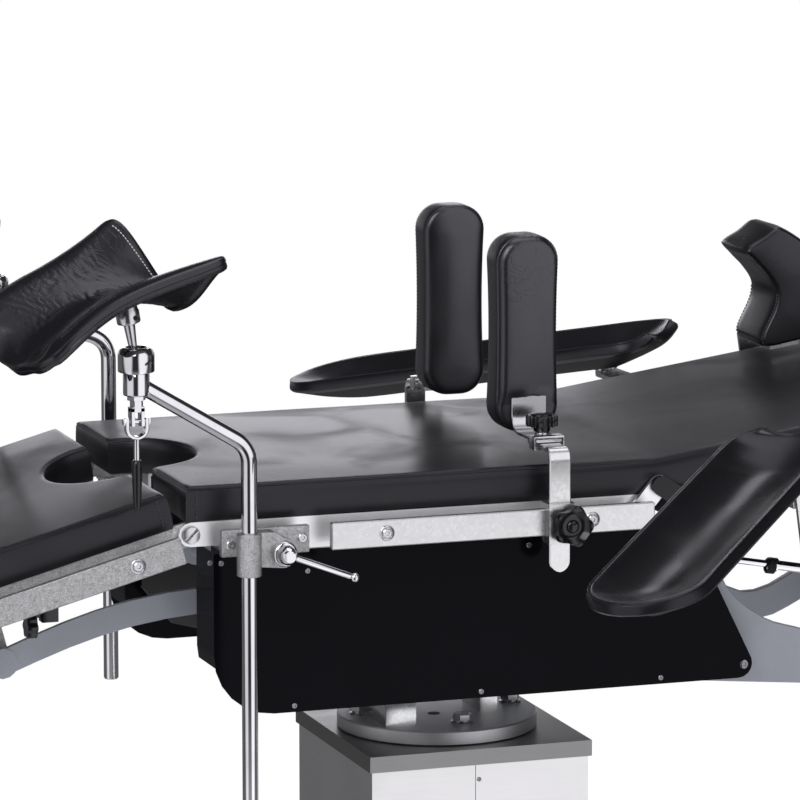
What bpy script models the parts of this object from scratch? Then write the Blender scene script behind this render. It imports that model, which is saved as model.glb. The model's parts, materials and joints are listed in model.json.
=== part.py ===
"""Hydraulic operating table with knee crutches, body supports, arm rests and shoulder rests.

Metres, +Z up, +X towards the head end, -Y the near side.
The origin lies on the floor under the axis of the lift ram.
"""

import math

import bmesh
import bpy
from mathutils import Matrix, Vector

# Driving dimensions
TABLE_HEIGHT = 0.750
PAD_WIDTH = 0.480
PAD_THICKNESS = 0.045
SEAT_LENGTH = 0.593
SEAT_AHEAD = 0.200
LEG_LENGTH = 0.520
BACK_LENGTH = 0.640
HEAD_LENGTH = 0.250
LEG_DROOP_DEG = 15.0
BACK_RISE_DEG = 8.0
COLUMN_WIDTH = 0.290
COLUMN_DEPTH = 0.296
COLUMN_TOP = 0.379
LIFT_STROKE = 0.220

# Clearances and joining values that every piece shares
GAP = 0.0003
JOIN = 0.0010
OVERRUN = 0.0200
ROUND = 14
FINE_ROUND = 28

# Trays and rails
TRAY_WIDTH = 0.470
TRAY_HEIGHT = 0.042
TRAY_SHEET = 0.003
TRAY_BEVEL = 0.0015
RAIL_REACH = 0.270
RAIL_THICKNESS = 0.010
RAIL_HEIGHT = 0.0326
RAIL_TRAY_GAP = 0.0035
RAIL_POST_RADIUS = 0.008
RAIL_BEVEL = 0.0012

# Hinges of the sections
LEG_HINGE_DROP = 0.015
BACK_HINGE_LIFT = 0.010
LEG_TRAY_SETBACK = 0.020
LEG_PAD_SETBACK = 0.0165
SEAT_PAD_OVERHANG = 0.0056
SEAT_TRAY_SETBACK = 0.043
SEAT_TRAY_STOP = 0.006
BACK_TRAY_SETBACK = 0.020
PAD_END_GAP = 0.0010
BACK_NOTCH_DEG = 35.0
HEAD_NOTCH_DEG = 16.0
EAR_THICKNESS = 0.006
HINGE_PIN_RADIUS = 0.006
PIN_HEAD_RADIUS = 0.011
PIN_HEAD_THICKNESS = 0.003

# Levels and stations that follow from the driving dimensions
PAD_BOTTOM = TABLE_HEIGHT - PAD_THICKNESS
TRAY_TOP = PAD_BOTTOM - GAP
TRAY_BOTTOM = TRAY_TOP - TRAY_HEIGHT
TRAY_SIDE = TRAY_WIDTH / 2
PAD_SIDE = PAD_WIDTH / 2
RAIL_BOTTOM = TRAY_BOTTOM + RAIL_TRAY_GAP
RAIL_TOP = RAIL_BOTTOM + RAIL_HEIGHT
RAIL_INNER = RAIL_REACH - RAIL_THICKNESS
RAIL_MIDDLE = (RAIL_BOTTOM + RAIL_TOP) / 2
BACK_HINGE_X = SEAT_AHEAD
BACK_HINGE_Z = PAD_BOTTOM + BACK_HINGE_LIFT
LEG_HINGE_X = BACK_HINGE_X - SEAT_LENGTH
LEG_HINGE_Z = PAD_BOTTOM - LEG_HINGE_DROP
HEAD_HINGE_X = BACK_HINGE_X + BACK_LENGTH
LEG_HINGE = Vector((LEG_HINGE_X, 0, LEG_HINGE_Z))
BACK_HINGE = Vector((BACK_HINGE_X, 0, BACK_HINGE_Z))
HEAD_HINGE = Vector((HEAD_HINGE_X, 0, BACK_HINGE_Z))
EAR_RADIUS = LEG_HINGE_DROP - GAP
SIDES = (("near", -1), ("far", 1))
Z_AXIS = Vector((0, 0, 1))

for old in list(bpy.data.objects):
    bpy.data.objects.remove(old)

parts = bpy.data.collections.new("hydraulic_operating_table")
guides = bpy.data.collections.new("guides")
for made in (parts, guides):
    bpy.context.scene.collection.children.link(made)

FINISHES = {
    "black_vinyl": ((0.012, 0.012, 0.015), 0.38, 0.0),
    "black_panel": ((0.008, 0.008, 0.010), 0.22, 0.0),
    "black_plastic": ((0.015, 0.015, 0.016), 0.45, 0.0),
    "brushed_steel": ((0.62, 0.63, 0.65), 0.32, 1.0),
    "rail_steel": ((0.55, 0.56, 0.58), 0.40, 1.0),
    "chrome": ((0.75, 0.76, 0.78), 0.08, 1.0),
    "grey_paint": ((0.30, 0.32, 0.36), 0.42, 0.1),
    "cast_grey": ((0.42, 0.43, 0.45), 0.45, 0.6),
}


def material(finish):
    """Return the Principled material of a finish, made on first use."""
    found = bpy.data.materials.get(finish)
    if found:
        return found
    colour, roughness, metallic = FINISHES[finish]
    made = bpy.data.materials.new(finish)
    made.use_nodes = True
    shader = made.node_tree.nodes["Principled BSDF"]
    shader.inputs["Base Color"].default_value = (*colour, 1)
    shader.inputs["Roughness"].default_value = roughness
    shader.inputs["Metallic"].default_value = metallic
    return made


def raw(mesh):
    """Put a mesh in the scene as a shape that a sub-part is built from."""
    shape = bpy.data.objects.new("shape", mesh)
    guides.objects.link(shape)
    return shape


def from_bmesh(bm):
    """Turn a bmesh into a raw shape."""
    mesh = bpy.data.meshes.new("shape")
    bm.to_mesh(mesh)
    bm.free()
    return raw(mesh)


def settle(shape):
    """Replace a shape by the mesh that its modifiers or its curve make."""
    bpy.context.view_layer.update()
    graph = bpy.context.evaluated_depsgraph_get()
    mesh = bpy.data.meshes.new_from_object(shape.evaluated_get(graph))
    mesh.transform(shape.matrix_world)
    bm = bmesh.new()
    bm.from_mesh(mesh)
    bmesh.ops.remove_doubles(bm, verts=bm.verts, dist=GAP / 10)
    bmesh.ops.recalc_face_normals(bm, faces=bm.faces)
    bm.to_mesh(mesh)
    bm.free()
    bpy.data.objects.remove(shape)
    return raw(mesh)


def bevelled(shape, width, segments=1, angle=40):
    """Round the sharp edges of a shape."""
    bevel = shape.modifiers.new("bevel", "BEVEL")
    bevel.width = width
    bevel.segments = segments
    bevel.limit_method = "ANGLE"
    bevel.angle_limit = math.radians(angle)
    return settle(shape)


def block(low, high, bevel=0.0, segments=1):
    """Return a box between two corners."""
    low, high = Vector(low), Vector(high)
    bm = bmesh.new()
    bmesh.ops.create_cube(bm, size=1)
    size = Matrix.Diagonal((*(high - low), 1))
    bmesh.ops.transform(bm, matrix=Matrix.Translation((low + high) / 2) @ size, verts=bm.verts)
    shape = from_bmesh(bm)
    return bevelled(shape, bevel, segments) if bevel else shape


def cylinder(start, end, radius, end_radius=None, sides=ROUND):
    """Return a straight rod or cone between two points."""
    start, end = Vector(start), Vector(end)
    bm = bmesh.new()
    tip = radius if end_radius is None else end_radius
    length = (end - start).length
    bmesh.ops.create_cone(bm, cap_ends=True, segments=sides, radius1=radius, radius2=tip, depth=length)
    turn = (end - start).to_track_quat("Z", "Y").to_matrix().to_4x4()
    bmesh.ops.transform(bm, matrix=Matrix.Translation((start + end) / 2) @ turn, verts=bm.verts)
    return from_bmesh(bm)


def turned(profile, sides=ROUND):
    """Turn a profile of radius and height, listed top to bottom, about the Z axis."""
    bm = bmesh.new()
    points = [bm.verts.new((radius, 0, height)) for radius, height in profile]
    for first, second in zip(points, points[1:]):
        bm.edges.new((first, second))
    shape = from_bmesh(bm)
    screw = shape.modifiers.new("turn", "SCREW")
    screw.steps = screw.render_steps = sides
    screw.use_merge_vertices = True
    screw.merge_threshold = GAP / 10
    return settle(shape)


def plate(outline, low, high, axis="Y", bevel=0.0, segments=1):
    """Extrude a flat outline between two places along an axis."""
    curve = bpy.data.curves.new("outline", "CURVE")
    curve.dimensions = "2D"
    curve.fill_mode = "BOTH"
    curve.extrude = (high - low) / 2
    spline = curve.splines.new("POLY")
    spline.points.add(len(outline) - 1)
    for point, (across, up) in zip(spline.points, outline):
        point.co = (across, up, 0, 1)
    spline.use_cyclic_u = True
    shape = bpy.data.objects.new("outline", curve)
    guides.objects.link(shape)
    middle = (low + high) / 2
    if axis == "Y":
        shape.rotation_euler = (math.radians(90), 0, 0)
        shape.location = (0, middle, 0)
    elif axis == "X":
        shape.rotation_euler = (math.radians(90), 0, math.radians(90))
        shape.location = (middle, 0, 0)
    else:
        shape.location = (0, 0, middle)
    shape = settle(shape)
    return bevelled(shape, bevel, segments) if bevel else shape


def rod(points, radius, resolution=2):
    """Return a round bar that follows a list of points."""
    curve = bpy.data.curves.new("rod", "CURVE")
    curve.dimensions = "3D"
    curve.bevel_depth = radius
    curve.bevel_resolution = resolution
    curve.use_fill_caps = True
    spline = curve.splines.new("POLY")
    spline.points.add(len(points) - 1)
    for point, place in zip(spline.points, points):
        point.co = (*place, 1)
    shape = bpy.data.objects.new("rod", curve)
    guides.objects.link(shape)
    return settle(shape)


def boolean(shape, other, operation):
    """Join another shape to this one, or cut it out of this one."""
    other.hide_render = True
    other.display_type = "WIRE"
    step = shape.modifiers.new("boolean", "BOOLEAN")
    step.operation = operation
    step.solver = "EXACT"
    step.object = other
    shape = settle(shape)
    bpy.data.objects.remove(other)
    return shape


def joined(shape, *others):
    """Return the union of some shapes."""
    for other in others:
        shape = boolean(shape, other, "UNION")
    return shape


def cut(shape, *cutters):
    """Return a shape without what its cutters take away."""
    for cutter in cutters:
        shape = boolean(shape, cutter, "DIFFERENCE")
    return shape


def moved(shape, matrix):
    """Move a raw shape by a matrix."""
    shape.data.transform(matrix)
    return shape


def part(name, finish, shape, pivot=(0, 0, 0), parent=None):
    """Name a finished shape, give it its material and put its origin on its pivot."""
    pivot = Vector(pivot)
    shape.data.transform(Matrix.Translation(-pivot))
    shape.data.name = name
    shape.name = name
    shape.data.materials.clear()
    shape.data.materials.append(material(finish))
    shape.data.shade_smooth()
    shape.data.set_sharp_from_angle(angle=math.radians(35))
    guides.objects.unlink(shape)
    parts.objects.link(shape)
    shape.location = pivot
    if parent:
        shape.parent = parent
        shape.location = pivot - Vector(parent["level_place"])
    return shape


def pivot_empty(name, place, tilt=0.0, parent=None):
    """Return an empty on a section's hinge, turned about Y by the section's tilt."""
    empty = bpy.data.objects.new(name, None)
    parts.objects.link(empty)
    empty["level_place"] = tuple(place)
    empty.location = place
    empty.rotation_euler = (0, tilt, 0)
    if parent:
        empty.parent = parent
        empty.location = Vector(place) - Vector(parent["level_place"])
    return empty


def arc(centre, radius, start_deg, end_deg, steps):
    """Return points on an arc, for an outline."""
    found = []
    for step in range(steps + 1):
        angle = math.radians(start_deg + (end_deg - start_deg) * step / steps)
        found.append((centre[0] + radius * math.cos(angle), centre[1] + radius * math.sin(angle)))
    return found


def rounded_path(corners, radius, steps=5):
    """Return the points of a bent bar, with each inner corner rounded to a radius."""
    corners = [Vector(corner) for corner in corners]
    path = [corners[0]]
    for before, corner, after in zip(corners, corners[1:], corners[2:]):
        arrive = (before - corner).normalized()
        leave = (after - corner).normalized()
        half = arrive.angle(leave) / 2
        centre = corner + (arrive + leave).normalized() * radius / math.sin(half)
        first = corner + arrive * radius / math.tan(half)
        last = corner + leave * radius / math.tan(half)
        for step in range(steps + 1):
            towards = (first - centre).lerp(last - centre, step / steps).normalized()
            path.append(centre + towards * radius)
    path.append(corners[-1])
    return path


# Base, lift and column
BASE_LENGTH = 0.880
BASE_AHEAD = 0.120
BASE_WIDTH = 0.500
BASE_BEAM_WIDTH = 0.360
BASE_ARM_LENGTH = 0.120
BASE_THICKNESS = 0.034
BASE_BEVEL = 0.006
COVER_MARGIN = 0.060
COVER_HEIGHT = 0.048
COVER_SHEET = 0.003
COVER_BEVEL = 0.003
COLUMN_SHIFT = 0.007
CAP_SKIRT = 0.020
CAP_SHEET = 0.002
CAP_OVERLAP = 0.0035
SHELL_SHEET = 0.002
SEAM = 0.0008
SLEEVE_GAP = 0.003
SLEEVE_SHEET = 0.002
SLEEVE_FOOT_GAP = 0.006
RAM_RADIUS = 0.042
CYLINDER_WALL = 0.012
RAM_FOOT_GAP = 0.010
FLANGE_RADIUS = 0.1254
FLANGE_THICKNESS = 0.018
FLANGE_BEVEL = 0.002
LEFT_UPRIGHT_LOW = -0.093
LEFT_UPRIGHT_THICKNESS = 0.041
LEFT_UPRIGHT_HALF = 0.073
RIGHT_UPRIGHT_LOW = 0.045
RIGHT_UPRIGHT_THICKNESS = 0.024
RIGHT_UPRIGHT_HALF = 0.034
UPRIGHT_HEAD = 0.026
TILT_HEIGHT = 0.102
TRUNNION_RADIUS = 0.014
CROSS_GAP = 0.004
CROSS_HALF_DEPTH = 0.060
CROSS_HALF_HEIGHT = 0.024
CROSS_BEVEL = 0.004

BASE_LOW_X = BASE_AHEAD - BASE_LENGTH / 2
BASE_HIGH_X = BASE_AHEAD + BASE_LENGTH / 2
BASE_COVER_TOP = BASE_THICKNESS + COVER_HEIGHT
CAP_LOW_X = COLUMN_SHIFT - COLUMN_WIDTH / 2
CAP_HIGH_X = COLUMN_SHIFT + COLUMN_WIDTH / 2
CAP_HALF = COLUMN_DEPTH / 2
SHELL_LOW_X = CAP_LOW_X + CAP_OVERLAP
SHELL_HIGH_X = CAP_HIGH_X - CAP_OVERLAP
SHELL_HALF = CAP_HALF - CAP_OVERLAP
SHELL_TOP = COLUMN_TOP - CAP_SHEET - GAP
FLANGE_BOTTOM = COLUMN_TOP + GAP
FLANGE_TOP = FLANGE_BOTTOM + FLANGE_THICKNESS
TILT_Z = FLANGE_TOP + TILT_HEIGHT
CYLINDER_RADIUS = RAM_RADIUS + CYLINDER_WALL
CYLINDER_TOP = SHELL_TOP - RAM_FOOT_GAP
CROSS_LOW_X = LEFT_UPRIGHT_LOW + LEFT_UPRIGHT_THICKNESS + CROSS_GAP
CROSS_HIGH_X = RIGHT_UPRIGHT_LOW - CROSS_GAP
TILT_CENTRE = Vector((0, 0, TILT_Z))


def base_outline():
    """Return the I-shaped plan of the floor casting."""
    half, beam = BASE_WIDTH / 2, BASE_BEAM_WIDTH / 2
    left, right = BASE_LOW_X + BASE_ARM_LENGTH, BASE_HIGH_X - BASE_ARM_LENGTH
    upper = [
        (BASE_HIGH_X, half),
        (right, half),
        (right, beam),
        (left, beam),
        (left, half),
        (BASE_LOW_X, half),
    ]
    lower = [(x, -y) for x, y in reversed(upper)]
    return upper + lower


def make_base():
    """Make the floor casting, its cover and the lift cylinder."""
    casting = plate(base_outline(), 0, BASE_THICKNESS, "Z", BASE_BEVEL)
    low = (SHELL_LOW_X - COVER_MARGIN, -SHELL_HALF - COVER_MARGIN / 2)
    high = (SHELL_HIGH_X + COVER_MARGIN, SHELL_HALF + COVER_MARGIN / 2)
    wall = COVER_SHEET
    cover_low = BASE_THICKNESS + GAP
    cover = block((*low, cover_low), (*high, BASE_COVER_TOP), COVER_BEVEL, 2)
    hollow = block(
        (low[0] + wall, low[1] + wall, cover_low - OVERRUN),
        (high[0] - wall, high[1] - wall, BASE_COVER_TOP - wall),
    )
    inside = SLEEVE_GAP + SHELL_SHEET
    well = block(
        (SHELL_LOW_X + inside, inside - SHELL_HALF, cover_low - OVERRUN),
        (SHELL_HIGH_X - inside, SHELL_HALF - inside, BASE_COVER_TOP + OVERRUN),
    )
    tube = cylinder((0, 0, BASE_THICKNESS + GAP), (0, 0, CYLINDER_TOP), CYLINDER_RADIUS)
    bore_low = BASE_THICKNESS + CYLINDER_WALL
    bore = cylinder((0, 0, bore_low), (0, 0, CYLINDER_TOP + OVERRUN), RAM_RADIUS + GAP)
    slot_radius = PEDAL_RADIUS + PEDAL_HOLE_GAP
    slot_z = BASE_THICKNESS + PEDAL_PIVOT_RISE
    slot = block(
        (PEDAL_OFFSET - slot_radius, low[1] - OVERRUN, slot_z - slot_radius),
        (PEDAL_OFFSET + slot_radius, low[1] + OVERRUN, slot_z + slot_radius),
    )
    part("base_casting", "cast_grey", joined(casting, *pedal_ears()))
    part("base_cover", "brushed_steel", cut(cover, hollow, well, slot))
    part("lift_cylinder", "cast_grey", cut(tube, bore))


def make_column_shells():
    """Make the two halves of the fixed column cover, parted at a seam in the middle."""
    halves = (("left", SHELL_LOW_X, -SEAM / 2, 1), ("right", SEAM / 2, SHELL_HIGH_X, -1))
    for name, low_x, high_x, open_side in halves:
        low = Vector((low_x, -SHELL_HALF, BASE_COVER_TOP + GAP))
        high = Vector((high_x, SHELL_HALF, SHELL_TOP))
        wall = Vector((SHELL_SHEET, SHELL_SHEET, 0))
        inner_low, inner_high = low + wall, high - wall
        inner_low.z -= OVERRUN
        inner_high.z += OVERRUN
        if open_side > 0:
            inner_high.x += OVERRUN
        else:
            inner_low.x -= OVERRUN
        shell = cut(block(low, high), block(inner_low, inner_high))
        part(f"column_shell_{name}", "brushed_steel", shell)


def make_lift():
    """Make the ram, the column cap with its inner sleeve, and the flange with its uprights."""
    ram_foot = BASE_THICKNESS + CYLINDER_WALL + RAM_FOOT_GAP
    ram = cylinder((0, 0, ram_foot), (0, 0, COLUMN_TOP - CAP_SHEET), RAM_RADIUS)
    ram_place = (0, 0, COLUMN_TOP)
    cap = block(
        (CAP_LOW_X, -CAP_HALF, COLUMN_TOP - CAP_SKIRT),
        (CAP_HIGH_X, CAP_HALF, COLUMN_TOP),
    )
    cap_hollow = block(
        (CAP_LOW_X + CAP_SHEET, CAP_SHEET - CAP_HALF, COLUMN_TOP - CAP_SKIRT - OVERRUN),
        (CAP_HIGH_X - CAP_SHEET, CAP_HALF - CAP_SHEET, COLUMN_TOP - CAP_SHEET),
    )
    inset = SHELL_SHEET + SLEEVE_GAP
    sleeve_foot = BASE_COVER_TOP + SLEEVE_FOOT_GAP
    sleeve = block(
        (SHELL_LOW_X + inset, inset - SHELL_HALF, sleeve_foot),
        (SHELL_HIGH_X - inset, SHELL_HALF - inset, COLUMN_TOP - CAP_SHEET / 2),
    )
    wall = inset + SLEEVE_SHEET
    sleeve_hollow = block(
        (SHELL_LOW_X + wall, wall - SHELL_HALF, sleeve_foot - OVERRUN),
        (SHELL_HIGH_X - wall, SHELL_HALF - wall, COLUMN_TOP - CAP_SHEET),
    )
    cap = joined(cut(cap, cap_hollow), cut(sleeve, sleeve_hollow))
    hole = cylinder((0, 0, COLUMN_TOP - OVERRUN), (0, 0, COLUMN_TOP + OVERRUN), RAM_RADIUS + GAP)
    neck = cylinder((0, 0, COLUMN_TOP - CAP_SHEET + GAP), (0, 0, FLANGE_TOP - JOIN), RAM_RADIUS)
    disc = cylinder((0, 0, FLANGE_BOTTOM), (0, 0, FLANGE_TOP), FLANGE_RADIUS, sides=2 * ROUND)
    disc = bevelled(disc, FLANGE_BEVEL)
    uprights = []
    spans = (
        (LEFT_UPRIGHT_LOW, LEFT_UPRIGHT_THICKNESS, LEFT_UPRIGHT_HALF),
        (RIGHT_UPRIGHT_LOW, RIGHT_UPRIGHT_THICKNESS, RIGHT_UPRIGHT_HALF),
    )
    for low_x, thickness, half in spans:
        foot = FLANGE_TOP - JOIN
        outline = [(half, foot), (UPRIGHT_HEAD, TILT_Z)]
        outline += arc((0, TILT_Z), UPRIGHT_HEAD, 0, 180, 8)[1:-1]
        outline += [(-UPRIGHT_HEAD, TILT_Z), (-half, foot)]
        upright = plate(outline, low_x, low_x + thickness, "X")
        through = Vector((OVERRUN, 0, 0))
        start = Vector((low_x, 0, TILT_Z)) - through
        end = Vector((low_x + thickness, 0, TILT_Z)) + through
        uprights.append(cut(upright, cylinder(start, end, TRUNNION_RADIUS + GAP, sides=FINE_ROUND)))
    part("lift_ram", "chrome", ram, ram_place)
    part("column_cap", "brushed_steel", cut(cap, hole), (COLUMN_SHIFT, 0, COLUMN_TOP))
    part("top_flange", "cast_grey", joined(disc, neck, *uprights), (0, 0, FLANGE_BOTTOM))


def make_tilt_cross():
    """Make the cross whose X pins tilt sideways and whose Y pins carry the frame."""
    body = block(
        (CROSS_LOW_X, -CROSS_HALF_DEPTH, TILT_Z - CROSS_HALF_HEIGHT),
        (CROSS_HIGH_X, CROSS_HALF_DEPTH, TILT_Z + CROSS_HALF_HEIGHT),
        CROSS_BEVEL,
    )
    left = LEFT_UPRIGHT_LOW - PIN_HEAD_THICKNESS
    right = RIGHT_UPRIGHT_LOW + RIGHT_UPRIGHT_THICKNESS + PIN_HEAD_THICKNESS
    lengthwise = cylinder((left, 0, TILT_Z), (right, 0, TILT_Z), TRUNNION_RADIUS, sides=FINE_ROUND)
    reach = FRAME_OUTER + PIN_HEAD_THICKNESS
    across = cylinder((0, -reach, TILT_Z), (0, reach, TILT_Z), TRUNNION_RADIUS, sides=FINE_ROUND)
    part("tilt_cross", "cast_grey", joined(body, lengthwise, across), TILT_CENTRE)


# Foot pump pedal
PEDAL_PIVOT_RISE = 0.022
PEDAL_REACH = 0.150
PEDAL_RADIUS = 0.008
PEDAL_OFFSET = 0.110
PEDAL_PAD_LENGTH = 0.090
PEDAL_PAD_WIDTH = 0.040
PEDAL_PAD_THICKNESS = 0.010
PEDAL_HOLE_GAP = 0.004
PEDAL_LIFT = 0.025
PEDAL_HUB_RADIUS = 0.010
PEDAL_HUB_HALF = 0.012
PEDAL_PIN_RADIUS = 0.004
PEDAL_EAR_THICKNESS = 0.005
PEDAL_WALL_GAP = 0.005


def pedal_pivot():
    """Return the centre of the pedal's pin, just inside the base cover."""
    wall = SHELL_HALF + COVER_MARGIN / 2 - COVER_SHEET
    inside = PEDAL_HUB_RADIUS + PEDAL_WALL_GAP - wall
    return Vector((PEDAL_OFFSET, inside, BASE_THICKNESS + PEDAL_PIVOT_RISE))


def pedal_ears():
    """Return the two ears of the casting and the pin that carry the pedal."""
    pivot = pedal_pivot()
    pieces = []
    for side in (-1, 1):
        inner = PEDAL_OFFSET + side * (PEDAL_HUB_HALF + GAP)
        faces = sorted((inner, inner + side * PEDAL_EAR_THICKNESS))
        outline = arc((pivot.y, pivot.z), PEDAL_HUB_RADIUS, 0, 180, 6)
        outline.append((pivot.y - PEDAL_HUB_RADIUS, BASE_THICKNESS - JOIN))
        outline.append((pivot.y + PEDAL_HUB_RADIUS, BASE_THICKNESS - JOIN))
        pieces.append(plate(outline, *faces, "X"))
    reach = Vector((PEDAL_HUB_HALF + PEDAL_EAR_THICKNESS - JOIN, 0, 0))
    return [*pieces, cylinder(pivot - reach, pivot + reach, PEDAL_PIN_RADIUS)]


def make_pedal():
    """Make the foot pedal of the pump, on a bar that comes out of the base cover."""
    wall = SHELL_HALF + COVER_MARGIN / 2
    pivot = pedal_pivot()
    end = Vector((PEDAL_OFFSET, -wall - PEDAL_REACH, pivot.z + PEDAL_LIFT))
    bar = rod((pivot, (PEDAL_OFFSET, -wall - PEDAL_REACH / 3, pivot.z), end), PEDAL_RADIUS)
    half = Vector((PEDAL_PAD_LENGTH, PEDAL_PAD_WIDTH, PEDAL_PAD_THICKNESS)) / 2
    pad = block(end - half, end + half, PEDAL_PAD_THICKNESS / 4)
    reach = Vector((PEDAL_HUB_HALF, 0, 0))
    hub = cylinder(pivot - reach, pivot + reach, PEDAL_HUB_RADIUS)
    through = reach + Vector((OVERRUN, 0, 0))
    hole = cylinder(pivot - through, pivot + through, PEDAL_PIN_RADIUS + GAP)
    part("pump_pedal", "rail_steel", joined(cut(joined(bar, hub), hole), pad), pivot)


# Main frame, with the swan-neck side plates that reach to the head end
FRAME_OUTER = 0.197
FRAME_PLATE = 0.010
FRAME_BEVEL = 0.002
FRAME_TOP_GAP = 0.0007
FRAME_SETBACK = 0.063
FRAME_KNEE_SETBACK = 0.030
FRAME_FOOT_DROP = 0.0613
FRAME_TUBE_RADIUS = 0.0125
FRAME_REAR_TUBE_X = -0.150
FRAME_FRONT_TUBE_SETBACK = 0.130
FRAME_TUBE_DROP = 0.018
FRAME_BOSS_RADIUS = 0.006
STRUT_PIVOT_X = 0.600
STRUT_PIVOT_SHARE = 0.393
STRUT_TUBE_AHEAD = 0.036
STRUT_LUG_THICKNESS = 0.006
STRUT_PIN_RADIUS = 0.006
STRUT_OFFSET = -0.0062
BOX_LENGTH = 0.080
BOX_BEHIND = 0.665
BOX_DROP = 0.105
BOX_TOP_SHARE = 0.402
BOX_BEVEL = 0.006

# Points of the frame plate: along as a share of the arm or of the rear end, and up as a share
NECK_TOP_SHARES = (
    (0.2886, 0.9241),
    (0.3517, 0.8393),
    (0.3973, 0.7098),
    (0.4161, 0.5982),
    (0.4403, 0.5089),
    (0.4711, 0.4330),
    (0.5047, 0.3750),
    (0.5463, 0.3348),
    (0.6040, 0.2634),
    (0.6577, 0.1786),
    (0.7114, 0.2054),
    (0.7758, 0.3170),
    (0.8389, 0.3929),
)
NECK_BOTTOM_SHARES = (
    (1.0000, 0.2009),
    (0.8523, 0.1964),
    (0.7758, 0.1161),
    (0.7181, 0.0268),
    (0.6443, 0.0000),
    (0.5477, 0.0223),
    (0.3772, 0.0759),
)
REAR_SHARES = (
    (0.6061, 0.1205),
    (0.8788, 0.2321),
    (1.0000, 0.4554),
)
BOSS_SHARES = (
    (-0.3262, 0.8750),
    (0.0523, 0.9330),
    (-0.0295, 0.1518),
    (0.2846, 0.1518),
)

FRAME_INNER = FRAME_OUTER - FRAME_PLATE
FRAME_TOP = TRAY_BOTTOM - FRAME_TOP_GAP
FRAME_SEAT = TRAY_TOP - TRAY_SHEET - GAP
FRAME_FOOT = TILT_Z - FRAME_FOOT_DROP
FRAME_LEFT = LEG_HINGE_X + FRAME_SETBACK
FRAME_KNEE = BACK_HINGE_X - FRAME_KNEE_SETBACK
BOX_RIGHT = BOX_BEHIND + BOX_LENGTH
BOX_TOP_Z = FRAME_FOOT + (FRAME_TOP - FRAME_FOOT) * BOX_TOP_SHARE
STRUT_PIVOT_Z = FRAME_FOOT + (FRAME_TOP - FRAME_FOOT) * STRUT_PIVOT_SHARE
STRUT_PIVOT = Vector((STRUT_PIVOT_X, STRUT_OFFSET, STRUT_PIVOT_Z))


def frame_points(shares, length):
    """Return points of the frame plate from shares of a length and of the plate's height."""
    return [(along * length, FRAME_FOOT + (FRAME_TOP - FRAME_FOOT) * up) for along, up in shares]


def smoothed(points):
    """Return the points with one more between each two, on a smooth curve through them."""
    found = [points[0]]
    for step in range(len(points) - 1):
        second, third = Vector(points[step]), Vector(points[step + 1])
        first = Vector(points[step - 1]) if step else second
        fourth = Vector(points[step + 2]) if step + 2 < len(points) else third
        middle = (second + third) / 2 + (second + third - first - fourth) / 16
        found += [tuple(middle), tuple(third)]
    return found


def frame_outline():
    """Return the side view of a frame plate: deep under the seat, then a rising swan neck."""
    seat = [(FRAME_LEFT, FRAME_SEAT), (FRAME_KNEE, FRAME_SEAT), (FRAME_KNEE, FRAME_TOP)]
    top = [*smoothed(frame_points(NECK_TOP_SHARES, BOX_RIGHT)), (BOX_RIGHT, BOX_TOP_Z)]
    bottom = smoothed(frame_points(NECK_BOTTOM_SHARES, BOX_RIGHT))
    return seat + top + bottom + frame_points(REAR_SHARES, FRAME_LEFT)


def cover_bosses(side):
    """Return the spacers on a frame plate that carry the side cover."""
    reach = COVER_FACE - COVER_WALL - GAP
    return [
        cylinder((x, side * (FRAME_OUTER - JOIN), z), (x, side * reach, z), FRAME_BOSS_RADIUS)
        for x, z in frame_points(BOSS_SHARES, BOX_RIGHT)
    ]


def make_main_frame():
    """Make the two side plates, the tubes between them and the lugs of the back strut."""
    plates = []
    for _, side in SIDES:
        faces = sorted((side * FRAME_INNER, side * FRAME_OUTER))
        shape = plate(frame_outline(), *faces, "Y", FRAME_BEVEL)
        hole_start = (0, faces[0] - OVERRUN, TILT_Z)
        hole_end = (0, faces[1] + OVERRUN, TILT_Z)
        hole = cylinder(hole_start, hole_end, TRUNNION_RADIUS + GAP, sides=FINE_ROUND)
        plates.append(joined(cut(shape, hole), *cover_bosses(side)))
    tube_z = FRAME_TOP - FRAME_TUBE_DROP
    strut_tube_x = STRUT_PIVOT_X + STRUT_TUBE_AHEAD
    places = (
        (FRAME_REAR_TUBE_X, tube_z),
        (BACK_HINGE_X - FRAME_FRONT_TUBE_SETBACK, tube_z),
        (strut_tube_x, STRUT_PIVOT_Z - FRAME_TUBE_RADIUS),
    )
    reach = FRAME_INNER + JOIN
    tubes = [cylinder((x, -reach, z), (x, reach, z), FRAME_TUBE_RADIUS) for x, z in places]
    lugs = []
    strut_half = STRUT_TUBE_RADIUS + GAP
    for side in (-1, 1):
        inner = STRUT_OFFSET + side * strut_half
        faces = sorted((inner, inner + side * STRUT_LUG_THICKNESS))
        outline = arc((STRUT_PIVOT_X, STRUT_PIVOT_Z), STRUT_EYE_RADIUS, 90, 270, 8)
        outline += [
            (strut_tube_x, STRUT_PIVOT_Z - STRUT_EYE_RADIUS),
            (strut_tube_x, STRUT_PIVOT_Z + JOIN - FRAME_TUBE_RADIUS / 2),
        ]
        lugs.append(plate(outline, *faces))
    pin_half = strut_half + STRUT_LUG_THICKNESS - JOIN
    pin = cylinder(
        (STRUT_PIVOT_X, STRUT_OFFSET - pin_half, STRUT_PIVOT_Z),
        (STRUT_PIVOT_X, STRUT_OFFSET + pin_half, STRUT_PIVOT_Z),
        STRUT_PIN_RADIUS,
    )
    frame = joined(plates[0], *tubes, plates[1], *lugs, pin)
    part("main_frame", "grey_paint", frame, TILT_CENTRE)


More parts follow.
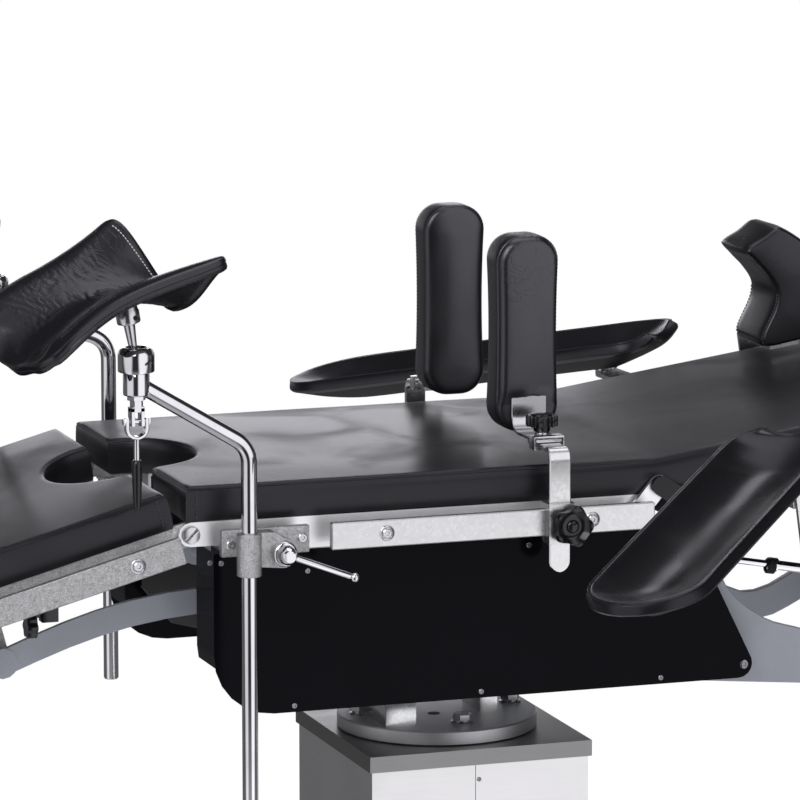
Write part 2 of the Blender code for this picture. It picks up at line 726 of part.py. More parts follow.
# Back strut
STRUT_EYE_RADIUS = 0.012
STRUT_EYE_HALF = 0.0059
STRUT_TUBE_RADIUS = 0.0062
STRUT_ROD_RADIUS = 0.0045
STRUT_COLLAR_RADIUS = 0.009
STRUT_COLLAR_LENGTH = 0.012
STRUT_TUBE_LENGTH = 0.158
STRUT_ENGAGED = 0.030
LEVER_REACH = 0.115
LEVER_DEG = -112.0
LEVER_THICKNESS = 0.008
LEVER_HALF = 0.011
LEVER_ROOT_AHEAD = 0.045

LEVER_PIN = BACK_HINGE + LEVER_REACH * Vector(
    (math.cos(math.radians(LEVER_DEG)), 0, math.sin(math.radians(LEVER_DEG)))
)
STRUT_LINE = (Vector((LEVER_PIN.x, STRUT_OFFSET, LEVER_PIN.z)) - STRUT_PIVOT).normalized()


def make_back_strut():
    """Make the strut tube on the frame, and the rod whose eye lies beside the back lever."""
    mouth = STRUT_PIVOT + STRUT_LINE * STRUT_TUBE_LENGTH
    tube = cylinder(STRUT_PIVOT + STRUT_LINE * STRUT_ROD_RADIUS, mouth, STRUT_TUBE_RADIUS)
    collar = cylinder(mouth - STRUT_LINE * STRUT_COLLAR_LENGTH, mouth, STRUT_COLLAR_RADIUS)
    eye_half = Vector((0, STRUT_TUBE_RADIUS, 0))
    eye = cylinder(STRUT_PIVOT - eye_half, STRUT_PIVOT + eye_half, STRUT_EYE_RADIUS)
    hole = cylinder(STRUT_PIVOT - 2 * eye_half, STRUT_PIVOT + 2 * eye_half, STRUT_PIN_RADIUS + GAP)
    bore_start = STRUT_PIVOT + STRUT_LINE * (STRUT_EYE_RADIUS + JOIN)
    bore = cylinder(bore_start, mouth + STRUT_LINE * OVERRUN, STRUT_ROD_RADIUS + GAP)
    part("back_strut_tube", "chrome", cut(joined(eye, tube, collar), hole, bore), STRUT_PIVOT)
    tip = Vector((LEVER_PIN.x, STRUT_OFFSET, LEVER_PIN.z))
    shaft_start = mouth - STRUT_LINE * STRUT_ENGAGED
    shaft = cylinder(shaft_start, tip - STRUT_LINE * STRUT_EYE_RADIUS / 2, STRUT_ROD_RADIUS)
    eye_half = Vector((0, STRUT_EYE_HALF, 0))
    rod_eye = cylinder(tip - eye_half, tip + eye_half, STRUT_EYE_RADIUS)
    part("back_strut_rod", "chrome", joined(rod_eye, shaft), mouth)


# Side covers
COVER_FACE = 0.225
COVER_WALL = 0.002
COVER_RETURN = 0.155
COVER_SETBACK = 0.0325
COVER_CORNER_SHARE = 0.376
COVER_DROP = 0.0371
COVER_AHEAD = 0.133
COVER_SHOULDER_BEHIND = 0.010
COVER_SHOULDER_SHARE = 0.301
COVER_SLOPE_AHEAD = 0.075
COVER_NOSE = 0.018
COVER_TOP_GAP = 0.0007

COVER_LEFT = LEG_HINGE_X + COVER_SETBACK
COVER_RIGHT = BACK_HINGE_X + COVER_AHEAD
COVER_BOTTOM = TILT_Z - COVER_DROP
COVER_TALL = TRAY_BOTTOM - COVER_TOP_GAP - COVER_BOTTOM
COVER_CORNER = COVER_TALL * COVER_CORNER_SHARE


def cover_outline():
    """Return the side view of a cover, with its large lower rear corner."""
    top = TRAY_BOTTOM - COVER_TOP_GAP
    corner = (COVER_LEFT + COVER_CORNER, COVER_BOTTOM + COVER_CORNER)
    nose = (COVER_RIGHT - COVER_NOSE, COVER_BOTTOM + COVER_NOSE)
    outline = [(COVER_LEFT, top)]
    outline += arc(corner, COVER_CORNER, 180, 270, 6)
    outline += arc(nose, COVER_NOSE, 270, 380, 5)
    outline.append((BACK_HINGE_X + COVER_SLOPE_AHEAD, top - COVER_TALL * COVER_SHOULDER_SHARE))
    outline.append((BACK_HINGE_X - COVER_SHOULDER_BEHIND, top))
    return outline


def make_side_covers():
    """Make the two black covers, each a face plate with a flange turned in at the leg end."""
    for name, side in SIDES:
        faces = sorted((side * COVER_RETURN, side * COVER_FACE))
        shell = plate(cover_outline(), *faces)
        inner = sorted((side * (COVER_RETURN - OVERRUN), side * (COVER_FACE - COVER_WALL)))
        hollow = block(
            (COVER_LEFT + COVER_WALL, inner[0], COVER_BOTTOM - OVERRUN),
            (COVER_RIGHT + OVERRUN, inner[1], TRAY_BOTTOM + OVERRUN),
        )
        shell = cut(shell, hollow)
        part(f"side_cover_{name}", "black_panel", shell, (0, side * COVER_FACE, COVER_BOTTOM))


# Control box and crank
CRANK_SHAFT_RADIUS = 0.008
CRANK_SHAFT_LENGTH = 0.030
CRANK_ARM = 0.090
CRANK_ARM_THICKNESS = 0.008
CRANK_ARM_HALF = 0.010
CRANK_GRIP_RADIUS = 0.011
CRANK_GRIP_LENGTH = 0.055
CRANK_BOSS_RADIUS = 0.016
CRANK_BOSS_LENGTH = 0.006

CRANK_Z = BOX_TOP_Z - BOX_DROP / 2


def make_control_box():
    """Make the gearbox between the ends of the frame plates, and its crank."""
    reach = FRAME_INNER - GAP
    box = block(
        (BOX_BEHIND, -reach, BOX_TOP_Z - BOX_DROP),
        (BOX_RIGHT, reach, BOX_TOP_Z),
        BOX_BEVEL,
        2,
    )
    boss_end = BOX_RIGHT + CRANK_BOSS_LENGTH
    boss = cylinder((BOX_RIGHT - JOIN, 0, CRANK_Z), (boss_end, 0, CRANK_Z), CRANK_BOSS_RADIUS)
    bore = cylinder(
        (BOX_RIGHT - CRANK_SHAFT_LENGTH, 0, CRANK_Z),
        (BOX_RIGHT + OVERRUN, 0, CRANK_Z),
        CRANK_SHAFT_RADIUS + GAP,
    )
    part("control_box", "grey_paint", cut(joined(box, boss), bore), (BOX_BEHIND, 0, CRANK_Z))
    front = boss_end + GAP
    shaft_start = BOX_RIGHT - CRANK_SHAFT_LENGTH + GAP
    shaft = cylinder((shaft_start, 0, CRANK_Z), (front + JOIN, 0, CRANK_Z), CRANK_SHAFT_RADIUS)
    outline = arc((0, CRANK_Z), CRANK_ARM_HALF + GAP, 0, 180, 6)
    outline += arc((0, CRANK_Z - CRANK_ARM), CRANK_ARM_HALF, 180, 360, 6)
    arm = plate(outline, front, front + CRANK_ARM_THICKNESS, "X")
    grip_start = front + CRANK_ARM_THICKNESS - JOIN
    grip = cylinder(
        (grip_start, 0, CRANK_Z - CRANK_ARM),
        (grip_start + CRANK_GRIP_LENGTH, 0, CRANK_Z - CRANK_ARM),
        CRANK_GRIP_RADIUS * 2 / 3,
        CRANK_GRIP_RADIUS,
    )
    part("crank_handle", "chrome", joined(arm, shaft, grip), (BOX_RIGHT, 0, CRANK_Z))


# Cushions
CROWN = 0.003
DRAW_IN = 0.0025
PAD_ROUND = 0.009
CUT_DEPTH = 0.080
CUT_HALF_WIDTH = 0.095
TRAY_CUT_MARGIN = 0.006


def graded(low, high, cells):
    """Return a box whose faces are split into cells along X, Y and Z."""
    low, high = Vector(low), Vector(high)
    bm = bmesh.new()
    bmesh.ops.create_cube(bm, size=1)
    for axis, count in enumerate(cells):
        along = [
            edge
            for edge in bm.edges
            if abs((edge.verts[1].co - edge.verts[0].co).normalized()[axis]) > 1 / 2
        ]
        if count > 1:
            bmesh.ops.subdivide_edges(bm, edges=along, cuts=count - 1, use_grid_fill=True)
    size = Matrix.Diagonal((*(high - low), 1))
    bmesh.ops.transform(bm, matrix=Matrix.Translation((low + high) / 2) @ size, verts=bm.verts)
    return bm


def cushion(low, high, cells, crown=CROWN, draw=DRAW_IN, low_slope=0.0, high_slope=0.0, both=False):
    """Return a crowned pad whose sides pull in between its corners.

    The slopes lean the ends in towards the top, so that sections can fold together.
    """
    low, high = Vector(low), Vector(high)
    middle, half = (low + high) / 2, (high - low) / 2
    bm = graded(low, high, cells)
    for vert in bm.verts:
        share = Vector([(vert.co[i] - middle[i]) / half[i] for i in range(3)])
        height = (share.z + 1) / 2
        lean = low_slope * (1 - share.x) / 2 - high_slope * (1 + share.x) / 2
        swell = (1 - share.x ** 2) * (1 - share.y ** 2)
        pull_y = draw * (1 - share.x ** 2) * abs(share.y) ** 3
        pull_x = draw * (1 - share.y ** 2) * abs(share.x) ** 3
        vert.co.x += lean * height - math.copysign(pull_x, share.x)
        vert.co.y -= math.copysign(pull_y, share.y)
        if share.z > 1 / 2:
            vert.co.z -= crown * (1 - swell)
        elif both and share.z < -1 / 2:
            vert.co.z += crown * (1 - swell)
    return from_bmesh(bm)


def cut_out(place, margin=0.0):
    """Return the oval cutter of the opening between the seat and the leg section."""
    shape = cylinder((0, 0, -1), (0, 0, 1), 1, sides=2 * ROUND)
    size = Matrix.Diagonal((CUT_DEPTH + margin, CUT_HALF_WIDTH + margin, PAD_THICKNESS + TRAY_HEIGHT, 1))
    return moved(shape, Matrix.Translation((place, 0, PAD_BOTTOM)) @ size)


def make_pads(leg, back, head):
    """Make the four mattress cushions, with the oval opening between seat and leg."""
    notch = math.tan(math.radians(BACK_NOTCH_DEG)) * (PAD_THICKNESS - BACK_HINGE_LIFT)
    nod = math.tan(math.radians(HEAD_NOTCH_DEG)) * (PAD_THICKNESS - BACK_HINGE_LIFT)
    half = PAD_SIDE
    seat_low = LEG_HINGE_X - SEAT_PAD_OVERHANG
    seat_high = BACK_HINGE_X - PAD_END_GAP
    seat = cushion(
        (seat_low, -half, PAD_BOTTOM), (seat_high, half, TABLE_HEIGHT), (6, 4, 1), high_slope=notch
    )
    seat = cut(bevelled(seat, PAD_ROUND, 2), cut_out(seat_low))
    part("seat_pad", "black_vinyl", seat, (seat_low, 0, PAD_BOTTOM))
    leg_high = LEG_HINGE_X - LEG_PAD_SETBACK
    foot = leg_high - LEG_LENGTH
    rest = cushion((foot, -half, PAD_BOTTOM), (leg_high, half, TABLE_HEIGHT), (6, 4, 1))
    rest = cut(bevelled(rest, PAD_ROUND, 2), cut_out(leg_high))
    part("leg_pad", "black_vinyl", rest, LEG_HINGE, leg)
    back_low = BACK_HINGE_X + PAD_END_GAP
    back_high = HEAD_HINGE_X - PAD_END_GAP
    shape = cushion(
        (back_low, -half, PAD_BOTTOM),
        (back_high, half, TABLE_HEIGHT),
        (6, 4, 1),
        low_slope=notch,
        high_slope=nod,
    )
    part("back_pad", "black_vinyl", bevelled(shape, PAD_ROUND, 2), BACK_HINGE, back)
    head_low = HEAD_HINGE_X + PAD_END_GAP
    shape = cushion(
        (head_low, -half, PAD_BOTTOM), (head_low + HEAD_LENGTH, half, TABLE_HEIGHT), (3, 4, 1), low_slope=nod
    )
    part("head_pad", "black_vinyl", bevelled(shape, PAD_ROUND, 2), HEAD_HINGE, head)


# Trays, ears and hinge pins
EAR_LENGTH = 0.030
HEAD_TRAY_LENGTH = 0.230
HEAD_TRAY_SETBACK = 0.020
HEAD_TRAY_HEIGHT = 0.026
BACK_EAR_SPAN = 0.034
BACK_EAR_FOOT = 0.012
BACK_SPACER_RISE = 0.006
BACK_SPACER_TOP = 0.020
HEAD_EAR_SPAN = 0.034
LUG_X = -0.2414
LUG_DROP = 0.101
LUG_HALF = 0.015
LUG_THICKNESS = 0.006
LUG_SIDE = 0.120
LINK_PIN_RADIUS = 0.008

SEAT_TRAY_LOW = LEG_HINGE_X + SEAT_TRAY_SETBACK
SEAT_TRAY_HIGH = BACK_HINGE_X - SEAT_TRAY_STOP
LEG_TRAY_HIGH = LEG_HINGE_X - LEG_TRAY_SETBACK
LEG_TRAY_LOW = LEG_HINGE_X - LEG_PAD_SETBACK - LEG_LENGTH + TRAY_SHEET
BACK_TRAY_LOW = BACK_HINGE_X + BACK_TRAY_SETBACK
BACK_TRAY_HIGH = HEAD_HINGE_X - SEAT_TRAY_STOP
HEAD_TRAY_LOW = HEAD_HINGE_X + HEAD_TRAY_SETBACK
HEAD_TRAY_HIGH = HEAD_HINGE_X + HEAD_TRAY_LENGTH
LEG_EAR_OUTER = TRAY_SIDE - JOIN - GAP
SEAT_EAR_INNER = TRAY_SIDE - JOIN
SEAT_EAR_OUTER = SEAT_EAR_INNER + EAR_THICKNESS
BACK_EAR_INNER = PAD_SIDE + JOIN
BACK_EAR_OUTER = BACK_EAR_INNER + EAR_THICKNESS
FOLLOWER_INNER = BACK_EAR_OUTER + GAP
FOLLOWER_OUTER = FOLLOWER_INNER + EAR_THICKNESS
LINK_PIN = LEG_HINGE + Vector((LUG_X, 0, -LUG_DROP))


def pan(low_x, high_x, height=TRAY_HEIGHT):
    """Return a tray: a top sheet with its four sides folded down."""
    low = Vector((low_x, -TRAY_SIDE, TRAY_TOP - height))
    high = Vector((high_x, TRAY_SIDE, TRAY_TOP))
    wall = Vector((TRAY_SHEET, TRAY_SHEET, 0))
    inner_high = high - wall
    inner_high.z -= TRAY_SHEET
    inner_low = low + wall
    inner_low.z -= OVERRUN
    return cut(block(low, high, TRAY_BEVEL), block(inner_low, inner_high))


def strap(start, end, radius, low_y, high_y):
    """Return a flat bar with round ends between two places, in X and Z."""
    start, end = Vector(start), Vector(end)
    angle = math.degrees(math.atan2(end.y - start.y, end.x - start.x))
    outline = arc(end, radius, angle - 90, angle + 90, 6) + arc(start, radius, angle + 90, angle + 270, 6)
    return plate(outline, low_y, high_y)


def pin(place, inner, outer, radius, side, head=True):
    """Return a hinge pin along Y on a side, with a head at its outer end."""
    far = outer + PIN_HEAD_THICKNESS if head else outer
    shaft = cylinder((place.x, side * inner, place.z), (place.x, side * (far - JOIN), place.z), radius)
    if not head:
        return shaft
    cap = cylinder((place.x, side * outer, place.z), (place.x, side * far, place.z), PIN_HEAD_RADIUS)
    return joined(shaft, cap)


def pin_hole(place, side, radius=HINGE_PIN_RADIUS):
    """Return the cutter of a hinge pin's hole."""
    reach = PAD_WIDTH
    start = (place.x, 0, place.z)
    return cylinder(start, (place.x, side * reach, place.z), radius + GAP)


def span(side, inner, outer):
    """Return the two faces of a plate on a side, the lower one first."""
    return sorted((side * inner, side * outer))


def side_block(side, inner, outer, low, high):
    """Return a block on a side, from X and Z corners."""
    near, far = span(side, inner, outer)
    return block((low[0], near, low[1]), (high[0], far, high[1]))


def make_seat_tray():
    """Make the seat tray with its ears for the leg and the back section."""
    opening = cut_out(LEG_HINGE_X - SEAT_PAD_OVERHANG, TRAY_CUT_MARGIN)
    pieces = [cut(pan(SEAT_TRAY_LOW, SEAT_TRAY_HIGH), opening)]
    for _, side in SIDES:
        start = (LEG_HINGE_X, LEG_HINGE_Z)
        end = (SEAT_TRAY_LOW + EAR_LENGTH, LEG_HINGE_Z)
        ear = strap(start, end, EAR_RADIUS, *span(side, SEAT_EAR_INNER, SEAT_EAR_OUTER))
        pieces.append(cut(ear, pin_hole(LEG_HINGE, side)))
        foot = (BACK_HINGE_X - BACK_EAR_SPAN, TRAY_BOTTOM + BACK_EAR_FOOT)
        faces = span(side, BACK_EAR_INNER, BACK_EAR_OUTER)
        ear = strap(foot, (BACK_HINGE_X, BACK_HINGE_Z), BACK_EAR_FOOT, *faces)
        pieces.append(cut(ear, pin_hole(BACK_HINGE, side)))
        pieces.append(
            side_block(
                side,
                TRAY_SIDE - JOIN,
                BACK_EAR_INNER + JOIN,
                (foot[0] - BACK_SPACER_RISE, TRAY_BOTTOM + BACK_SPACER_RISE),
                (foot[0] + BACK_SPACER_RISE, TRAY_BOTTOM + BACK_SPACER_TOP),
            )
        )
    part("seat_tray", "brushed_steel", joined(*pieces), (0, 0, TRAY_BOTTOM))


def make_leg_tray(leg):
    """Make the leg tray with its hinge ears, pins and the lugs of the leg link."""
    opening = cut_out(LEG_HINGE_X - LEG_PAD_SETBACK, TRAY_CUT_MARGIN)
    pieces = [cut(pan(LEG_TRAY_LOW, LEG_TRAY_HIGH), opening)]
    for _, side in SIDES:
        start = (LEG_TRAY_HIGH - EAR_LENGTH, LEG_HINGE_Z)
        end = (LEG_HINGE_X, LEG_HINGE_Z)
        inner = LEG_EAR_OUTER - EAR_THICKNESS
        pieces.append(strap(start, end, EAR_RADIUS, *span(side, inner, LEG_EAR_OUTER)))
        pieces.append(pin(LEG_HINGE, LEG_EAR_OUTER - JOIN, SEAT_EAR_OUTER + GAP, HINGE_PIN_RADIUS, side))
        root = (LINK_PIN.x, TRAY_TOP - TRAY_SHEET - LUG_HALF)
        lug = strap((LINK_PIN.x, LINK_PIN.z), root, LUG_HALF, *span(side, LUG_SIDE, LUG_SIDE + LUG_THICKNESS))
        top = side_block(
            side,
            LUG_SIDE,
            LUG_SIDE + LUG_THICKNESS,
            (LINK_PIN.x - LUG_HALF, root[1]),
            (LINK_PIN.x + LUG_HALF, TRAY_TOP - JOIN),
        )
        pieces.append(cut(joined(lug, top), pin_hole(LINK_PIN, side, LINK_PIN_RADIUS)))
    part("leg_tray", "rail_steel", joined(*pieces), LEG_HINGE, leg)


def make_back_tray(back):
    """Make the back tray with its ears, pins and the lever that the strut pushes."""
    pieces = [pan(BACK_TRAY_LOW, BACK_TRAY_HIGH)]
    for _, side in SIDES:
        foot = (BACK_HINGE_X + BACK_EAR_SPAN + BACK_EAR_FOOT, TRAY_BOTTOM + BACK_EAR_FOOT)
        faces = span(side, FOLLOWER_INNER, FOLLOWER_OUTER)
        pieces.append(strap((BACK_HINGE_X, BACK_HINGE_Z), foot, BACK_EAR_FOOT, *faces))
        pieces.append(pin(BACK_HINGE, BACK_EAR_INNER, FOLLOWER_OUTER - JOIN, HINGE_PIN_RADIUS, side, False))
        pieces.append(
            side_block(
                side,
                TRAY_SIDE - JOIN,
                FOLLOWER_INNER + JOIN,
                (foot[0] - BACK_SPACER_RISE, TRAY_BOTTOM + BACK_SPACER_RISE),
                (foot[0] + BACK_SPACER_RISE, TRAY_BOTTOM + BACK_SPACER_TOP),
            )
        )
        start = (HEAD_HINGE_X, BACK_HINGE_Z)
        foot = (HEAD_HINGE_X - HEAD_EAR_SPAN, TRAY_BOTTOM + BACK_EAR_FOOT)
        ear = strap(foot, start, BACK_EAR_FOOT, *span(side, BACK_EAR_INNER, BACK_EAR_OUTER))
        pieces.append(cut(ear, pin_hole(HEAD_HINGE, side)))
        pieces.append(
            side_block(
                side,
                TRAY_SIDE - JOIN,
                BACK_EAR_INNER + JOIN,
                (foot[0] - BACK_SPACER_RISE, TRAY_BOTTOM + BACK_SPACER_RISE),
                (foot[0] + BACK_SPACER_RISE, TRAY_BOTTOM + BACK_SPACER_TOP),
            )
        )
    level = math.radians(LEVER_DEG - BACK_RISE_DEG)
    tip = (BACK_HINGE_X + LEVER_REACH * math.cos(level), BACK_HINGE_Z + LEVER_REACH * math.sin(level))
    root = (BACK_HINGE_X + LEVER_ROOT_AHEAD, TRAY_BOTTOM + LEVER_HALF)
    pieces.append(strap(tip, root, LEVER_HALF, 0, LEVER_THICKNESS))
    web = block(
        (BACK_TRAY_LOW + JOIN, 0, TRAY_BOTTOM + LEVER_HALF / 2),
        (root[0] + LEVER_HALF, LEVER_THICKNESS, TRAY_TOP - JOIN),
    )
    part("back_tray", "brushed_steel", joined(*pieces, web), BACK_HINGE, back)


def make_head_tray(head):
    """Make the head tray with its ears and pins."""
    pieces = [pan(HEAD_TRAY_LOW, HEAD_TRAY_HIGH, HEAD_TRAY_HEIGHT)]
    for _, side in SIDES:
        foot_z = TRAY_TOP - HEAD_TRAY_HEIGHT + BACK_EAR_FOOT
        foot = (HEAD_HINGE_X + HEAD_EAR_SPAN + BACK_EAR_FOOT, foot_z)
        faces = span(side, FOLLOWER_INNER, FOLLOWER_OUTER)
        pieces.append(strap((HEAD_HINGE_X, BACK_HINGE_Z), foot, BACK_EAR_FOOT, *faces))
        pieces.append(pin(HEAD_HINGE, BACK_EAR_INNER, FOLLOWER_OUTER - JOIN, HINGE_PIN_RADIUS, side, False))
        pieces.append(
            side_block(
                side,
                TRAY_SIDE - JOIN,
                FOLLOWER_INNER + JOIN,
                (foot[0] - BACK_SPACER_RISE, foot_z - BACK_SPACER_RISE),
                (foot[0] + BACK_SPACER_RISE, foot_z + BACK_SPACER_RISE),
            )
        )
    part("head_tray", "brushed_steel", joined(*pieces), HEAD_HINGE, head)


# Rails
SEAT_RAIL_START = 0.166
SEAT_RAIL_END = 0.015
SEAT_POST_SHARES = {"near": (0.167, 0.803), "far": (0.167, 0.82)}
LEG_POST_SHARES = (0.35, 0.884)
BACK_POST_SHARES = (0.10, 0.80)
LEG_RAIL_LENGTH = 0.500
BACK_RAIL_START = 0.066
BACK_RAIL_END = 0.060


def rail(name, low_x, high_x, side, shares, section=None, pivot=None):
    """Make an accessory rail on a tray's side, with the posts that hold it."""
    near, far = span(side, RAIL_INNER, RAIL_REACH)
    bar = block((low_x, near, RAIL_BOTTOM), (high_x, far, RAIL_TOP), RAIL_BEVEL)
    for share in shares:
        x = low_x + (high_x - low_x) * share
        start = (x, side * (TRAY_SIDE + GAP), RAIL_MIDDLE)
        bar = joined(bar, cylinder(start, (x, side * (RAIL_INNER + JOIN), RAIL_MIDDLE), RAIL_POST_RADIUS))
    part(name, "rail_steel", bar, pivot or (low_x, side * RAIL_REACH, RAIL_MIDDLE), section)


def make_rails(leg, back):
    """Make the six accessory rails."""
    seat_low = LEG_HINGE_X + SEAT_RAIL_START
    seat_high = BACK_HINGE_X - SEAT_RAIL_END
    for name, side in SIDES:
        rail(f"seat_rail_{name}", seat_low, seat_high, side, SEAT_POST_SHARES[name])
        leg_low = LEG_TRAY_HIGH - LEG_RAIL_LENGTH
        rail(f"leg_rail_{name}", leg_low, LEG_TRAY_HIGH, side, LEG_POST_SHARES, leg, LEG_HINGE)
        back_low = BACK_HINGE_X + BACK_RAIL_START
        back_high = HEAD_HINGE_X - BACK_RAIL_END
        rail(f"back_rail_{name}", back_low, back_high, side, BACK_POST_SHARES, back, BACK_HINGE)


# Leg link
LINK_SIDE = 0.145
LINK_THICKNESS = 0.008
LINK_HEIGHT = 0.031
LINK_LENGTH = 0.3356
LINK_RISE_DEG = 10.5
LINK_BOW = 0.020
LINK_STEPS = 8
LINK_EYE_RADIUS = 0.0185


def make_leg_link():
    """Make the bowed link under the leg section: two bars joined by rods at both ends."""
    droop = math.radians(LEG_DROOP_DEG)
    turn = Matrix.Rotation(-droop, 4, "Y")
    place = LEG_HINGE + (turn @ (LINK_PIN - LEG_HINGE))
    rise = math.radians(LINK_RISE_DEG)
    along = Vector((math.cos(rise), math.sin(rise)))
    across = Vector((-along.y, along.x))
    start = Vector((place.x, place.z))
    upper, lower = [], []
    for step in range(LINK_STEPS + 1):
        share = step / LINK_STEPS
        middle = start + along * LINK_LENGTH * share + across * LINK_BOW * math.sin(math.pi * share)
        upper.append(middle + across * LINK_HEIGHT / 2)
        lower.append(middle - across * LINK_HEIGHT / 2)
    outline = lower + upper[::-1]
    end = start + along * LINK_LENGTH
    pieces = []
    for _, side in SIDES:
        faces = span(side, LINK_SIDE - LINK_THICKNESS / 2, LINK_SIDE + LINK_THICKNESS / 2)
        bar = plate(outline, *faces)
        for x, z in (start, end):
            eye = cylinder((x, faces[0] - JOIN, z), (x, faces[1] + JOIN, z), LINK_EYE_RADIUS)
            bar = joined(bar, eye)
        pieces.append(bar)
    for x, z in (start, end):
        pieces.append(cylinder((x, -LINK_SIDE, z), (x, LINK_SIDE, z), LINK_PIN_RADIUS))
    part("leg_link", "grey_paint", joined(pieces[0], pieces[2], pieces[3], pieces[1]), place)


# Knee crutches
CRUTCH_AHEAD = 0.0545
CRUTCH_OFFSET = 0.297
CRUTCH_RAISE = {"near": 0.0, "far": 0.036}
CRUTCH_POST_RADIUS = 0.0095
CRUTCH_CORNER_LIFT = 0.0526
CRUTCH_POST_LENGTH = 0.440
CRUTCH_BEND = 0.035
CRUTCH_ARM_LENGTH = 0.160
CRUTCH_ARM_DEG = {"near": 31.3, "far": 18.0}
CLAMP_PLATE_BEHIND = 0.0255
CLAMP_PLATE_AHEAD = 0.0835
CLAMP_SLEEVE_RADIUS = 0.0145
CLAMP_SLEEVE_LENGTH = 0.051
CLAMP_SLEEVE_DROP = 0.0182
CLAMP_CHEEK_AHEAD = 0.0635
CLAMP_CHEEK_DEPTH = 0.022
CLAMP_POST_SHARES = (0.12, 0.90)
LEVER_HUB_AHEAD = 0.0445
LEVER_HUB_DROP = 0.0115
LEVER_HUB_RADIUS = 0.0130
LEVER_HUB_LENGTH = 0.026
LEVER_STEM_RADIUS = 0.006
LEVER_ROD_RADIUS = 0.004
LEVER_ROD_LENGTH = 0.095
LEVER_ROD_DEG = -21.0
SOCKET_RADIUS = 0.016
SOCKET_LENGTH = 0.028
CAP_RADIUS = 0.0215
CAP_LENGTH = 0.029
CAP_MOUTH = 0.015
CAP_BORE = 0.0125
BALL_RADIUS = 0.011
STEM_RADIUS = 0.0045
STEM_TOP_RADIUS = 0.007
STEM_LENGTH = 0.052
STEM_LEAN_DEG = {"near": 9.0, "far": 20.0}
KNUCKLE_RADIUS = 0.014
KNUCKLE_LENGTH = 0.018
CLEVIS_WIDTH = 0.027
CLEVIS_DEPTH = 0.012
CLEVIS_HEIGHT = 0.026
CLEVIS_SLOT = 0.0100
CLEVIS_NECK_RADIUS = 0.008
CLEVIS_NECK = 0.014
CLEVIS_PIN_RADIUS = 0.003
BALL_LEVER_STEM_RADIUS = 0.0035
BALL_LEVER_STEM = 0.046
BALL_LEVER_GRIP_RADIUS = 0.006
BALL_LEVER_TIP_RADIUS = 0.004
BALL_LEVER_GRIP = 0.060
BALL_LEVER_EYE = 0.0045

CRUTCH_X = LEG_HINGE_X + CRUTCH_AHEAD
CRUTCH_CORNER_Z = TABLE_HEIGHT + CRUTCH_CORNER_LIFT
CLAMP_PLATE_LOW = CRUTCH_X - CLAMP_PLATE_BEHIND
CLAMP_PLATE_HIGH = CRUTCH_X + CLAMP_PLATE_AHEAD
CLAMP_SLEEVE_LOW = RAIL_BOTTOM - CLAMP_SLEEVE_DROP
CLAMP_SLEEVE_HIGH = CLAMP_SLEEVE_LOW + CLAMP_SLEEVE_LENGTH
LEVER_HUB_X = CRUTCH_X + LEVER_HUB_AHEAD
LEVER_HUB_Z = RAIL_MIDDLE - LEVER_HUB_DROP


def make_crutch_clamp(name, side):
    """Make the plate on the tray's side with the sleeve that a crutch post slides in."""
    near, far = span(side, RAIL_INNER, RAIL_REACH)
    base = block((CLAMP_PLATE_LOW, near, RAIL_BOTTOM), (CLAMP_PLATE_HIGH, far, RAIL_TOP), RAIL_BEVEL)
    length = CLAMP_PLATE_HIGH - CLAMP_PLATE_LOW
    for share in CLAMP_POST_SHARES:
        x = CLAMP_PLATE_LOW + length * share
        inner = (SEAT_EAR_OUTER if x < SEAT_TRAY_LOW + EAR_LENGTH + EAR_RADIUS else TRAY_SIDE) + GAP
        start = (x, side * inner, RAIL_MIDDLE)
        base = joined(base, cylinder(start, (x, side * (RAIL_INNER + JOIN), RAIL_MIDDLE), RAIL_POST_RADIUS))
    x, y = CRUTCH_X, side * CRUTCH_OFFSET
    sleeve = cylinder((x, y, CLAMP_SLEEVE_LOW), (x, y, CLAMP_SLEEVE_HIGH), CLAMP_SLEEVE_RADIUS)
    cheek = side_block(
        side,
        RAIL_REACH - JOIN,
        RAIL_REACH + CLAMP_CHEEK_DEPTH,
        (CRUTCH_X, RAIL_BOTTOM + JOIN),
        (CRUTCH_X + CLAMP_CHEEK_AHEAD, RAIL_TOP - JOIN),
    )
    bore = cylinder(
        (x, y, CLAMP_SLEEVE_LOW - OVERRUN), (x, y, CLAMP_SLEEVE_HIGH + OVERRUN), CRUTCH_POST_RADIUS + GAP
    )
    screw_start = (LEVER_HUB_X, side * RAIL_REACH, LEVER_HUB_Z)
    screw_end = (LEVER_HUB_X, side * (RAIL_REACH + CLAMP_CHEEK_DEPTH + OVERRUN), LEVER_HUB_Z)
    hole = cylinder(screw_start, screw_end, LEVER_STEM_RADIUS + GAP)
    clamp = cut(joined(base, cheek, sleeve), bore, hole)
    part(f"crutch_clamp_{name}", "rail_steel", clamp, (x, y, CLAMP_SLEEVE_LOW))


def make_clamp_lever(name, side):
    """Make the T-lever that tightens a crutch clamp."""
    face = RAIL_REACH + CLAMP_CHEEK_DEPTH + GAP
    pivot = Vector((LEVER_HUB_X, side * face, LEVER_HUB_Z))
    out = Vector((0, side, 0))
    hub = cylinder(pivot, pivot + out * LEVER_HUB_LENGTH, LEVER_HUB_RADIUS)
    stem = cylinder(pivot - out * (CLAMP_CHEEK_DEPTH - JOIN), pivot + out * JOIN, LEVER_STEM_RADIUS)
    turn = math.radians(LEVER_ROD_DEG)
    along = Vector((math.cos(turn), 0, math.sin(turn)))
    middle = pivot + out * LEVER_HUB_LENGTH / 2
    bar = cylinder(middle, middle + along * LEVER_ROD_LENGTH, LEVER_ROD_RADIUS)
    part(f"crutch_clamp_lever_{name}", "chrome", joined(hub, stem, bar), pivot)


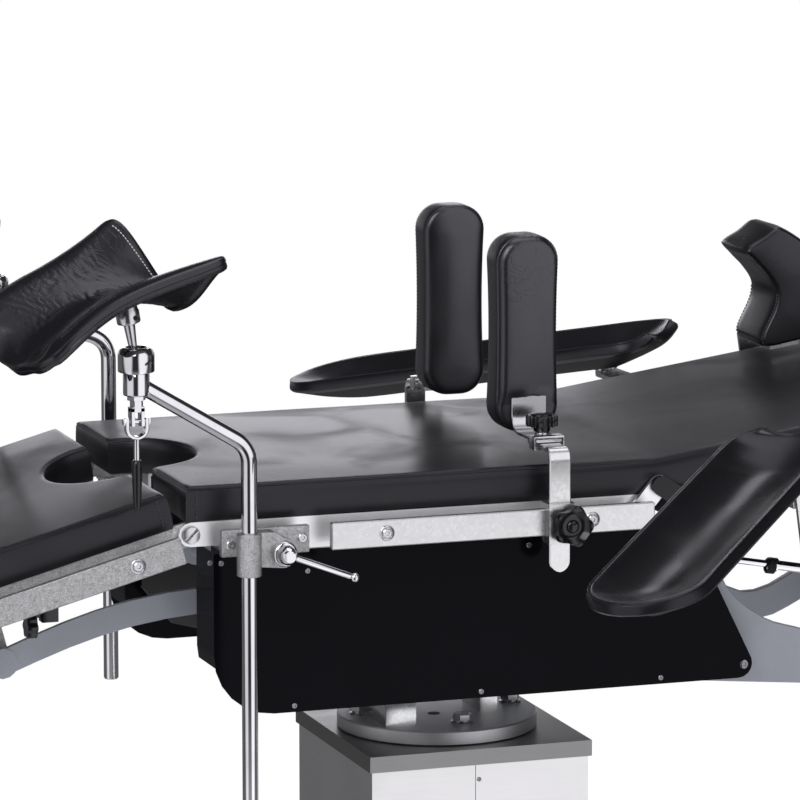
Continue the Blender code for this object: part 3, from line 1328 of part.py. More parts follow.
def crutch_socket(name, side):
    """Return the top centre of a crutch's socket."""
    turn = math.radians(CRUTCH_ARM_DEG[name])
    raised = CRUTCH_CORNER_Z + CRUTCH_RAISE[name]
    return Vector(
        (
            CRUTCH_X - CRUTCH_ARM_LENGTH * math.cos(turn),
            side * CRUTCH_OFFSET,
            raised + CRUTCH_ARM_LENGTH * math.sin(turn),
        )
    )


def make_crutch_post(name, side):
    """Make a bent post with its ball socket, cap and clevis."""
    corner = Vector((CRUTCH_X, side * CRUTCH_OFFSET, CRUTCH_CORNER_Z + CRUTCH_RAISE[name]))
    socket = crutch_socket(name, side)
    bottom = corner - Z_AXIS * CRUTCH_POST_LENGTH
    bar = rod(rounded_path((bottom, corner, socket), CRUTCH_BEND), CRUTCH_POST_RADIUS)
    low = socket - Z_AXIS * SOCKET_LENGTH / 2
    high = socket + Z_AXIS * SOCKET_LENGTH / 2
    body = cylinder(low, high + Z_AXIS * JOIN, SOCKET_RADIUS)
    cap_top = SOCKET_LENGTH / 2 + CAP_LENGTH
    shoulder = CAP_RADIUS - CAP_MOUTH
    profile = [(0, cap_top), (CAP_MOUTH, cap_top)]
    profile += [(CAP_MOUTH + x, cap_top - shoulder + z) for x, z in arc((0, 0), shoulder, 90, 0, 4)[1:]]
    profile += [(CAP_RADIUS, SOCKET_LENGTH / 2), (0, SOCKET_LENGTH / 2)]
    cap = moved(turned(profile), Matrix.Translation(socket))
    ball = ball_centre(name, side)
    mouth = cylinder(ball, ball + Z_AXIS * (CAP_LENGTH + OVERRUN), CAP_BORE / 2, CAP_BORE * 2)
    seat = cylinder(ball - Z_AXIS * (BALL_RADIUS + GAP), ball + Z_AXIS * BALL_RADIUS, BALL_RADIUS + JOIN)
    neck = cylinder(low - Z_AXIS * CLEVIS_NECK, low + Z_AXIS * JOIN, CLEVIS_NECK_RADIUS)
    half = Vector((CLEVIS_WIDTH / 2, CLEVIS_DEPTH / 2, 0))
    fork_top = low - Z_AXIS * (CLEVIS_NECK - JOIN)
    fork = block(fork_top - half - Z_AXIS * CLEVIS_HEIGHT, fork_top + half)
    slot_half = Vector((CLEVIS_SLOT / 2, CLEVIS_DEPTH, 0))
    slot_top = fork_top - Z_AXIS * BALL_LEVER_EYE
    slot = block(slot_top - slot_half - Z_AXIS * CLEVIS_HEIGHT, slot_top + slot_half)
    pivot = clevis_pivot(name, side)
    axle_half = Vector((CLEVIS_WIDTH / 2 - JOIN, 0, 0))
    axle = cylinder(pivot - axle_half, pivot + axle_half, CLEVIS_PIN_RADIUS)
    post = joined(bar, body, cap, neck, joined(cut(fork, slot), axle))
    part(f"crutch_post_{name}", "chrome", cut(post, joined(mouth, seat)), corner)


def ball_centre(name, side):
    """Return the centre of the ball joint inside a crutch's cap."""
    return crutch_socket(name, side) + Z_AXIS * (SOCKET_LENGTH / 2 + BALL_RADIUS / 2)


def clevis_pivot(name, side):
    """Return the centre of the cam lever's pin under a crutch's socket."""
    drop = SOCKET_LENGTH / 2 + CLEVIS_NECK + CLEVIS_HEIGHT * 2 / 3
    return crutch_socket(name, side) - Z_AXIS * drop


def make_ball_lever(name, side):
    """Make the hanging cam lever that locks the ball joint."""
    pivot = clevis_pivot(name, side)
    half = Vector((CLEVIS_SLOT / 2 - GAP, 0, 0))
    eye = cylinder(pivot - half, pivot + half, BALL_LEVER_EYE)
    hole = cylinder(pivot - 2 * half, pivot + 2 * half, CLEVIS_PIN_RADIUS + GAP)
    stem_end = pivot - Z_AXIS * BALL_LEVER_STEM
    stem = cylinder(pivot, stem_end - Z_AXIS * JOIN, BALL_LEVER_STEM_RADIUS)
    tip = stem_end - Z_AXIS * BALL_LEVER_GRIP
    grip = cylinder(tip, stem_end, BALL_LEVER_TIP_RADIUS, BALL_LEVER_GRIP_RADIUS)
    grip = bevelled(grip, BALL_LEVER_TIP_RADIUS / 2, 2)
    part(f"crutch_ball_lever_{name}", "chrome", joined(cut(joined(eye, stem), hole), grip), pivot)


# Knee gutters: one form for both, the far one turned round on its stem
GUTTER_LENGTH = 0.230
GUTTER_WIDTH = 0.216
GUTTER_DEPTH = 0.040
GUTTER_THICKNESS = 0.014
GUTTER_YAW_DEG = {"near": 11.0, "far": 169.0}
GUTTER_PITCH_DEG = {"near": 22.5, "far": 25.0}
GUTTER_AHEAD = {"near": 0.047, "far": -0.0925}
GUTTER_CELLS = (10, 10)
GUTTER_CREST_SHARE = 0.375
GUTTER_DROOP_SHARES = {"head": 1.125, "foot": 0.45}
GUTTER_RIM_SHARES = {"outer": 0.575, "inner": 0.80}
GUTTER_END_SHARES = {"outer_head": 0.70, "inner_head": 1.50, "outer_foot": -0.35, "inner_foot": 0.25}
GUTTER_EAR_SHARES = (0.20, 0.065)
GUTTER_POWERS = (3.4, 5.0, 3.0)


def trough(length, width, depth, cells, edge):
    """Return an open trough along X, with round corners in plan and rims that flare."""
    bm = bmesh.new()
    bmesh.ops.create_grid(bm, x_segments=cells[0], y_segments=cells[1], size=1)
    for vert in bm.verts:
        along, across = vert.co.x, vert.co.y
        edge(vert, along, across, length, width, depth)
    return from_bmesh(bm)


def gutter_edge(vert, along, across, length, width, depth):
    """Place a point of a knee gutter: a saddle with a high inner rim and a long outer ear."""
    plain, head_corner, foot_corner = GUTTER_POWERS
    corner = max(-across, 0)
    power = plain + (head_corner * max(along, 0) + foot_corner * max(-along, 0)) * corner
    reach = max(abs(along), abs(across))
    spread = (abs(along) ** power + abs(across) ** power) ** (1 / power)
    share = reach / spread if spread else 1
    along, across = along * share, across * share
    end, rim = "head" if along > 0 else "foot", "outer" if across < 0 else "inner"
    rise = math.sin(min(abs(across), 1) * math.pi * 5 / 9) ** 2
    ear = max(along, 0) ** 2 * max(-across, 0) ** 1.5
    raised = GUTTER_RIM_SHARES[rim] + GUTTER_END_SHARES[f"{rim}_{end}"] * along ** 2
    vert.co.x = length * (along / 2 + GUTTER_EAR_SHARES[0] * ear)
    vert.co.y = width * (across / 2 - GUTTER_EAR_SHARES[1] * ear)
    vert.co.z = depth * (GUTTER_CREST_SHARE - GUTTER_DROOP_SHARES[end] * along ** 2 + rise * raised)


def shell(shape, thickness):
    """Thicken an open surface downwards."""
    solid = shape.modifiers.new("shell", "SOLIDIFY")
    solid.thickness = thickness
    solid.offset = -1
    return settle(shape)


def make_gutter(name, side):
    """Make a knee gutter with its ball, stem and knuckle."""
    ball = ball_centre(name, side)
    lean = math.radians(STEM_LEAN_DEG[name])
    up = Vector((-math.sin(lean), 0, math.cos(lean)))
    top = ball + up * STEM_LENGTH
    sphere = bmesh.new()
    bmesh.ops.create_uvsphere(sphere, u_segments=10, v_segments=6, radius=BALL_RADIUS)
    sphere = moved(from_bmesh(sphere), Matrix.Translation(ball))
    stem = cylinder(ball, top + up * JOIN, STEM_RADIUS, STEM_TOP_RADIUS)
    knuckle_top = top + up * KNUCKLE_LENGTH
    knuckle = cylinder(top, knuckle_top + up * GUTTER_THICKNESS, KNUCKLE_RADIUS)
    surface = trough(GUTTER_LENGTH, GUTTER_WIDTH, GUTTER_DEPTH, GUTTER_CELLS, gutter_edge)
    surface = shell(surface, GUTTER_THICKNESS)
    yaw = Matrix.Rotation(math.radians(GUTTER_YAW_DEG[name]), 4, "Z")
    pitch = Matrix.Rotation(math.radians(-GUTTER_PITCH_DEG[name]), 4, "Y")
    back_off = Matrix.Translation((-GUTTER_AHEAD[name], 0, GUTTER_THICKNESS))
    surface = moved(surface, Matrix.Translation(knuckle_top) @ yaw @ pitch @ back_off)
    part(f"crutch_gutter_{name}", "black_vinyl", joined(surface, knuckle, stem, sphere), ball)


# Body supports
SUPPORT_X = {"near": 0.060, "far": 0.066}
SUPPORT_PAD_Y = 0.140
SUPPORT_PAD_HEIGHT = 0.240
SUPPORT_PAD_WIDTH = 0.082
SUPPORT_PAD_THICKNESS = 0.048
SUPPORT_PAD_LIFT = 0.025
SUPPORT_BAR_WIDTH = 0.027
SUPPORT_BAR_THICKNESS = 0.006
SUPPORT_BAR_DROP = 0.0442
SUPPORT_ARM_LIFT = 0.016
SUPPORT_ARM_THICKNESS = 0.004
SUPPORT_ARM_WIDTH = 0.046
SUPPORT_CLAMP_LENGTH = 0.034
SUPPORT_CLAMP_WALL = 0.008
SUPPORT_KNOB_RADIUS = 0.024
SUPPORT_KNOB_LENGTH = 0.016
SUPPORT_KNOB_LOBES = 5
SUPPORT_SCREW_RADIUS = 0.005
SUPPORT_SCREW_SHIFT = 0.006

SUPPORT_CLAMP_INNER = RAIL_INNER - SUPPORT_CLAMP_WALL
SUPPORT_CLAMP_OUTER = RAIL_REACH + GAP + SUPPORT_BAR_THICKNESS + GAP + SUPPORT_CLAMP_WALL
SUPPORT_BAR_INNER = RAIL_REACH + GAP
SUPPORT_BAR_OUTER = SUPPORT_BAR_INNER + SUPPORT_BAR_THICKNESS


def make_support_clamp(name, side):
    """Make the block that wraps the rail and the support's upright bar."""
    x = SUPPORT_X[name]
    half = SUPPORT_CLAMP_LENGTH / 2
    low = RAIL_BOTTOM - SUPPORT_CLAMP_WALL
    high = RAIL_TOP + SUPPORT_CLAMP_WALL
    body = side_block(side, SUPPORT_CLAMP_INNER, SUPPORT_CLAMP_OUTER, (x - half, low), (x + half, high))
    channel = side_block(
        side,
        RAIL_INNER - GAP,
        SUPPORT_BAR_INNER,
        (x - half - OVERRUN, RAIL_BOTTOM - GAP),
        (x + half + OVERRUN, RAIL_TOP + GAP),
    )
    throat = side_block(
        side,
        SUPPORT_CLAMP_INNER - OVERRUN,
        RAIL_INNER + JOIN,
        (x - half - OVERRUN, low - OVERRUN),
        (x + half + OVERRUN, RAIL_MIDDLE),
    )
    bar_half = SUPPORT_BAR_WIDTH / 2 + GAP
    slot = side_block(
        side,
        SUPPORT_BAR_INNER - JOIN,
        SUPPORT_BAR_OUTER + GAP,
        (x - bar_half, low - OVERRUN),
        (x + bar_half, high + OVERRUN),
    )
    screw_x = x + SUPPORT_SCREW_SHIFT
    start = (screw_x, side * SUPPORT_BAR_OUTER, RAIL_MIDDLE)
    end = (screw_x, side * (SUPPORT_CLAMP_OUTER + OVERRUN), RAIL_MIDDLE)
    hole = cylinder(start, end, SUPPORT_SCREW_RADIUS + GAP)
    clamp = cut(body, channel, throat, slot, hole)
    part(f"support_clamp_{name}", "rail_steel", clamp, (x, side * RAIL_REACH, RAIL_MIDDLE))


def make_support_knob(name, side):
    """Make the lobed knob with its screw."""
    x = SUPPORT_X[name] + SUPPORT_SCREW_SHIFT
    start = Vector((x, side * (SUPPORT_CLAMP_OUTER + GAP), RAIL_MIDDLE))
    out = Vector((0, side, 0))
    outline = []
    steps = SUPPORT_KNOB_LOBES * 4
    for step in range(steps):
        angle = 2 * math.pi * step / steps
        reach = SUPPORT_KNOB_RADIUS * (1 - (1 - math.cos(angle * SUPPORT_KNOB_LOBES)) / 12)
        outline.append((x + reach * math.cos(angle), RAIL_MIDDLE + reach * math.sin(angle)))
    inner = SUPPORT_CLAMP_OUTER + GAP
    head = plate(outline, *span(side, inner + SUPPORT_KNOB_LENGTH / 3, inner + SUPPORT_KNOB_LENGTH))
    hub = cylinder(start, start + out * SUPPORT_KNOB_LENGTH / 2, SUPPORT_KNOB_RADIUS / 2)
    depth = SUPPORT_CLAMP_WALL - JOIN
    screw = cylinder(start - out * depth, start + out * JOIN, SUPPORT_SCREW_RADIUS)
    part(f"support_knob_{name}", "black_plastic", joined(head, hub, screw), start)


def make_support_bar(name, side):
    """Make the upright bar that turns in over the mattress."""
    x = SUPPORT_X[name]
    half = SUPPORT_BAR_WIDTH / 2
    top = TABLE_HEIGHT + SUPPORT_ARM_LIFT
    foot = RAIL_BOTTOM - SUPPORT_BAR_DROP + half
    outline = arc((x, foot), half, 180, 360, 8) + [(x + half, top), (x - half, top)]
    upright = plate(outline, *span(side, SUPPORT_BAR_INNER, SUPPORT_BAR_OUTER))
    shelf = side_block(
        side,
        PAD_SIDE,
        SUPPORT_BAR_OUTER,
        (x - half, top - SUPPORT_BAR_THICKNESS / 2),
        (x + half, top + SUPPORT_BAR_THICKNESS / 2),
    )
    part(f"support_bar_{name}", "rail_steel", joined(upright, shelf), (x, side * SUPPORT_BAR_OUTER, top))


def make_support_bracket(name, side):
    """Make the angle bracket that carries a support pad over the mattress."""
    x = SUPPORT_X[name]
    half = SUPPORT_ARM_WIDTH / 2
    low = TABLE_HEIGHT + SUPPORT_ARM_LIFT + SUPPORT_BAR_THICKNESS / 2 + GAP
    high = low + SUPPORT_ARM_THICKNESS
    plate_y = SUPPORT_PAD_Y + SUPPORT_PAD_THICKNESS / 2
    flat = side_block(side, plate_y, SUPPORT_BAR_OUTER, (x - half, low), (x + half, high))
    upright = side_block(
        side,
        plate_y,
        plate_y + SUPPORT_ARM_THICKNESS,
        (x - half, low),
        (x + half, low + SUPPORT_PAD_HEIGHT / 3),
    )
    part(f"support_bracket_{name}", "rail_steel", joined(flat, upright), (x, side * SUPPORT_BAR_OUTER, low))


def make_support_pad(name, side):
    """Make an upright pad with rounded ends, slightly waisted."""
    x = SUPPORT_X[name]
    half_w, half_t = SUPPORT_PAD_WIDTH / 2, SUPPORT_PAD_THICKNESS / 2
    low = TABLE_HEIGHT + SUPPORT_PAD_LIFT
    middle = Vector((x, side * SUPPORT_PAD_Y, low + SUPPORT_PAD_HEIGHT / 2))
    outline = []
    steps = 24
    for step in range(steps):
        angle = 2 * math.pi * (step + 1 / 2) / steps
        c, s = math.cos(angle), math.sin(angle)
        across = math.copysign(abs(c) ** (1 / 2), c) * half_w
        up = math.copysign(abs(s) ** (3 / 4), s) * SUPPORT_PAD_HEIGHT / 2
        waist = 1 - (1 - (up / (SUPPORT_PAD_HEIGHT / 2)) ** 2) / 16
        outline.append((x + across * waist, middle.z + up))
    inner = SUPPORT_PAD_Y - half_t
    outer = SUPPORT_PAD_Y + half_t - GAP
    pad = plate(outline, *span(side, inner, outer))
    pad = bevelled(pad, half_t / 2, 2)
    part(f"support_pad_{name}", "black_vinyl", pad, middle)


# Arm rests
ARM_ALONG = {"near": 0.130, "far": 0.259}
ARM_HEIGHT = {"near": 0.066, "far": 0.047}
ARM_SIDE = {"near": 0.3748, "far": 0.3880}
ARM_YAW_DEG = 47.2
ARM_PITCH_DEG = 5.4
ARM_LENGTH = 0.568
ARM_WIDTH = 0.140
ARM_TROUGH = 0.026
ARM_THICKNESS = 0.016
ARM_CELLS = (12, 6)
ARM_STRAIGHT_SHARE = 0.5
ARM_ROUND_SHARE = 0.86
ARM_PIVOT_SHARE = 0.16
ARM_BAR_WIDTH = 0.030
ARM_BAR_THICKNESS = 0.006
ARM_BAR_DROP = 0.060
ARM_CLAMP_AHEAD = {"near": 0.175, "far": 0.210}
ARM_CLAMP_LENGTH = 0.036
ARM_CLAMP_WALL = 0.008
ARM_STUD_RADIUS = 0.007
ARM_STUD_GAP = 0.004


def arm_matrix(name, side):
    """Return the place of an arm rest: its inner end centre, with -X along the pad."""
    place = BACK_HINGE + Vector((ARM_ALONG[name], side * ARM_SIDE[name], ARM_HEIGHT[name]))
    yaw = Matrix.Rotation(math.radians(-side * ARM_YAW_DEG), 4, "Z")
    pitch = Matrix.Rotation(math.radians(-ARM_PITCH_DEG), 4, "Y")
    return Matrix.Translation(place) @ yaw @ pitch


def arm_edge(vert, along, across, length, width, depth):
    """Place a point of an arm pad: a long trough with a round outer end."""
    round_share = width / 2 / length
    swing = math.pi / 2 * ARM_ROUND_SHARE
    if along < -ARM_STRAIGHT_SHARE:
        turn = swing * (-along - ARM_STRAIGHT_SHARE) / (1 - ARM_STRAIGHT_SHARE)
        narrow = math.cos(turn)
        share = 1 - round_share + round_share * math.sin(turn)
    elif along > ARM_STRAIGHT_SHARE:
        turn = swing * (along - ARM_STRAIGHT_SHARE) / (1 - ARM_STRAIGHT_SHARE)
        narrow = (1 + math.cos(turn)) / 2
        share = round_share * (1 - math.sin(turn)) / 2
    else:
        narrow = 1
        passed = (ARM_STRAIGHT_SHARE - along) / 2 / ARM_STRAIGHT_SHARE
        share = round_share / 2 + (1 - round_share * 3 / 2) * passed
    vert.co.x = -length * share
    vert.co.y = width / 2 * across * narrow
    vert.co.z = -depth * (1 - across ** 2) * narrow


def arm_pivot(name, side):
    """Return the swivel of an arm rest, under its pad."""
    drop = ARM_TROUGH + ARM_THICKNESS + ARM_STUD_GAP
    return arm_matrix(name, side) @ Vector((-ARM_LENGTH * ARM_PIVOT_SHARE, 0, -drop))


def make_arm_rest(name, side, back):
    """Make an arm rest's pad, and the bar that clamps it to the back rail."""
    matrix = arm_matrix(name, side)
    surface = trough(ARM_LENGTH, ARM_WIDTH, ARM_TROUGH, ARM_CELLS, arm_edge)
    pad = moved(shell(surface, ARM_THICKNESS), matrix)
    pivot = arm_pivot(name, side)
    stud_top = pivot + Z_AXIS * (ARM_STUD_GAP + ARM_THICKNESS)
    stud = cylinder(pivot - Z_AXIS * ARM_BAR_THICKNESS, stud_top, ARM_STUD_RADIUS)
    part(f"arm_rest_pad_{name}", "black_vinyl", joined(pad, stud), pivot, back)
    x = BACK_HINGE_X + ARM_CLAMP_AHEAD[name]
    half = ARM_CLAMP_LENGTH / 2
    outer = RAIL_REACH + GAP + ARM_CLAMP_WALL
    low = RAIL_BOTTOM - ARM_CLAMP_WALL
    high = RAIL_TOP + ARM_CLAMP_WALL
    clamp = side_block(side, RAIL_INNER - ARM_CLAMP_WALL, outer, (x - half, low), (x + half, high))
    channel = side_block(
        side,
        RAIL_INNER - GAP,
        RAIL_REACH + GAP,
        (x - half - OVERRUN, RAIL_BOTTOM - GAP),
        (x + half + OVERRUN, RAIL_TOP + GAP),
    )
    throat = side_block(
        side,
        RAIL_INNER - ARM_CLAMP_WALL - OVERRUN,
        RAIL_INNER + JOIN,
        (x - half - OVERRUN, low - OVERRUN),
        (x + half + OVERRUN, RAIL_MIDDLE),
    )
    clamp = cut(clamp, channel, throat)
    bar_top = pivot.z - GAP
    bar_half = ARM_BAR_WIDTH / 2
    upright = side_block(
        side,
        outer - JOIN,
        outer + ARM_BAR_THICKNESS,
        (x - bar_half, low - ARM_BAR_DROP),
        (x + bar_half, bar_top - ARM_BAR_THICKNESS / 2),
    )
    start = Vector((x, side * (outer + ARM_BAR_THICKNESS / 2), 0))
    end = Vector((pivot.x, pivot.y, 0))
    reach = (end - start).length
    angle = math.degrees(math.atan2(end.y - start.y, end.x - start.x))
    outline = arc((reach, 0), bar_half, -90, 90, 8) + [(0, bar_half), (0, -bar_half)]
    arm = plate(outline, bar_top - ARM_BAR_THICKNESS, bar_top, "Z")
    arm = moved(arm, Matrix.Translation(start) @ Matrix.Rotation(math.radians(angle), 4, "Z"))
    hole = cylinder(
        (pivot.x, pivot.y, bar_top - OVERRUN), (pivot.x, pivot.y, bar_top + OVERRUN), ARM_STUD_RADIUS + GAP
    )
    bar = cut(joined(clamp, upright, arm), hole)
    part(f"arm_rest_bar_{name}", "rail_steel", bar, (x, side * outer, RAIL_MIDDLE), back)


# Shoulder rests
SHOULDER_AHEAD = 0.345
SHOULDER_SIDE = 0.190
SHOULDER_HEIGHT = 0.1535
SHOULDER_WIDTH = 0.110
SHOULDER_DEPTH = 0.100
SHOULDER_ROUND = 0.006
SHOULDER_LIFT = 0.012
SHOULDER_SHARES = (
    (-0.30, 0.00), (0.20, 0.00), (0.39, 0.04), (0.55, 0.25), (0.57, 0.51), (0.526, 0.713),
    (0.284, 0.90), (0.04, 1.00), (-0.20, 0.945), (-0.462, 0.863), (-0.36, 0.75), (-0.229, 0.631),
    (-0.119, 0.482), (-0.16, 0.341), (-0.366, 0.135), (-0.39, 0.05),
)
SHOULDER_PLATE = 0.005
SHOULDER_PLATE_WIDTH = 0.040


def make_shoulder_rest(name, side, back):
    """Make a shoulder pad hollowed towards the shoulder, and its rail bracket."""
    x = BACK_HINGE_X + SHOULDER_AHEAD
    low_z = TABLE_HEIGHT + SHOULDER_LIFT
    half_w = SHOULDER_WIDTH / 2
    outline = [(x + SHOULDER_DEPTH * ahead, low_z + SHOULDER_HEIGHT * up) for ahead, up in SHOULDER_SHARES]
    faces = (side * SHOULDER_SIDE - half_w, side * SHOULDER_SIDE + half_w)
    pad = plate(outline, *faces, "Y", SHOULDER_ROUND, 2)
    part(f"shoulder_rest_{name}", "black_vinyl", pad, (x, side * SHOULDER_SIDE, low_z), back)
    half = SHOULDER_PLATE_WIDTH / 2
    top = low_z - GAP
    outer = RAIL_REACH + GAP + SHOULDER_PLATE
    inner = SHOULDER_SIDE - half_w / 2
    shelf = side_block(side, inner, outer, (x - half, top - SHOULDER_PLATE), (x + half, top))
    upright = side_block(side, RAIL_REACH + GAP, outer, (x - half, RAIL_BOTTOM), (x + half, top))
    part(
        f"shoulder_bracket_{name}",
        "rail_steel",
        joined(shelf, upright),
        (x, side * outer, top),
        back,
    )


def make_table():
    """Make every sub-part of the table."""
    leg = pivot_empty("leg_hinge", LEG_HINGE, math.radians(-LEG_DROOP_DEG))
    back = pivot_empty("back_hinge", BACK_HINGE, math.radians(-BACK_RISE_DEG))
    head = pivot_empty("head_hinge", HEAD_HINGE, 0.0, back)
    make_base()
    make_column_shells()
    make_lift()
    make_tilt_cross()
    make_pedal()
    make_main_frame()
    make_back_strut()
    make_side_covers()
    make_control_box()
    make_pads(leg, back, head)
    make_seat_tray()
    make_leg_tray(leg)
    make_back_tray(back)
    make_head_tray(head)
    make_rails(leg, back)
    make_leg_link()
    for name, side in SIDES:
        make_crutch_clamp(name, side)
        make_clamp_lever(name, side)
        make_crutch_post(name, side)
        make_ball_lever(name, side)
        make_gutter(name, side)
        make_support_clamp(name, side)
        make_support_knob(name, side)
        make_support_bar(name, side)
        make_support_bracket(name, side)
        make_support_pad(name, side)
        make_arm_rest(name, side, back)
        make_shoulder_rest(name, side, back)


make_table()
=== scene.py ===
"""Dress a hydraulic operating table in vinyl, brushed steel, chrome and gloss black.

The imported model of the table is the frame. Every length is in metres, with +X towards the
head end, -Y the near side and +Z up. Run it in Blender 4.5.
"""

import json
import math

import bmesh
import bpy
from bpy.props import FloatProperty, FloatVectorProperty, IntProperty, PointerProperty
from mathutils import Matrix, Vector, noise


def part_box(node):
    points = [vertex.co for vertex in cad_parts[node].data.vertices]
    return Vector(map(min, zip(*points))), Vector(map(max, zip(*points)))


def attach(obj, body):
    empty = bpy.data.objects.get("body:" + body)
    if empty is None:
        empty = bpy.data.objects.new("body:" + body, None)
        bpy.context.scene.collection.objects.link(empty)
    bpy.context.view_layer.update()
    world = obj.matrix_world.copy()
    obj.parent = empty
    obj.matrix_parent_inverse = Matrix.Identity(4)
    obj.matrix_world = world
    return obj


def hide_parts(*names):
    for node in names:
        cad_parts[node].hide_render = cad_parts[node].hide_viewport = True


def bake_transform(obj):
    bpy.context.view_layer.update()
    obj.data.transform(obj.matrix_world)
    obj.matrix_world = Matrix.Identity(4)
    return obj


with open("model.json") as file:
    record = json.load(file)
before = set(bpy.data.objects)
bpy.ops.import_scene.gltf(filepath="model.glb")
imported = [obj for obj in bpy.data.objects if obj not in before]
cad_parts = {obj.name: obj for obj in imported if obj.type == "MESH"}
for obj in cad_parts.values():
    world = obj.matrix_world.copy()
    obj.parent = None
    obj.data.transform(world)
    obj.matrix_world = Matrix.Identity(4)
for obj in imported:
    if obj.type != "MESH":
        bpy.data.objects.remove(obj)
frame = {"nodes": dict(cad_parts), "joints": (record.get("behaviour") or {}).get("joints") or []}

bl_info = {
    "name": "Operating table dressing",
    "version": (1, 0, 0),
    "blender": (4, 5, 0),
    "location": "View3D > Sidebar > Table",
    "description": "Adds cushions, fittings and finishes to a hydraulic operating table",
    "category": "Object",
}

JOINTS = {joint["name"]: joint for joint in frame["joints"]}
SIDES = (("near", -1), ("far", 1))
X, Y, Z = Vector((1, 0, 0)), Vector((0, 1, 0)), Vector((0, 0, 1))
TINY = 0.00001
SHARP_ANGLE = math.radians(38)
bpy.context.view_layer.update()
LEG_HINGE = Vector(JOINTS["leg_hinge"]["pos_m"])
BACK_HINGE = Vector(JOINTS["back_hinge"]["pos_m"])
LEG_DROOP = math.radians(15)
BACK_RISE = math.radians(8)


def turned_about(place, angle):
    """Return the matrix of a turn about a crosswise hinge that lifts the head side."""
    turn = Matrix.Rotation(-angle, 4, "Y")
    return Matrix.Translation(place) @ turn @ Matrix.Translation(-place)


LEG_MATRIX = turned_about(LEG_HINGE, LEG_DROOP)
BACK_MATRIX = turned_about(BACK_HINGE, BACK_RISE)


class TableCushionSettings(bpy.types.PropertyGroup):
    """Sizes and colours of the upholstery."""

    vinyl: FloatVectorProperty(
        name="Vinyl", description="Colour of the vinyl",
        subtype="COLOR", size=3, default=(0.0062, 0.0061, 0.0078),
    )
    thread: FloatVectorProperty(
        name="Thread", description="Colour of the pale thread",
        subtype="COLOR", size=3, default=(0.62, 0.62, 0.60),
    )
    crown: FloatProperty(
        name="Crown", description="Rise of the mattress in its middle", default=0.003, unit="LENGTH",
    )
    piping: FloatProperty(
        name="Piping", description="Radius of the piping round an arm pad", default=0.0010, unit="LENGTH",
    )
    stitch: FloatProperty(
        name="Stitch", description="Length of one stitch", default=0.0032, unit="LENGTH",
    )


class TableMetalSettings(bpy.types.PropertyGroup):
    """Colours of the metal parts and the panels."""

    stainless: FloatVectorProperty(
        name="Stainless", description="Colour of brushed sheet",
        subtype="COLOR", size=3, default=(0.60, 0.595, 0.59),
    )
    zinc: FloatVectorProperty(
        name="Zinc", description="Colour of the plated rails",
        subtype="COLOR", size=3, default=(0.66, 0.665, 0.66),
    )
    chrome: FloatVectorProperty(
        name="Chrome", description="Colour of polished metal",
        subtype="COLOR", size=3, default=(0.78, 0.78, 0.80),
    )
    paint: FloatVectorProperty(
        name="Paint", description="Colour of the painted frame",
        subtype="COLOR", size=3, default=(0.285, 0.300, 0.335),
    )
    panel: FloatVectorProperty(
        name="Panel", description="Colour of the side covers",
        subtype="COLOR", size=3, default=(0.0028, 0.0026, 0.0040),
    )
    sides: IntProperty(
        name="Sides", description="Facets of a round rod", default=36, min=12,
    )


class TableStageSettings(bpy.types.PropertyGroup):
    """Camera and light of the stage."""

    azimuth: FloatProperty(
        name="Azimuth", description="Side that the camera stands on",
        default=math.radians(-19.02), unit="ROTATION",
    )
    pitch: FloatProperty(
        name="Pitch", description="How far the camera looks down",
        default=math.radians(9.79), unit="ROTATION",
    )
    focal: FloatProperty(
        name="Focal length", description="Focal length of the lens in millimetres", default=250.76,
    )
    place: FloatVectorProperty(
        name="Place", description="Where the camera stands",
        subtype="XYZ", size=3, default=(-2.266, -6.4323, 1.9674),
    )
    key: FloatProperty(
        name="Key light", description="Power of the large lamp in watts", default=42.0,
    )
    fill: FloatProperty(
        name="World light", description="Strength of the light from all round", default=0.66,
    )


def settings(kind):
    """Return one of the scene's groups of settings."""
    return getattr(bpy.context.scene, f"table_{kind}")


# Building shader trees

def feed(tree, value, socket):
    """Link a socket to what feeds it, or set its plain value."""
    if isinstance(value, bpy.types.NodeSocket):
        tree.links.new(value, socket)
    else:
        socket.default_value = value


def add_node(tree, kind, **values):
    """Add a node; names with a capital are its sockets, the others its properties."""
    made = tree.nodes.new("ShaderNode" + kind)
    for label, value in values.items():
        if label[0].isupper():
            feed(tree, value, made.inputs[label.replace("_", " ")])
        else:
            setattr(made, label, value)
    return made


def worked_out(tree, kind, operation, *values):
    """Return a maths node that is fed in order with numbers, vectors or sockets."""
    made = add_node(tree, kind, operation=operation)
    for value, socket in zip(values, made.inputs):
        feed(tree, value, socket)
    return made


def times(tree, first, second):
    """Return the product of two numbers or sockets."""
    return worked_out(tree, "Math", "MULTIPLY", first, second).outputs[0]


def plus(tree, first, second):
    """Return the sum of two numbers or sockets."""
    return worked_out(tree, "Math", "ADD", first, second).outputs[0]


def less(tree, first, second):
    """Return the first of two numbers or sockets less the second."""
    return worked_out(tree, "Math", "SUBTRACT", first, second).outputs[0]


def ramp(tree, value, low, high):
    """Return a value rescaled softly from a low and high limit to 0 and 1."""
    step = add_node(
        tree, "MapRange", interpolation_type="SMOOTHSTEP", Value=value, From_Min=low, From_Max=high
    )
    return step.outputs["Result"]


def mix_value(tree, factor, low, high):
    """Return a number that goes from low to high by a factor socket."""
    return add_node(tree, "MapRange", Value=factor, To_Min=low, To_Max=high).outputs["Result"]


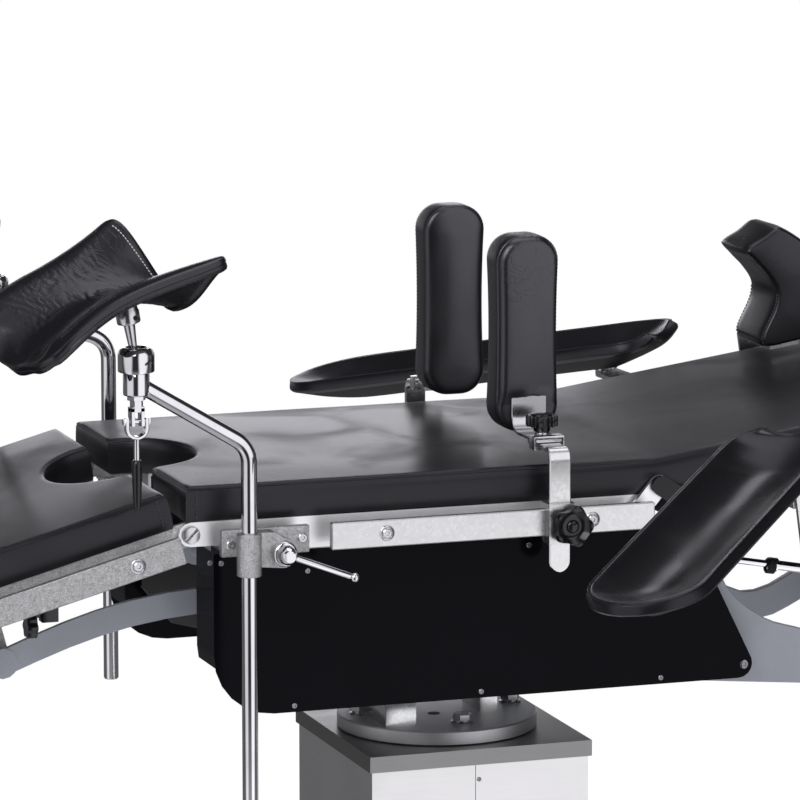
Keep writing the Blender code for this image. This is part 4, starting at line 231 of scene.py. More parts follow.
def mix_colour(tree, factor, first, second):
    """Return a colour that goes from the first to the second by a factor socket."""
    mix = add_node(tree, "Mix", data_type="RGBA")
    tree.links.new(factor, mix.inputs[0])
    for slot, colour in ((6, first), (7, second)):
        feed(tree, colour if isinstance(colour, bpy.types.NodeSocket) else (*colour, 1), mix.inputs[slot])
    return mix.outputs[2]


def object_place(tree):
    """Return the object's own coordinates."""
    return add_node(tree, "TexCoord").outputs["Object"]


def noise_value(tree, place, scale, detail, **values):
    """Return a soft noise at a place."""
    made = add_node(tree, "TexNoise", Scale=scale, Detail=detail, Vector=place, **values)
    return made.outputs["Fac"]


# Node groups that several finishes share

def new_group(name, inputs, outputs):
    """Return a new shader group with its input and output nodes."""
    group = bpy.data.node_groups.new(name, "ShaderNodeTree")
    for label, value in inputs.items():
        kind = "NodeSocketFloat" if isinstance(value, float) else "NodeSocketVector"
        group.interface.new_socket(label, in_out="INPUT", socket_type=kind).default_value = value
    for label in outputs:
        group.interface.new_socket(label, in_out="OUTPUT", socket_type="NodeSocketFloat")
    return group, group.nodes.new("NodeGroupInput").outputs, group.nodes.new("NodeGroupOutput").inputs


def scaled(tree, place, factor):
    """Return a place times a factor socket."""
    return add_node(tree, "VectorMath", operation="SCALE", Vector=place, Scale=factor).outputs["Vector"]


def build_vinyl_grain():
    """Build the pebbled grain and fine creases of upholstery vinyl."""
    group, given, out = new_group(
        "vinyl_grain", {"Scale": 1.0, "Crease": 0.5, "Pebble": 0.5}, ("Height", "Mask")
    )
    place = scaled(group, object_place(group), given["Scale"])
    pebble = add_node(group, "TexVoronoi", feature="SMOOTH_F1", Scale=620.0, Vector=place)
    warp = add_node(group, "TexNoise", Scale=9.0, Detail=3.0, Distortion=1.2, Vector=place)
    bent = worked_out(group, "VectorMath", "MULTIPLY_ADD", warp.outputs["Color"], (0.1, 0.1, 0.1), place)
    cells = add_node(
        group, "TexVoronoi", feature="DISTANCE_TO_EDGE", Scale=64.0, Vector=bent.outputs["Vector"]
    )
    patches = noise_value(group, place, 5.0, 2.0)
    lines = less(group, 1.0, ramp(group, cells.outputs["Distance"], 0.0, 0.10))
    creased = times(group, times(group, lines, ramp(group, patches, 0.48, 0.66)), given["Crease"])
    grain = times(group, pebble.outputs["Distance"], given["Pebble"])
    feed(group, less(group, grain, creased), out["Height"])
    feed(group, patches, out["Mask"])
    return group


def build_brushing():
    """Build the fine parallel scratches of brushed sheet metal."""
    group, given, out = new_group(
        "brushing", {"Scale": 1.0, "Stretch": (1.0, 1.0, 60.0)}, ("Height", "Mask")
    )
    stretched = worked_out(group, "VectorMath", "MULTIPLY", object_place(group), given["Stretch"])
    place = scaled(group, stretched.outputs["Vector"], given["Scale"])
    fine = noise_value(group, place, 30.0, 6.0, Roughness=0.7)
    broad = noise_value(group, place, 6.0, 3.0)
    feed(group, fine, out["Height"])
    feed(group, times(group, fine, broad), out["Mask"])
    return group


def build_spangle():
    """Build the mottled flakes of a plated, lightly peened surface."""
    group, given, out = new_group("spangle", {"Scale": 1.0}, ("Height", "Mask"))
    place = scaled(group, object_place(group), given["Scale"])
    flake = add_node(group, "TexVoronoi", feature="F1", Scale=260.0, Vector=place)
    cloud = noise_value(group, place, 34.0, 6.0, Roughness=0.65)
    grit = noise_value(group, place, 420.0, 2.0)
    shade = add_node(group, "SeparateColor", Color=flake.outputs["Color"])
    speck = times(group, shade.outputs[0], grit)
    feed(group, plus(group, times(group, speck, 0.7), times(group, cloud, 0.6)), out["Mask"])
    feed(group, plus(group, grit, cloud), out["Height"])
    return group


def build_wear():
    """Build a mask of rubbed outer edges and one of faint dust and smears."""
    group, given, out = new_group("wear", {"Edge": 0.0012, "Scale": 1.0}, ("Edges", "Smears"))
    soft = add_node(group, "Bevel", samples=4, Radius=given["Edge"]).outputs["Normal"]
    hard = add_node(group, "NewGeometry").outputs["Normal"]
    turn = worked_out(group, "VectorMath", "DOT_PRODUCT", soft, hard).outputs["Value"]
    edge = ramp(group, less(group, 1.0, turn), 0.01, 0.22)
    place = scaled(group, object_place(group), given["Scale"])
    breakup = noise_value(group, place, 70.0, 4.0)
    smear = noise_value(group, place, 3.2, 5.0, Distortion=0.8)
    feed(group, times(group, edge, ramp(group, breakup, 0.35, 0.62)), out["Edges"])
    feed(group, ramp(group, smear, 0.42, 0.72), out["Smears"])
    return group


GROUP_BUILDERS = {
    "vinyl_grain": build_vinyl_grain,
    "brushing": build_brushing,
    "spangle": build_spangle,
    "wear": build_wear,
}


def place_group(tree, name, **values):
    """Place a shared group, built on first use, and return what it puts out."""
    group = bpy.data.node_groups.get(name) or GROUP_BUILDERS[name]()
    return add_node(tree, "Group", node_tree=group, **values).outputs


# Finishes

VINYL_TINT = (0.95, 0.94, 1.0, 1.0)
UPRIGHT_BRUSHING = (1.0, 1.0, 70.0)
CAP_BRUSHING = (1.0, 60.0, 60.0)
TRAY_BRUSHING = (1.0, 40.0, 40.0)
CROSSWISE_BRUSHING = (30.0, 1.0, 1.0)
DARK_TONE = (0.004, 0.004, 0.005)
TONE_SPLIT = -0.15
TONE_FADE_SHARE = 0.004


def new_finish(name, **sockets):
    """Return a new material and its node tree, with some sockets of its shader set."""
    made = bpy.data.materials.new(name)
    made.use_nodes = True
    for label, value in sockets.items():
        made.node_tree.nodes["Principled BSDF"].inputs[label.replace("_", " ")].default_value = value
    return made, made.node_tree


def lighter(colour, factor):
    """Return a colour times a factor."""
    return tuple(min(part * factor, 1.0) for part in colour)


def complete(made, base, rough, height=None, relief=0.0):
    """Feed the colour, the roughness and the relief of a finish into its shader."""
    tree = made.node_tree
    shader = tree.nodes["Principled BSDF"]
    tree.links.new(base, shader.inputs["Base Color"])
    tree.links.new(rough, shader.inputs["Roughness"])
    if height is not None:
        bump = add_node(tree, "Bump", Distance=relief, Height=height)
        tree.links.new(bump.outputs["Normal"], shader.inputs["Normal"])
    return made


def vinyl_finish(name, rough, crease, pebble, gloss):
    """Make black upholstery vinyl with grain, creases and rubbed edges."""
    colour = settings("cushions").vinyl
    made, tree = new_finish(name, Specular_IOR_Level=gloss, Specular_Tint=VINYL_TINT)
    grain = place_group(tree, "vinyl_grain", Scale=1.0, Crease=crease, Pebble=pebble)
    wear = place_group(tree, "wear", Edge=0.0016, Scale=2.0)
    base = mix_colour(tree, grain["Mask"], lighter(colour, 0.7), lighter(colour, 1.4))
    base = mix_colour(tree, wear["Edges"], base, lighter(colour, 2.6))
    smeared = mix_value(tree, wear["Smears"], rough - 0.05, rough + 0.07)
    return complete(made, base, smeared, grain["Height"], 0.00022)


def metal_finish(name, colour, rough, stretch, relief):
    """Make brushed metal with its scratches across the stretched directions."""
    made, tree = new_finish(name, Metallic=1.0)
    brushed = place_group(tree, "brushing", Scale=1.0, Stretch=stretch)
    wear = place_group(tree, "wear", Edge=0.0010, Scale=1.6)
    base = mix_colour(tree, brushed["Mask"], lighter(colour, 1.05), lighter(colour, 0.90))
    base = mix_colour(tree, wear["Edges"], base, lighter(colour, 1.35))
    uneven = plus(tree, brushed["Height"], wear["Smears"])
    smeared = mix_value(tree, uneven, rough - 0.06, rough + 0.06)
    return complete(made, base, smeared, brushed["Height"], relief)


def zinc_finish(name, colour, rough, contrast, relief, fineness):
    """Make plated steel with mottled flakes of a given contrast."""
    made, tree = new_finish(name, Metallic=1.0)
    flakes = place_group(tree, "spangle", Scale=fineness)
    wear = place_group(tree, "wear", Edge=0.0010, Scale=1.0)
    base = mix_colour(tree, flakes["Mask"], lighter(colour, 1 - contrast), lighter(colour, 1 + contrast))
    base = mix_colour(tree, wear["Edges"], base, lighter(colour, 0.7))
    mottled = mix_value(tree, flakes["Mask"], rough + 0.08, rough - 0.08)
    return complete(made, base, mottled, flakes["Height"], relief)


def chrome_finish(name, colour, rough):
    """Make polished plating with faint wipe marks."""
    made, tree = new_finish(name, Metallic=1.0)
    wear = place_group(tree, "wear", Edge=0.0008, Scale=6.0)
    base = mix_colour(tree, wear["Smears"], colour, lighter(colour, 0.90))
    return complete(made, base, mix_value(tree, wear["Smears"], rough, rough + 0.07))


def paint_finish(name, colour, rough, orange_peel=0.00012, gloss=0.5, chips=1.5):
    """Make sprayed paint with orange peel, faint smears and lighter edges."""
    made, tree = new_finish(name, Specular_IOR_Level=gloss)
    wear = place_group(tree, "wear", Edge=0.0012, Scale=2.2)
    peel = noise_value(tree, object_place(tree), 240.0, 2.0)
    base = mix_colour(tree, wear["Smears"], colour, lighter(colour, 1.12))
    base = mix_colour(tree, wear["Edges"], base, lighter(colour, chips))
    smeared = mix_value(tree, wear["Smears"], rough, rough + 0.08)
    return complete(made, base, smeared, peel, orange_peel)


def split_finish(name, colour, rough, dark, node, split):
    """Make the frame's paint, which is dark on the leg side of a split along the table."""
    made = paint_finish(name, colour, rough)
    tree = made.node_tree
    painted = tree.nodes["Principled BSDF"].inputs["Base Color"]
    low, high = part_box(node)
    share = (split - low[0]) / (high[0] - low[0])
    place = add_node(tree, "TexCoord").outputs["Generated"]
    along = add_node(tree, "SeparateXYZ", Vector=place).outputs["X"]
    ahead = ramp(tree, along, share + TONE_FADE_SHARE, share - TONE_FADE_SHARE)
    tree.links.new(mix_colour(tree, ahead, painted.links[0].from_socket, dark), painted)
    return made


def thread_finish(name, colour):
    """Make twisted sewing thread."""
    made, tree = new_finish(name, Specular_IOR_Level=0.2)
    place = object_place(tree)
    twist = add_node(tree, "TexWave", Scale=900.0, Distortion=1.0, Vector=place).outputs["Fac"]
    base = mix_colour(tree, twist, lighter(colour, 0.75), colour)
    return complete(made, base, mix_value(tree, twist, 0.6, 0.8))


def finish_recipes():
    """Return the maker of each finish and the values it is given after the name."""
    metal = settings("metal")
    stainless, zinc, chrome, paint = metal.stainless, metal.zinc, metal.chrome, metal.paint
    return {
        "mattress_vinyl": (vinyl_finish, 0.34, 0.30, 0.45, 0.42),
        "smooth_vinyl": (vinyl_finish, 0.31, 0.10, 0.14, 0.40),
        "pad_vinyl": (vinyl_finish, 0.34, 0.50, 0.30, 1.0),
        "creased_vinyl": (vinyl_finish, 0.31, 0.60, 0.26, 0.62),
        "grey_shell": (paint_finish, (0.16, 0.165, 0.185), 0.38, 0.00006, 0.4, 1.3),
        "pale_thread": (thread_finish, settings("cushions").thread),
        "dark_thread": (thread_finish, (0.085, 0.085, 0.092)),
        "column_steel": (metal_finish, lighter(stainless, 1.30), 0.32, UPRIGHT_BRUSHING, 0.00002),
        "cap_steel": (metal_finish, lighter(stainless, 0.42), 0.28, CAP_BRUSHING, 0.00002),
        # painted light: the seat tray's steel is raised to white so that its strip, which lies in the rail's
        # shade, still looks bright
        "tray_steel": (metal_finish, lighter(stainless, 2.0), 0.36, TRAY_BRUSHING, 0.00002),
        # painted shade: the steel of the back and head trays is made nearly black, the look of steel lying
        # in shade
        "shaded_steel": (metal_finish, (0.035, 0.035, 0.037), 0.30, TRAY_BRUSHING, 0.00002),
        "rail_zinc": (zinc_finish, lighter(zinc, 1.08), 0.30, 0.05, 0.00003, 1.0),
        "hammered_zinc": (zinc_finish, lighter(zinc, 0.98), 0.30, 0.80, 0.00070, 3.6),
        "bracket_zinc": (zinc_finish, lighter(zinc, 1.12), 0.24, 0.06, 0.00003, 1.0),
        "chrome_plate": (chrome_finish, chrome, 0.045),
        "screw_steel": (chrome_finish, lighter(chrome, 0.8), 0.20),
        "dark_screw": (chrome_finish, lighter(chrome, 0.34), 0.25),
        "dark_bolt": (chrome_finish, lighter(chrome, 0.55), 0.22),
        "frame_paint": (paint_finish, paint, 0.30),
        "split_paint": (split_finish, paint, 0.30, DARK_TONE, "main_frame", TONE_SPLIT),
        "cast_paint": (paint_finish, (0.30, 0.305, 0.31), 0.42, 0.0004),
        "flange_steel": (metal_finish, (0.52, 0.52, 0.53), 0.42, CROSSWISE_BRUSHING, 0.00004),
        "gloss_panel": (paint_finish, metal.panel, 0.13, 0.00001, 0.05, 2.5),
        "knob_plastic": (paint_finish, (0.006, 0.006, 0.008), 0.16, 0.00002, 0.5, 2.0),
        "dark_rubber": (paint_finish, (0.014, 0.014, 0.015), 0.62, 0.0005, 0.3, 1.6),
    }


FINISHES = {}


def finish(name):
    """Return a finish by name, making them all on first use."""
    if not FINISHES:
        FINISHES.update({made: maker(made, *values) for made, (maker, *values) in finish_recipes().items()})
    return FINISHES[name]


def both(*names):
    """Return the near and the far node of each name."""
    return tuple(f"{name}_{side}" for name in names for side in dict(SIDES))


CAD_FINISHES = {
    # the seat tray's steel carries painted light that makes up for the rail's shade
    "tray_steel": ("seat_tray",),
    # the back and head trays' steel is painted shade, nearly black
    "shaded_steel": ("back_tray", "head_tray"),
    "column_steel": ("column_shell_left", "column_shell_right", "base_cover"),
    "cap_steel": ("column_cap",),
    "cast_paint": ("base_casting", "lift_cylinder", "tilt_cross"),
    "flange_steel": ("top_flange",),
    "split_paint": ("main_frame",),
    "frame_paint": ("control_box", "leg_link"),
    "gloss_panel": both("side_cover"),
    "chrome_plate": ("lift_ram", "crank_handle", "back_strut_tube", "back_strut_rod"),
    "rail_zinc": ("pump_pedal", *both("seat_rail", "back_rail", "arm_rest_bar", "support_clamp")),
    "hammered_zinc": ("leg_tray", *both("leg_rail", "crutch_clamp")),
    "bracket_zinc": both("support_bar", "support_bracket", "shoulder_bracket"),
}
EDGE_ROUNDING = 0.0009
EDGE_ANGLE = math.radians(40)


def dress_cad_node(name, look):
    """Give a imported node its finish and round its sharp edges."""
    node = frame["nodes"][name]
    node.data.materials.clear()
    node.data.materials.append(finish(look))
    soft = node.modifiers.new("edges", "BEVEL")
    soft.width = EDGE_ROUNDING
    soft.segments = 2
    soft.limit_method = "ANGLE"
    soft.angle_limit = EDGE_ANGLE
    soft.harden_normals = True


# Mesh helpers

HEX_SIDES, PIN_SIDES, SCREW_SIDES, ROUND_SIDES = 6, 20, 24, 32
STRIP_CORNER = 0.22


def piece(name, bm, look, body, matrix=None, join=TINY):
    """Turn a mesh being built into a finished piece that rides on a body."""
    bmesh.ops.remove_doubles(bm, verts=bm.verts, dist=join)
    bmesh.ops.recalc_face_normals(bm, faces=bm.faces)
    mesh = bpy.data.meshes.new(name)
    bm.to_mesh(mesh)
    bm.free()
    if matrix is not None:
        mesh.transform(matrix)
    mesh.shade_smooth()
    mesh.set_sharp_from_angle(angle=SHARP_ANGLE)
    mesh.materials.append(finish(look))
    made = bpy.data.objects.new(name, mesh)
    bpy.context.scene.collection.objects.link(made)
    if body:
        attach(made, body)
    return made


def link_rings(bm, rings):
    """Fill between rings of points; a ring of one point makes a cap."""
    for first, second in zip(rings, rings[1:]):
        count = max(len(first), len(second))
        for step in range(count):
            after = (step + 1) % count
            corners = [first[step % len(first)], first[after % len(first)]]
            corners += [second[after % len(second)], second[step % len(second)]]
            unique = list(dict.fromkeys(corners))
            if len(unique) > 2:
                bm.faces.new(unique)


def polar(reach, angle):
    """Return the two coordinates of a point at a distance and an angle."""
    return reach * math.cos(angle), reach * math.sin(angle)


def add_turned(bm, profile, place, axis, sides):
    """Add a turned shape from (radius, height) points, about an axis through a place."""
    turn = axis.to_track_quat("Z", "Y").to_matrix()
    rings = []
    for radius, height in profile:
        count = sides if radius > TINY else 1
        ring = []
        for step in range(count):
            angle = 2 * math.pi * step / count
            ring.append(bm.verts.new(Vector(place) + turn @ Vector((*polar(radius, angle), height))))
        rings.append(ring)
    link_rings(bm, rings)


def disc(radius, low, high):
    """Return the profile of a plain round disc or rod with flat ends."""
    return [(0, low), (radius, low), (radius, high), (0, high)]


def add_tube(bm, points, radius, sides, closed=False, taper=None):
    """Add a round bar along points, with flat ends when it is open."""
    points = [Vector(point) for point in points]
    count = len(points)
    rings = []
    normal = None
    for step, point in enumerate(points):
        before = points[step - 1] if step or closed else point
        after = points[(step + 1) % count] if step < count - 1 or closed else point
        along = (after - before).normalized()
        if normal is None:
            normal = along.orthogonal().normalized()
        normal = (normal - along * normal.dot(along)).normalized()
        across = along.cross(normal)
        reach = radius * (taper(step / (count - 1)) if taper else 1)
        ring = []
        for turn in range(sides):
            out, up = polar(1, 2 * math.pi * turn / sides)
            ring.append(bm.verts.new(point + reach * (normal * out + across * up)))
        rings.append(ring)
    link_rings(bm, rings)
    if closed:
        link_rings(bm, [rings[-1], rings[0]])
    else:
        bm.faces.new(rings[0])
        bm.faces.new(rings[-1][::-1])


def add_strip(bm, path, half_widths, thickness, across):
    """Add a flat bar that follows a path, with its long edges cut off."""
    path = [Vector(point) for point in path]
    rings = []
    corner = thickness * STRIP_CORNER
    for step, point in enumerate(path):
        along = (path[min(step + 1, len(path) - 1)] - path[max(step - 1, 0)]).normalized()
        normal = along.cross(across).normalized()
        half, deep = half_widths[step], thickness / 2
        spots = [(half - corner, deep), (half, deep - corner), (half, corner - deep), (half - corner, -deep)]
        spots += [(-a, b) for a, b in reversed(spots)]
        rings.append([bm.verts.new(point + across * a + normal * b) for a, b in spots])
    link_rings(bm, rings)
    bm.faces.new(rings[0][::-1])
    bm.faces.new(rings[-1])


def merge(bm, other, matrix):
    """Move another mesh being built into this one, by a matrix if there is one."""
    scratch = bpy.data.meshes.new("scratch")
    other.to_mesh(scratch)
    other.free()
    if matrix is not None:
        scratch.transform(matrix)
    bm.from_mesh(scratch)
    bpy.data.meshes.remove(scratch)


def add_block(bm, low, high, bevel):
    """Add a box between two corners with rounded edges."""
    low, high = Vector(low), Vector(high)
    box = bmesh.new()
    bmesh.ops.create_cube(box, size=1)
    size = Matrix.Translation((low + high) / 2) @ Matrix.Diagonal((*(high - low), 1))
    bmesh.ops.transform(box, matrix=size, verts=box.verts)
    bmesh.ops.bevel(box, geom=box.edges, offset=bevel, segments=2, affect="EDGES", profile=0.5)
    merge(bm, box, None)


def add_prism(bm, outline, low, high, matrix, bevel):
    """Add a flat outline in X and Y, raised from low to high, with rounded rims."""
    solid = bmesh.new()
    lower = [solid.verts.new((x, y, low)) for x, y in outline]
    upper = [solid.verts.new((x, y, high)) for x, y in outline]
    link_rings(solid, [lower, upper])
    rims = [solid.faces.new(lower[::-1]), solid.faces.new(upper)]
    bmesh.ops.recalc_face_normals(solid, faces=solid.faces)
    edges = list(dict.fromkeys(edge for face in rims for edge in face.edges))
    bmesh.ops.bevel(solid, geom=edges, offset=bevel, segments=2, affect="EDGES", profile=0.5)
    merge(bm, solid, matrix)


def facing(place, axis):
    """Return the matrix that stands a shape made along Z on a place, along an axis."""
    return Matrix.Translation(Vector(place)) @ axis.to_track_quat("Z", "Y").to_matrix().to_4x4()


def arc_points(radius, start, end, steps, centre=(0, 0)):
    """Return points on an arc given in degrees."""
    angles = [math.radians(start + (end - start) * step / steps) for step in range(steps + 1)]
    return [(centre[0] + x, centre[1] + y) for x, y in (polar(radius, angle) for angle in angles)]


def smooth_loop(points, steps):
    """Return a smooth closed curve through some points."""
    points = [Vector(point) for point in points]
    count = len(points)
    path = []
    for span in range(count):
        a, b, c, d = (points[(span + shift) % count] for shift in (-1, 0, 1, 2))
        for step in range(steps):
            t = step / steps
            straight = b * 2 + (c - a) * t
            bent = (a * 2 - b * 5 + c * 4 - d) * t ** 2 + (b * 3 - a - c * 3 + d) * t ** 3
            path.append((straight + bent) / 2)
    return path


# Sewn sheets

STITCH_SHARES = (-1, -0.6, 0.6, 1)
STITCH_SIDES = 6
STITCH_TAPER = 0.45
SHARPEST_MITRE = 0.55


def spaced(points, gap, closed):
    """Return places and directions every gap along a line of points."""
    points = list(points) + ([points[0]] if closed else [])
    found = []
    left = gap / 2
    for start, end in zip(points, points[1:]):
        length = (end - start).length
        if length < TINY:
            continue
        along = (end - start) / length
        while left <= length:
            found.append((start + along * left, along))
            left += gap
        left -= length
    return found


def add_stitches(bm, points, radius, gap, closed=False):
    """Add short thread stitches along a line of points."""
    length = settings("cushions").stitch
    for place, along in spaced(points, length + gap, closed):
        half = along * length / 2
        steps = [place + half * share for share in STITCH_SHARES]
        add_tube(bm, steps, radius, STITCH_SIDES, taper=lambda share: STITCH_TAPER if share in (0, 1) else 1)


def add_sheet(bm, columns, rows, place):
    """Add a sheet, facing up, whose points come from two shares between -1 and 1."""
    grid = [
        [bm.verts.new(place(2 * i / columns - 1, 2 * j / rows - 1)) for j in range(rows + 1)]
        for i in range(columns + 1)
    ]
    for first, second in zip(grid, grid[1:]):
        for j in range(rows):
            bm.faces.new((first[j], second[j], second[j + 1], first[j + 1]))
    face_up(bm)


def face_up(bm):
    """Turn a sheet's faces so that they look up."""
    bm.normal_update()
    if sum(face.normal.z for face in bm.faces) < 0:
        bmesh.ops.reverse_faces(bm, faces=bm.faces)


def boundary_loops(bm):
    """Return each open edge of a sheet as an ordered list of its points."""
    waiting = dict.fromkeys(edge for edge in bm.edges if len(edge.link_faces) == 1)
    loops = []
    while waiting:
        edge = next(iter(waiting))
        del waiting[edge]
        loop = list(edge.verts)
        while True:
            step = next((e for e in loop[-1].link_edges if e in waiting), None)
            if step is None:
                break
            del waiting[step]
            loop.append(step.other_vert(loop[-1]))
        loops.append(loop[:-1])
    return loops


def outward(vert):
    """Return the direction out of a sheet at a point of its edge, mitred at a corner."""
    found = []
    for edge in vert.link_edges:
        if len(edge.link_faces) == 1:
            along = (edge.verts[1].co - edge.verts[0].co).normalized()
            away = (edge.verts[0].co + edge.verts[1].co) / 2 - edge.link_faces[0].calc_center_median()
            found.append((away - along * away.dot(along)).normalized())
    total = sum(found, Vector())
    return total / max(1 + found[0].dot(found[-1]), SHARPEST_MITRE)


def close_sheet(bm, profile):
    """Pad a sheet with side rings by (out, down) steps and a back; return the rings' places."""
    bm.normal_update()
    loops = boundary_loops(bm)
    tops = list(bm.verts)
    faces = list(bm.faces)
    out = {vert: outward(vert) for loop in loops for vert in loop}
    normal = {vert: vert.normal.copy() for vert in tops}
    last_reach, depth = profile[-1]
    back = {}
    for vert in tops:
        shift = out[vert] * last_reach if vert in out else Vector()
        back[vert] = bm.verts.new(vert.co + shift - normal[vert] * depth)
    paths = []
    for loop in loops:
        rings = [loop]
        for reach, drop in profile[:-1]:
            rings.append([bm.verts.new(v.co + out[v] * reach - normal[v] * drop) for v in loop])
        rings.append([back[v] for v in loop])
        link_rings(bm, rings)
        paths.append([[vert.co.copy() for vert in ring] for ring in rings])
    for face in faces:
        made = bm.faces.new([back[vert] for vert in reversed(face.verts)])
        made.material_index = 1 if all(vert not in out for vert in face.verts) else 0
    return paths


# Screw heads

SLOT_SHARE, SLOT_STEPS, SLOT_ROUNDING = 0.11, 16, 0.3
SCREW_SOCKET = ((0, 0.35), (0.40, 0.35), (0.46, 1))
SCREW_RIM = ((0.46, 1), (0.82, 1), (1, 0.62), (1, 0))
BOLT_HEAD = ((0, 1), (0.86, 1), (1, 0.82), (1, 0))


def add_head(bm, shares, place, axis, radius, height, sides):
    """Add a turned head from shares of its radius and its height."""
    add_turned(bm, [(radius * wide, height * high) for wide, high in shares], place, axis, sides)


def add_screw(bm, place, axis, radius, height):
    """Add a round screw head with a six-sided socket."""
    add_head(bm, SCREW_SOCKET, place, axis, radius, height, HEX_SIDES)
    add_head(bm, SCREW_RIM, place, axis, radius, height, SCREW_SIDES)


def add_slotted_head(bm, place, axis, radius, height, turn):
    """Add a round head as two halves with a driver slot between them."""
    gap = math.degrees(math.asin(SLOT_SHARE))
    matrix = facing(place, axis) @ Matrix.Rotation(turn, 4, "Z")
    for half in (0, 180):
        outline = arc_points(radius, half + gap, half + 180 - gap, SLOT_STEPS)
        add_prism(bm, outline, 0, height, matrix, height * SLOT_ROUNDING)


def add_hex_bolt(bm, place, axis, radius, height):
    """Add a six-sided bolt head with a chamfered top."""
    add_head(bm, BOLT_HEAD, place, axis, radius, height, HEX_SIDES)


# Mattress

MATTRESS = {
    "seat_back": (-0.3986, 0.8385, True, False),
    "leg": (-0.9295, -0.4095, False, True),
    "head": (0.8410, 1.0890, False, False),
}
MATTRESS_TOP = 0.7497
MATTRESS_HALF = 0.240
OVAL = (0.080, 0.095)
OVAL_STEPS = 12
EDGE_REACH = 0.0106
EDGE_PROFILE = (
    (0.0035, 0.0), (0.0065, 0.0003), (0.0088, 0.0015), (0.0098, 0.0032), (0.0093, 0.0043),
    (0.0102, 0.0056), (0.0106, 0.0140), (0.0108, 0.0225), (0.0106, 0.0310), (0.0102, 0.0400),
    (0.0092, 0.0435), (0.0060, 0.0448),
)
MATTRESS_STEP = 0.018
MATTRESS_COLUMNS = 12
CROWN_REACH = 0.12
WAVE_HEIGHT = 0.0006
CORNER_SEAM_INSET = 0.013
CORNER_SEAM_DEPTHS = (0.006, 0.041)
CORNER_SEAM_LIFT = 0.0002
CORNER_THREAD = (0.0006, 0.0018)
BEND_REACH = 0.022


def mattress_stations(low, high, cut_low, cut_high):
    """Return places along a cushion, close together round an oval cut-out."""
    depth = OVAL[0] + EDGE_REACH
    first = math.asin(EDGE_REACH / depth)
    turns = [first + (math.pi / 2 - first) * step / OVAL_STEPS for step in range(OVAL_STEPS)]
    round_part = [depth * math.sin(turn) for turn in turns]
    start = low + (depth if cut_low else EDGE_REACH)
    end = high - (depth if cut_high else EDGE_REACH)
    count = round((end - start) / MATTRESS_STEP)
    stations = [start + (end - start) * step / count for step in range(count + 1)]
    before = [low + part for part in round_part] if cut_low else []
    after = [high - part for part in reversed(round_part)] if cut_high else []
    return before + stations + after


def oval_inner(x, low, high, cut_low, cut_high):
    """Return how far the oval cut-out reaches from the middle at a place along a cushion."""
    depth, width = OVAL[0] + EDGE_REACH, OVAL[1] + EDGE_REACH
    away = x - low if cut_low else high - x if cut_high else depth
    return width * math.sqrt(max(1 - (away / depth) ** 2, 0)) if away < depth - TINY else 0.0


def mattress_shape(low, high, cut_low, cut_high):
    """Build one cushion, level and unbent."""
    bm = bmesh.new()
    crown = settings("cushions").crown
    half = MATTRESS_HALF - EDGE_REACH
    rows = []
    for x in mattress_stations(low, high, cut_low, cut_high):
        inner = oval_inner(x, low, high, cut_low, cut_high)
        ends = min(x - low, high - x) / CROWN_REACH
        row = []
        for side in (-1, 1):
            line = []
            for step in range(MATTRESS_COLUMNS + 1):
                y = side * (inner + (half - inner) * step / MATTRESS_COLUMNS)
                dip = max(abs(y) / MATTRESS_HALF, 1 - ends) ** 4 * crown
                wave = noise.noise(Vector((x * 7, y * 9, 3.1))) * WAVE_HEIGHT * min(ends, 1)
                line.append(bm.verts.new((x, y, MATTRESS_TOP - dip + wave)))
            row.append(line)
        rows.append(row)
    for first, second in zip(rows, rows[1:]):
        for side in (0, 1):
            for step in range(MATTRESS_COLUMNS):
                a, b = first[side][step:step + 2]
                c, d = second[side][step:step + 2]
                bm.faces.new((a, b, d, c))
    bmesh.ops.remove_doubles(bm, verts=bm.verts, dist=TINY)
    bmesh.ops.recalc_face_normals(bm, faces=bm.faces)
    face_up(bm)
    close_sheet(bm, EDGE_PROFILE)
    return bm


def corner_seams(low, high):
    """Build the short upright seams of stitches at a cushion's corners."""
    bm = bmesh.new()
    for x in (low + CORNER_SEAM_INSET, high - CORNER_SEAM_INSET):
        for side in (-1, 1):
            y = side * (MATTRESS_HALF + CORNER_SEAM_LIFT)
            line = [Vector((x, y, MATTRESS_TOP - depth)) for depth in CORNER_SEAM_DEPTHS]
            add_stitches(bm, line, *CORNER_THREAD)
    return bm


def bend_back(bm):
    """Raise the part of a mesh beyond the back hinge by the rest angle of the back."""
    for vert in bm.verts:
        share = min(max((vert.co.x - BACK_HINGE.x) / BEND_REACH / 2 + 0.5, 0), 1)
        share = share * share * (3 - 2 * share)
        vert.co = turned_about(BACK_HINGE, BACK_RISE * share) @ vert.co


def make_seat_back(shape, seams):
    """Make the long cushion of the seat and back, which bends over the back hinge."""
    bend_back(shape)
    bend_back(seams)
    cushion = piece("mattress_seat_back", shape, "mattress_vinyl", None)
    thread = piece("seams_seat_back", seams, "dark_thread", None)
    for made in (cushion, thread):
        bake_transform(made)
    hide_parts("seat_pad", "back_pad")
    return cushion


def make_end_cushion(name, shape, seams, body, matrix):
    """Make the cushion of the leg or the head section."""
    cushion = piece(f"mattress_{name}", shape, "mattress_vinyl", body, matrix)
    piece(f"seams_{name}", seams, "dark_thread", body, matrix)
    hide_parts(f"{name}_pad")
    return cushion


def make_mattress():
    """Make the three cushions of the table top with their corner seams."""
    riding = {"leg": ("leg_section", LEG_MATRIX), "head": ("head_section", BACK_MATRIX)}
    for name, (low, high, cut_low, cut_high) in MATTRESS.items():
        shape = mattress_shape(low, high, cut_low, cut_high)
        seams = corner_seams(low, high)
        if name in riding:
            cushion = make_end_cushion(name, shape, seams, *riding[name])
        else:
            cushion = make_seat_back(shape, seams)


# Knee crutches

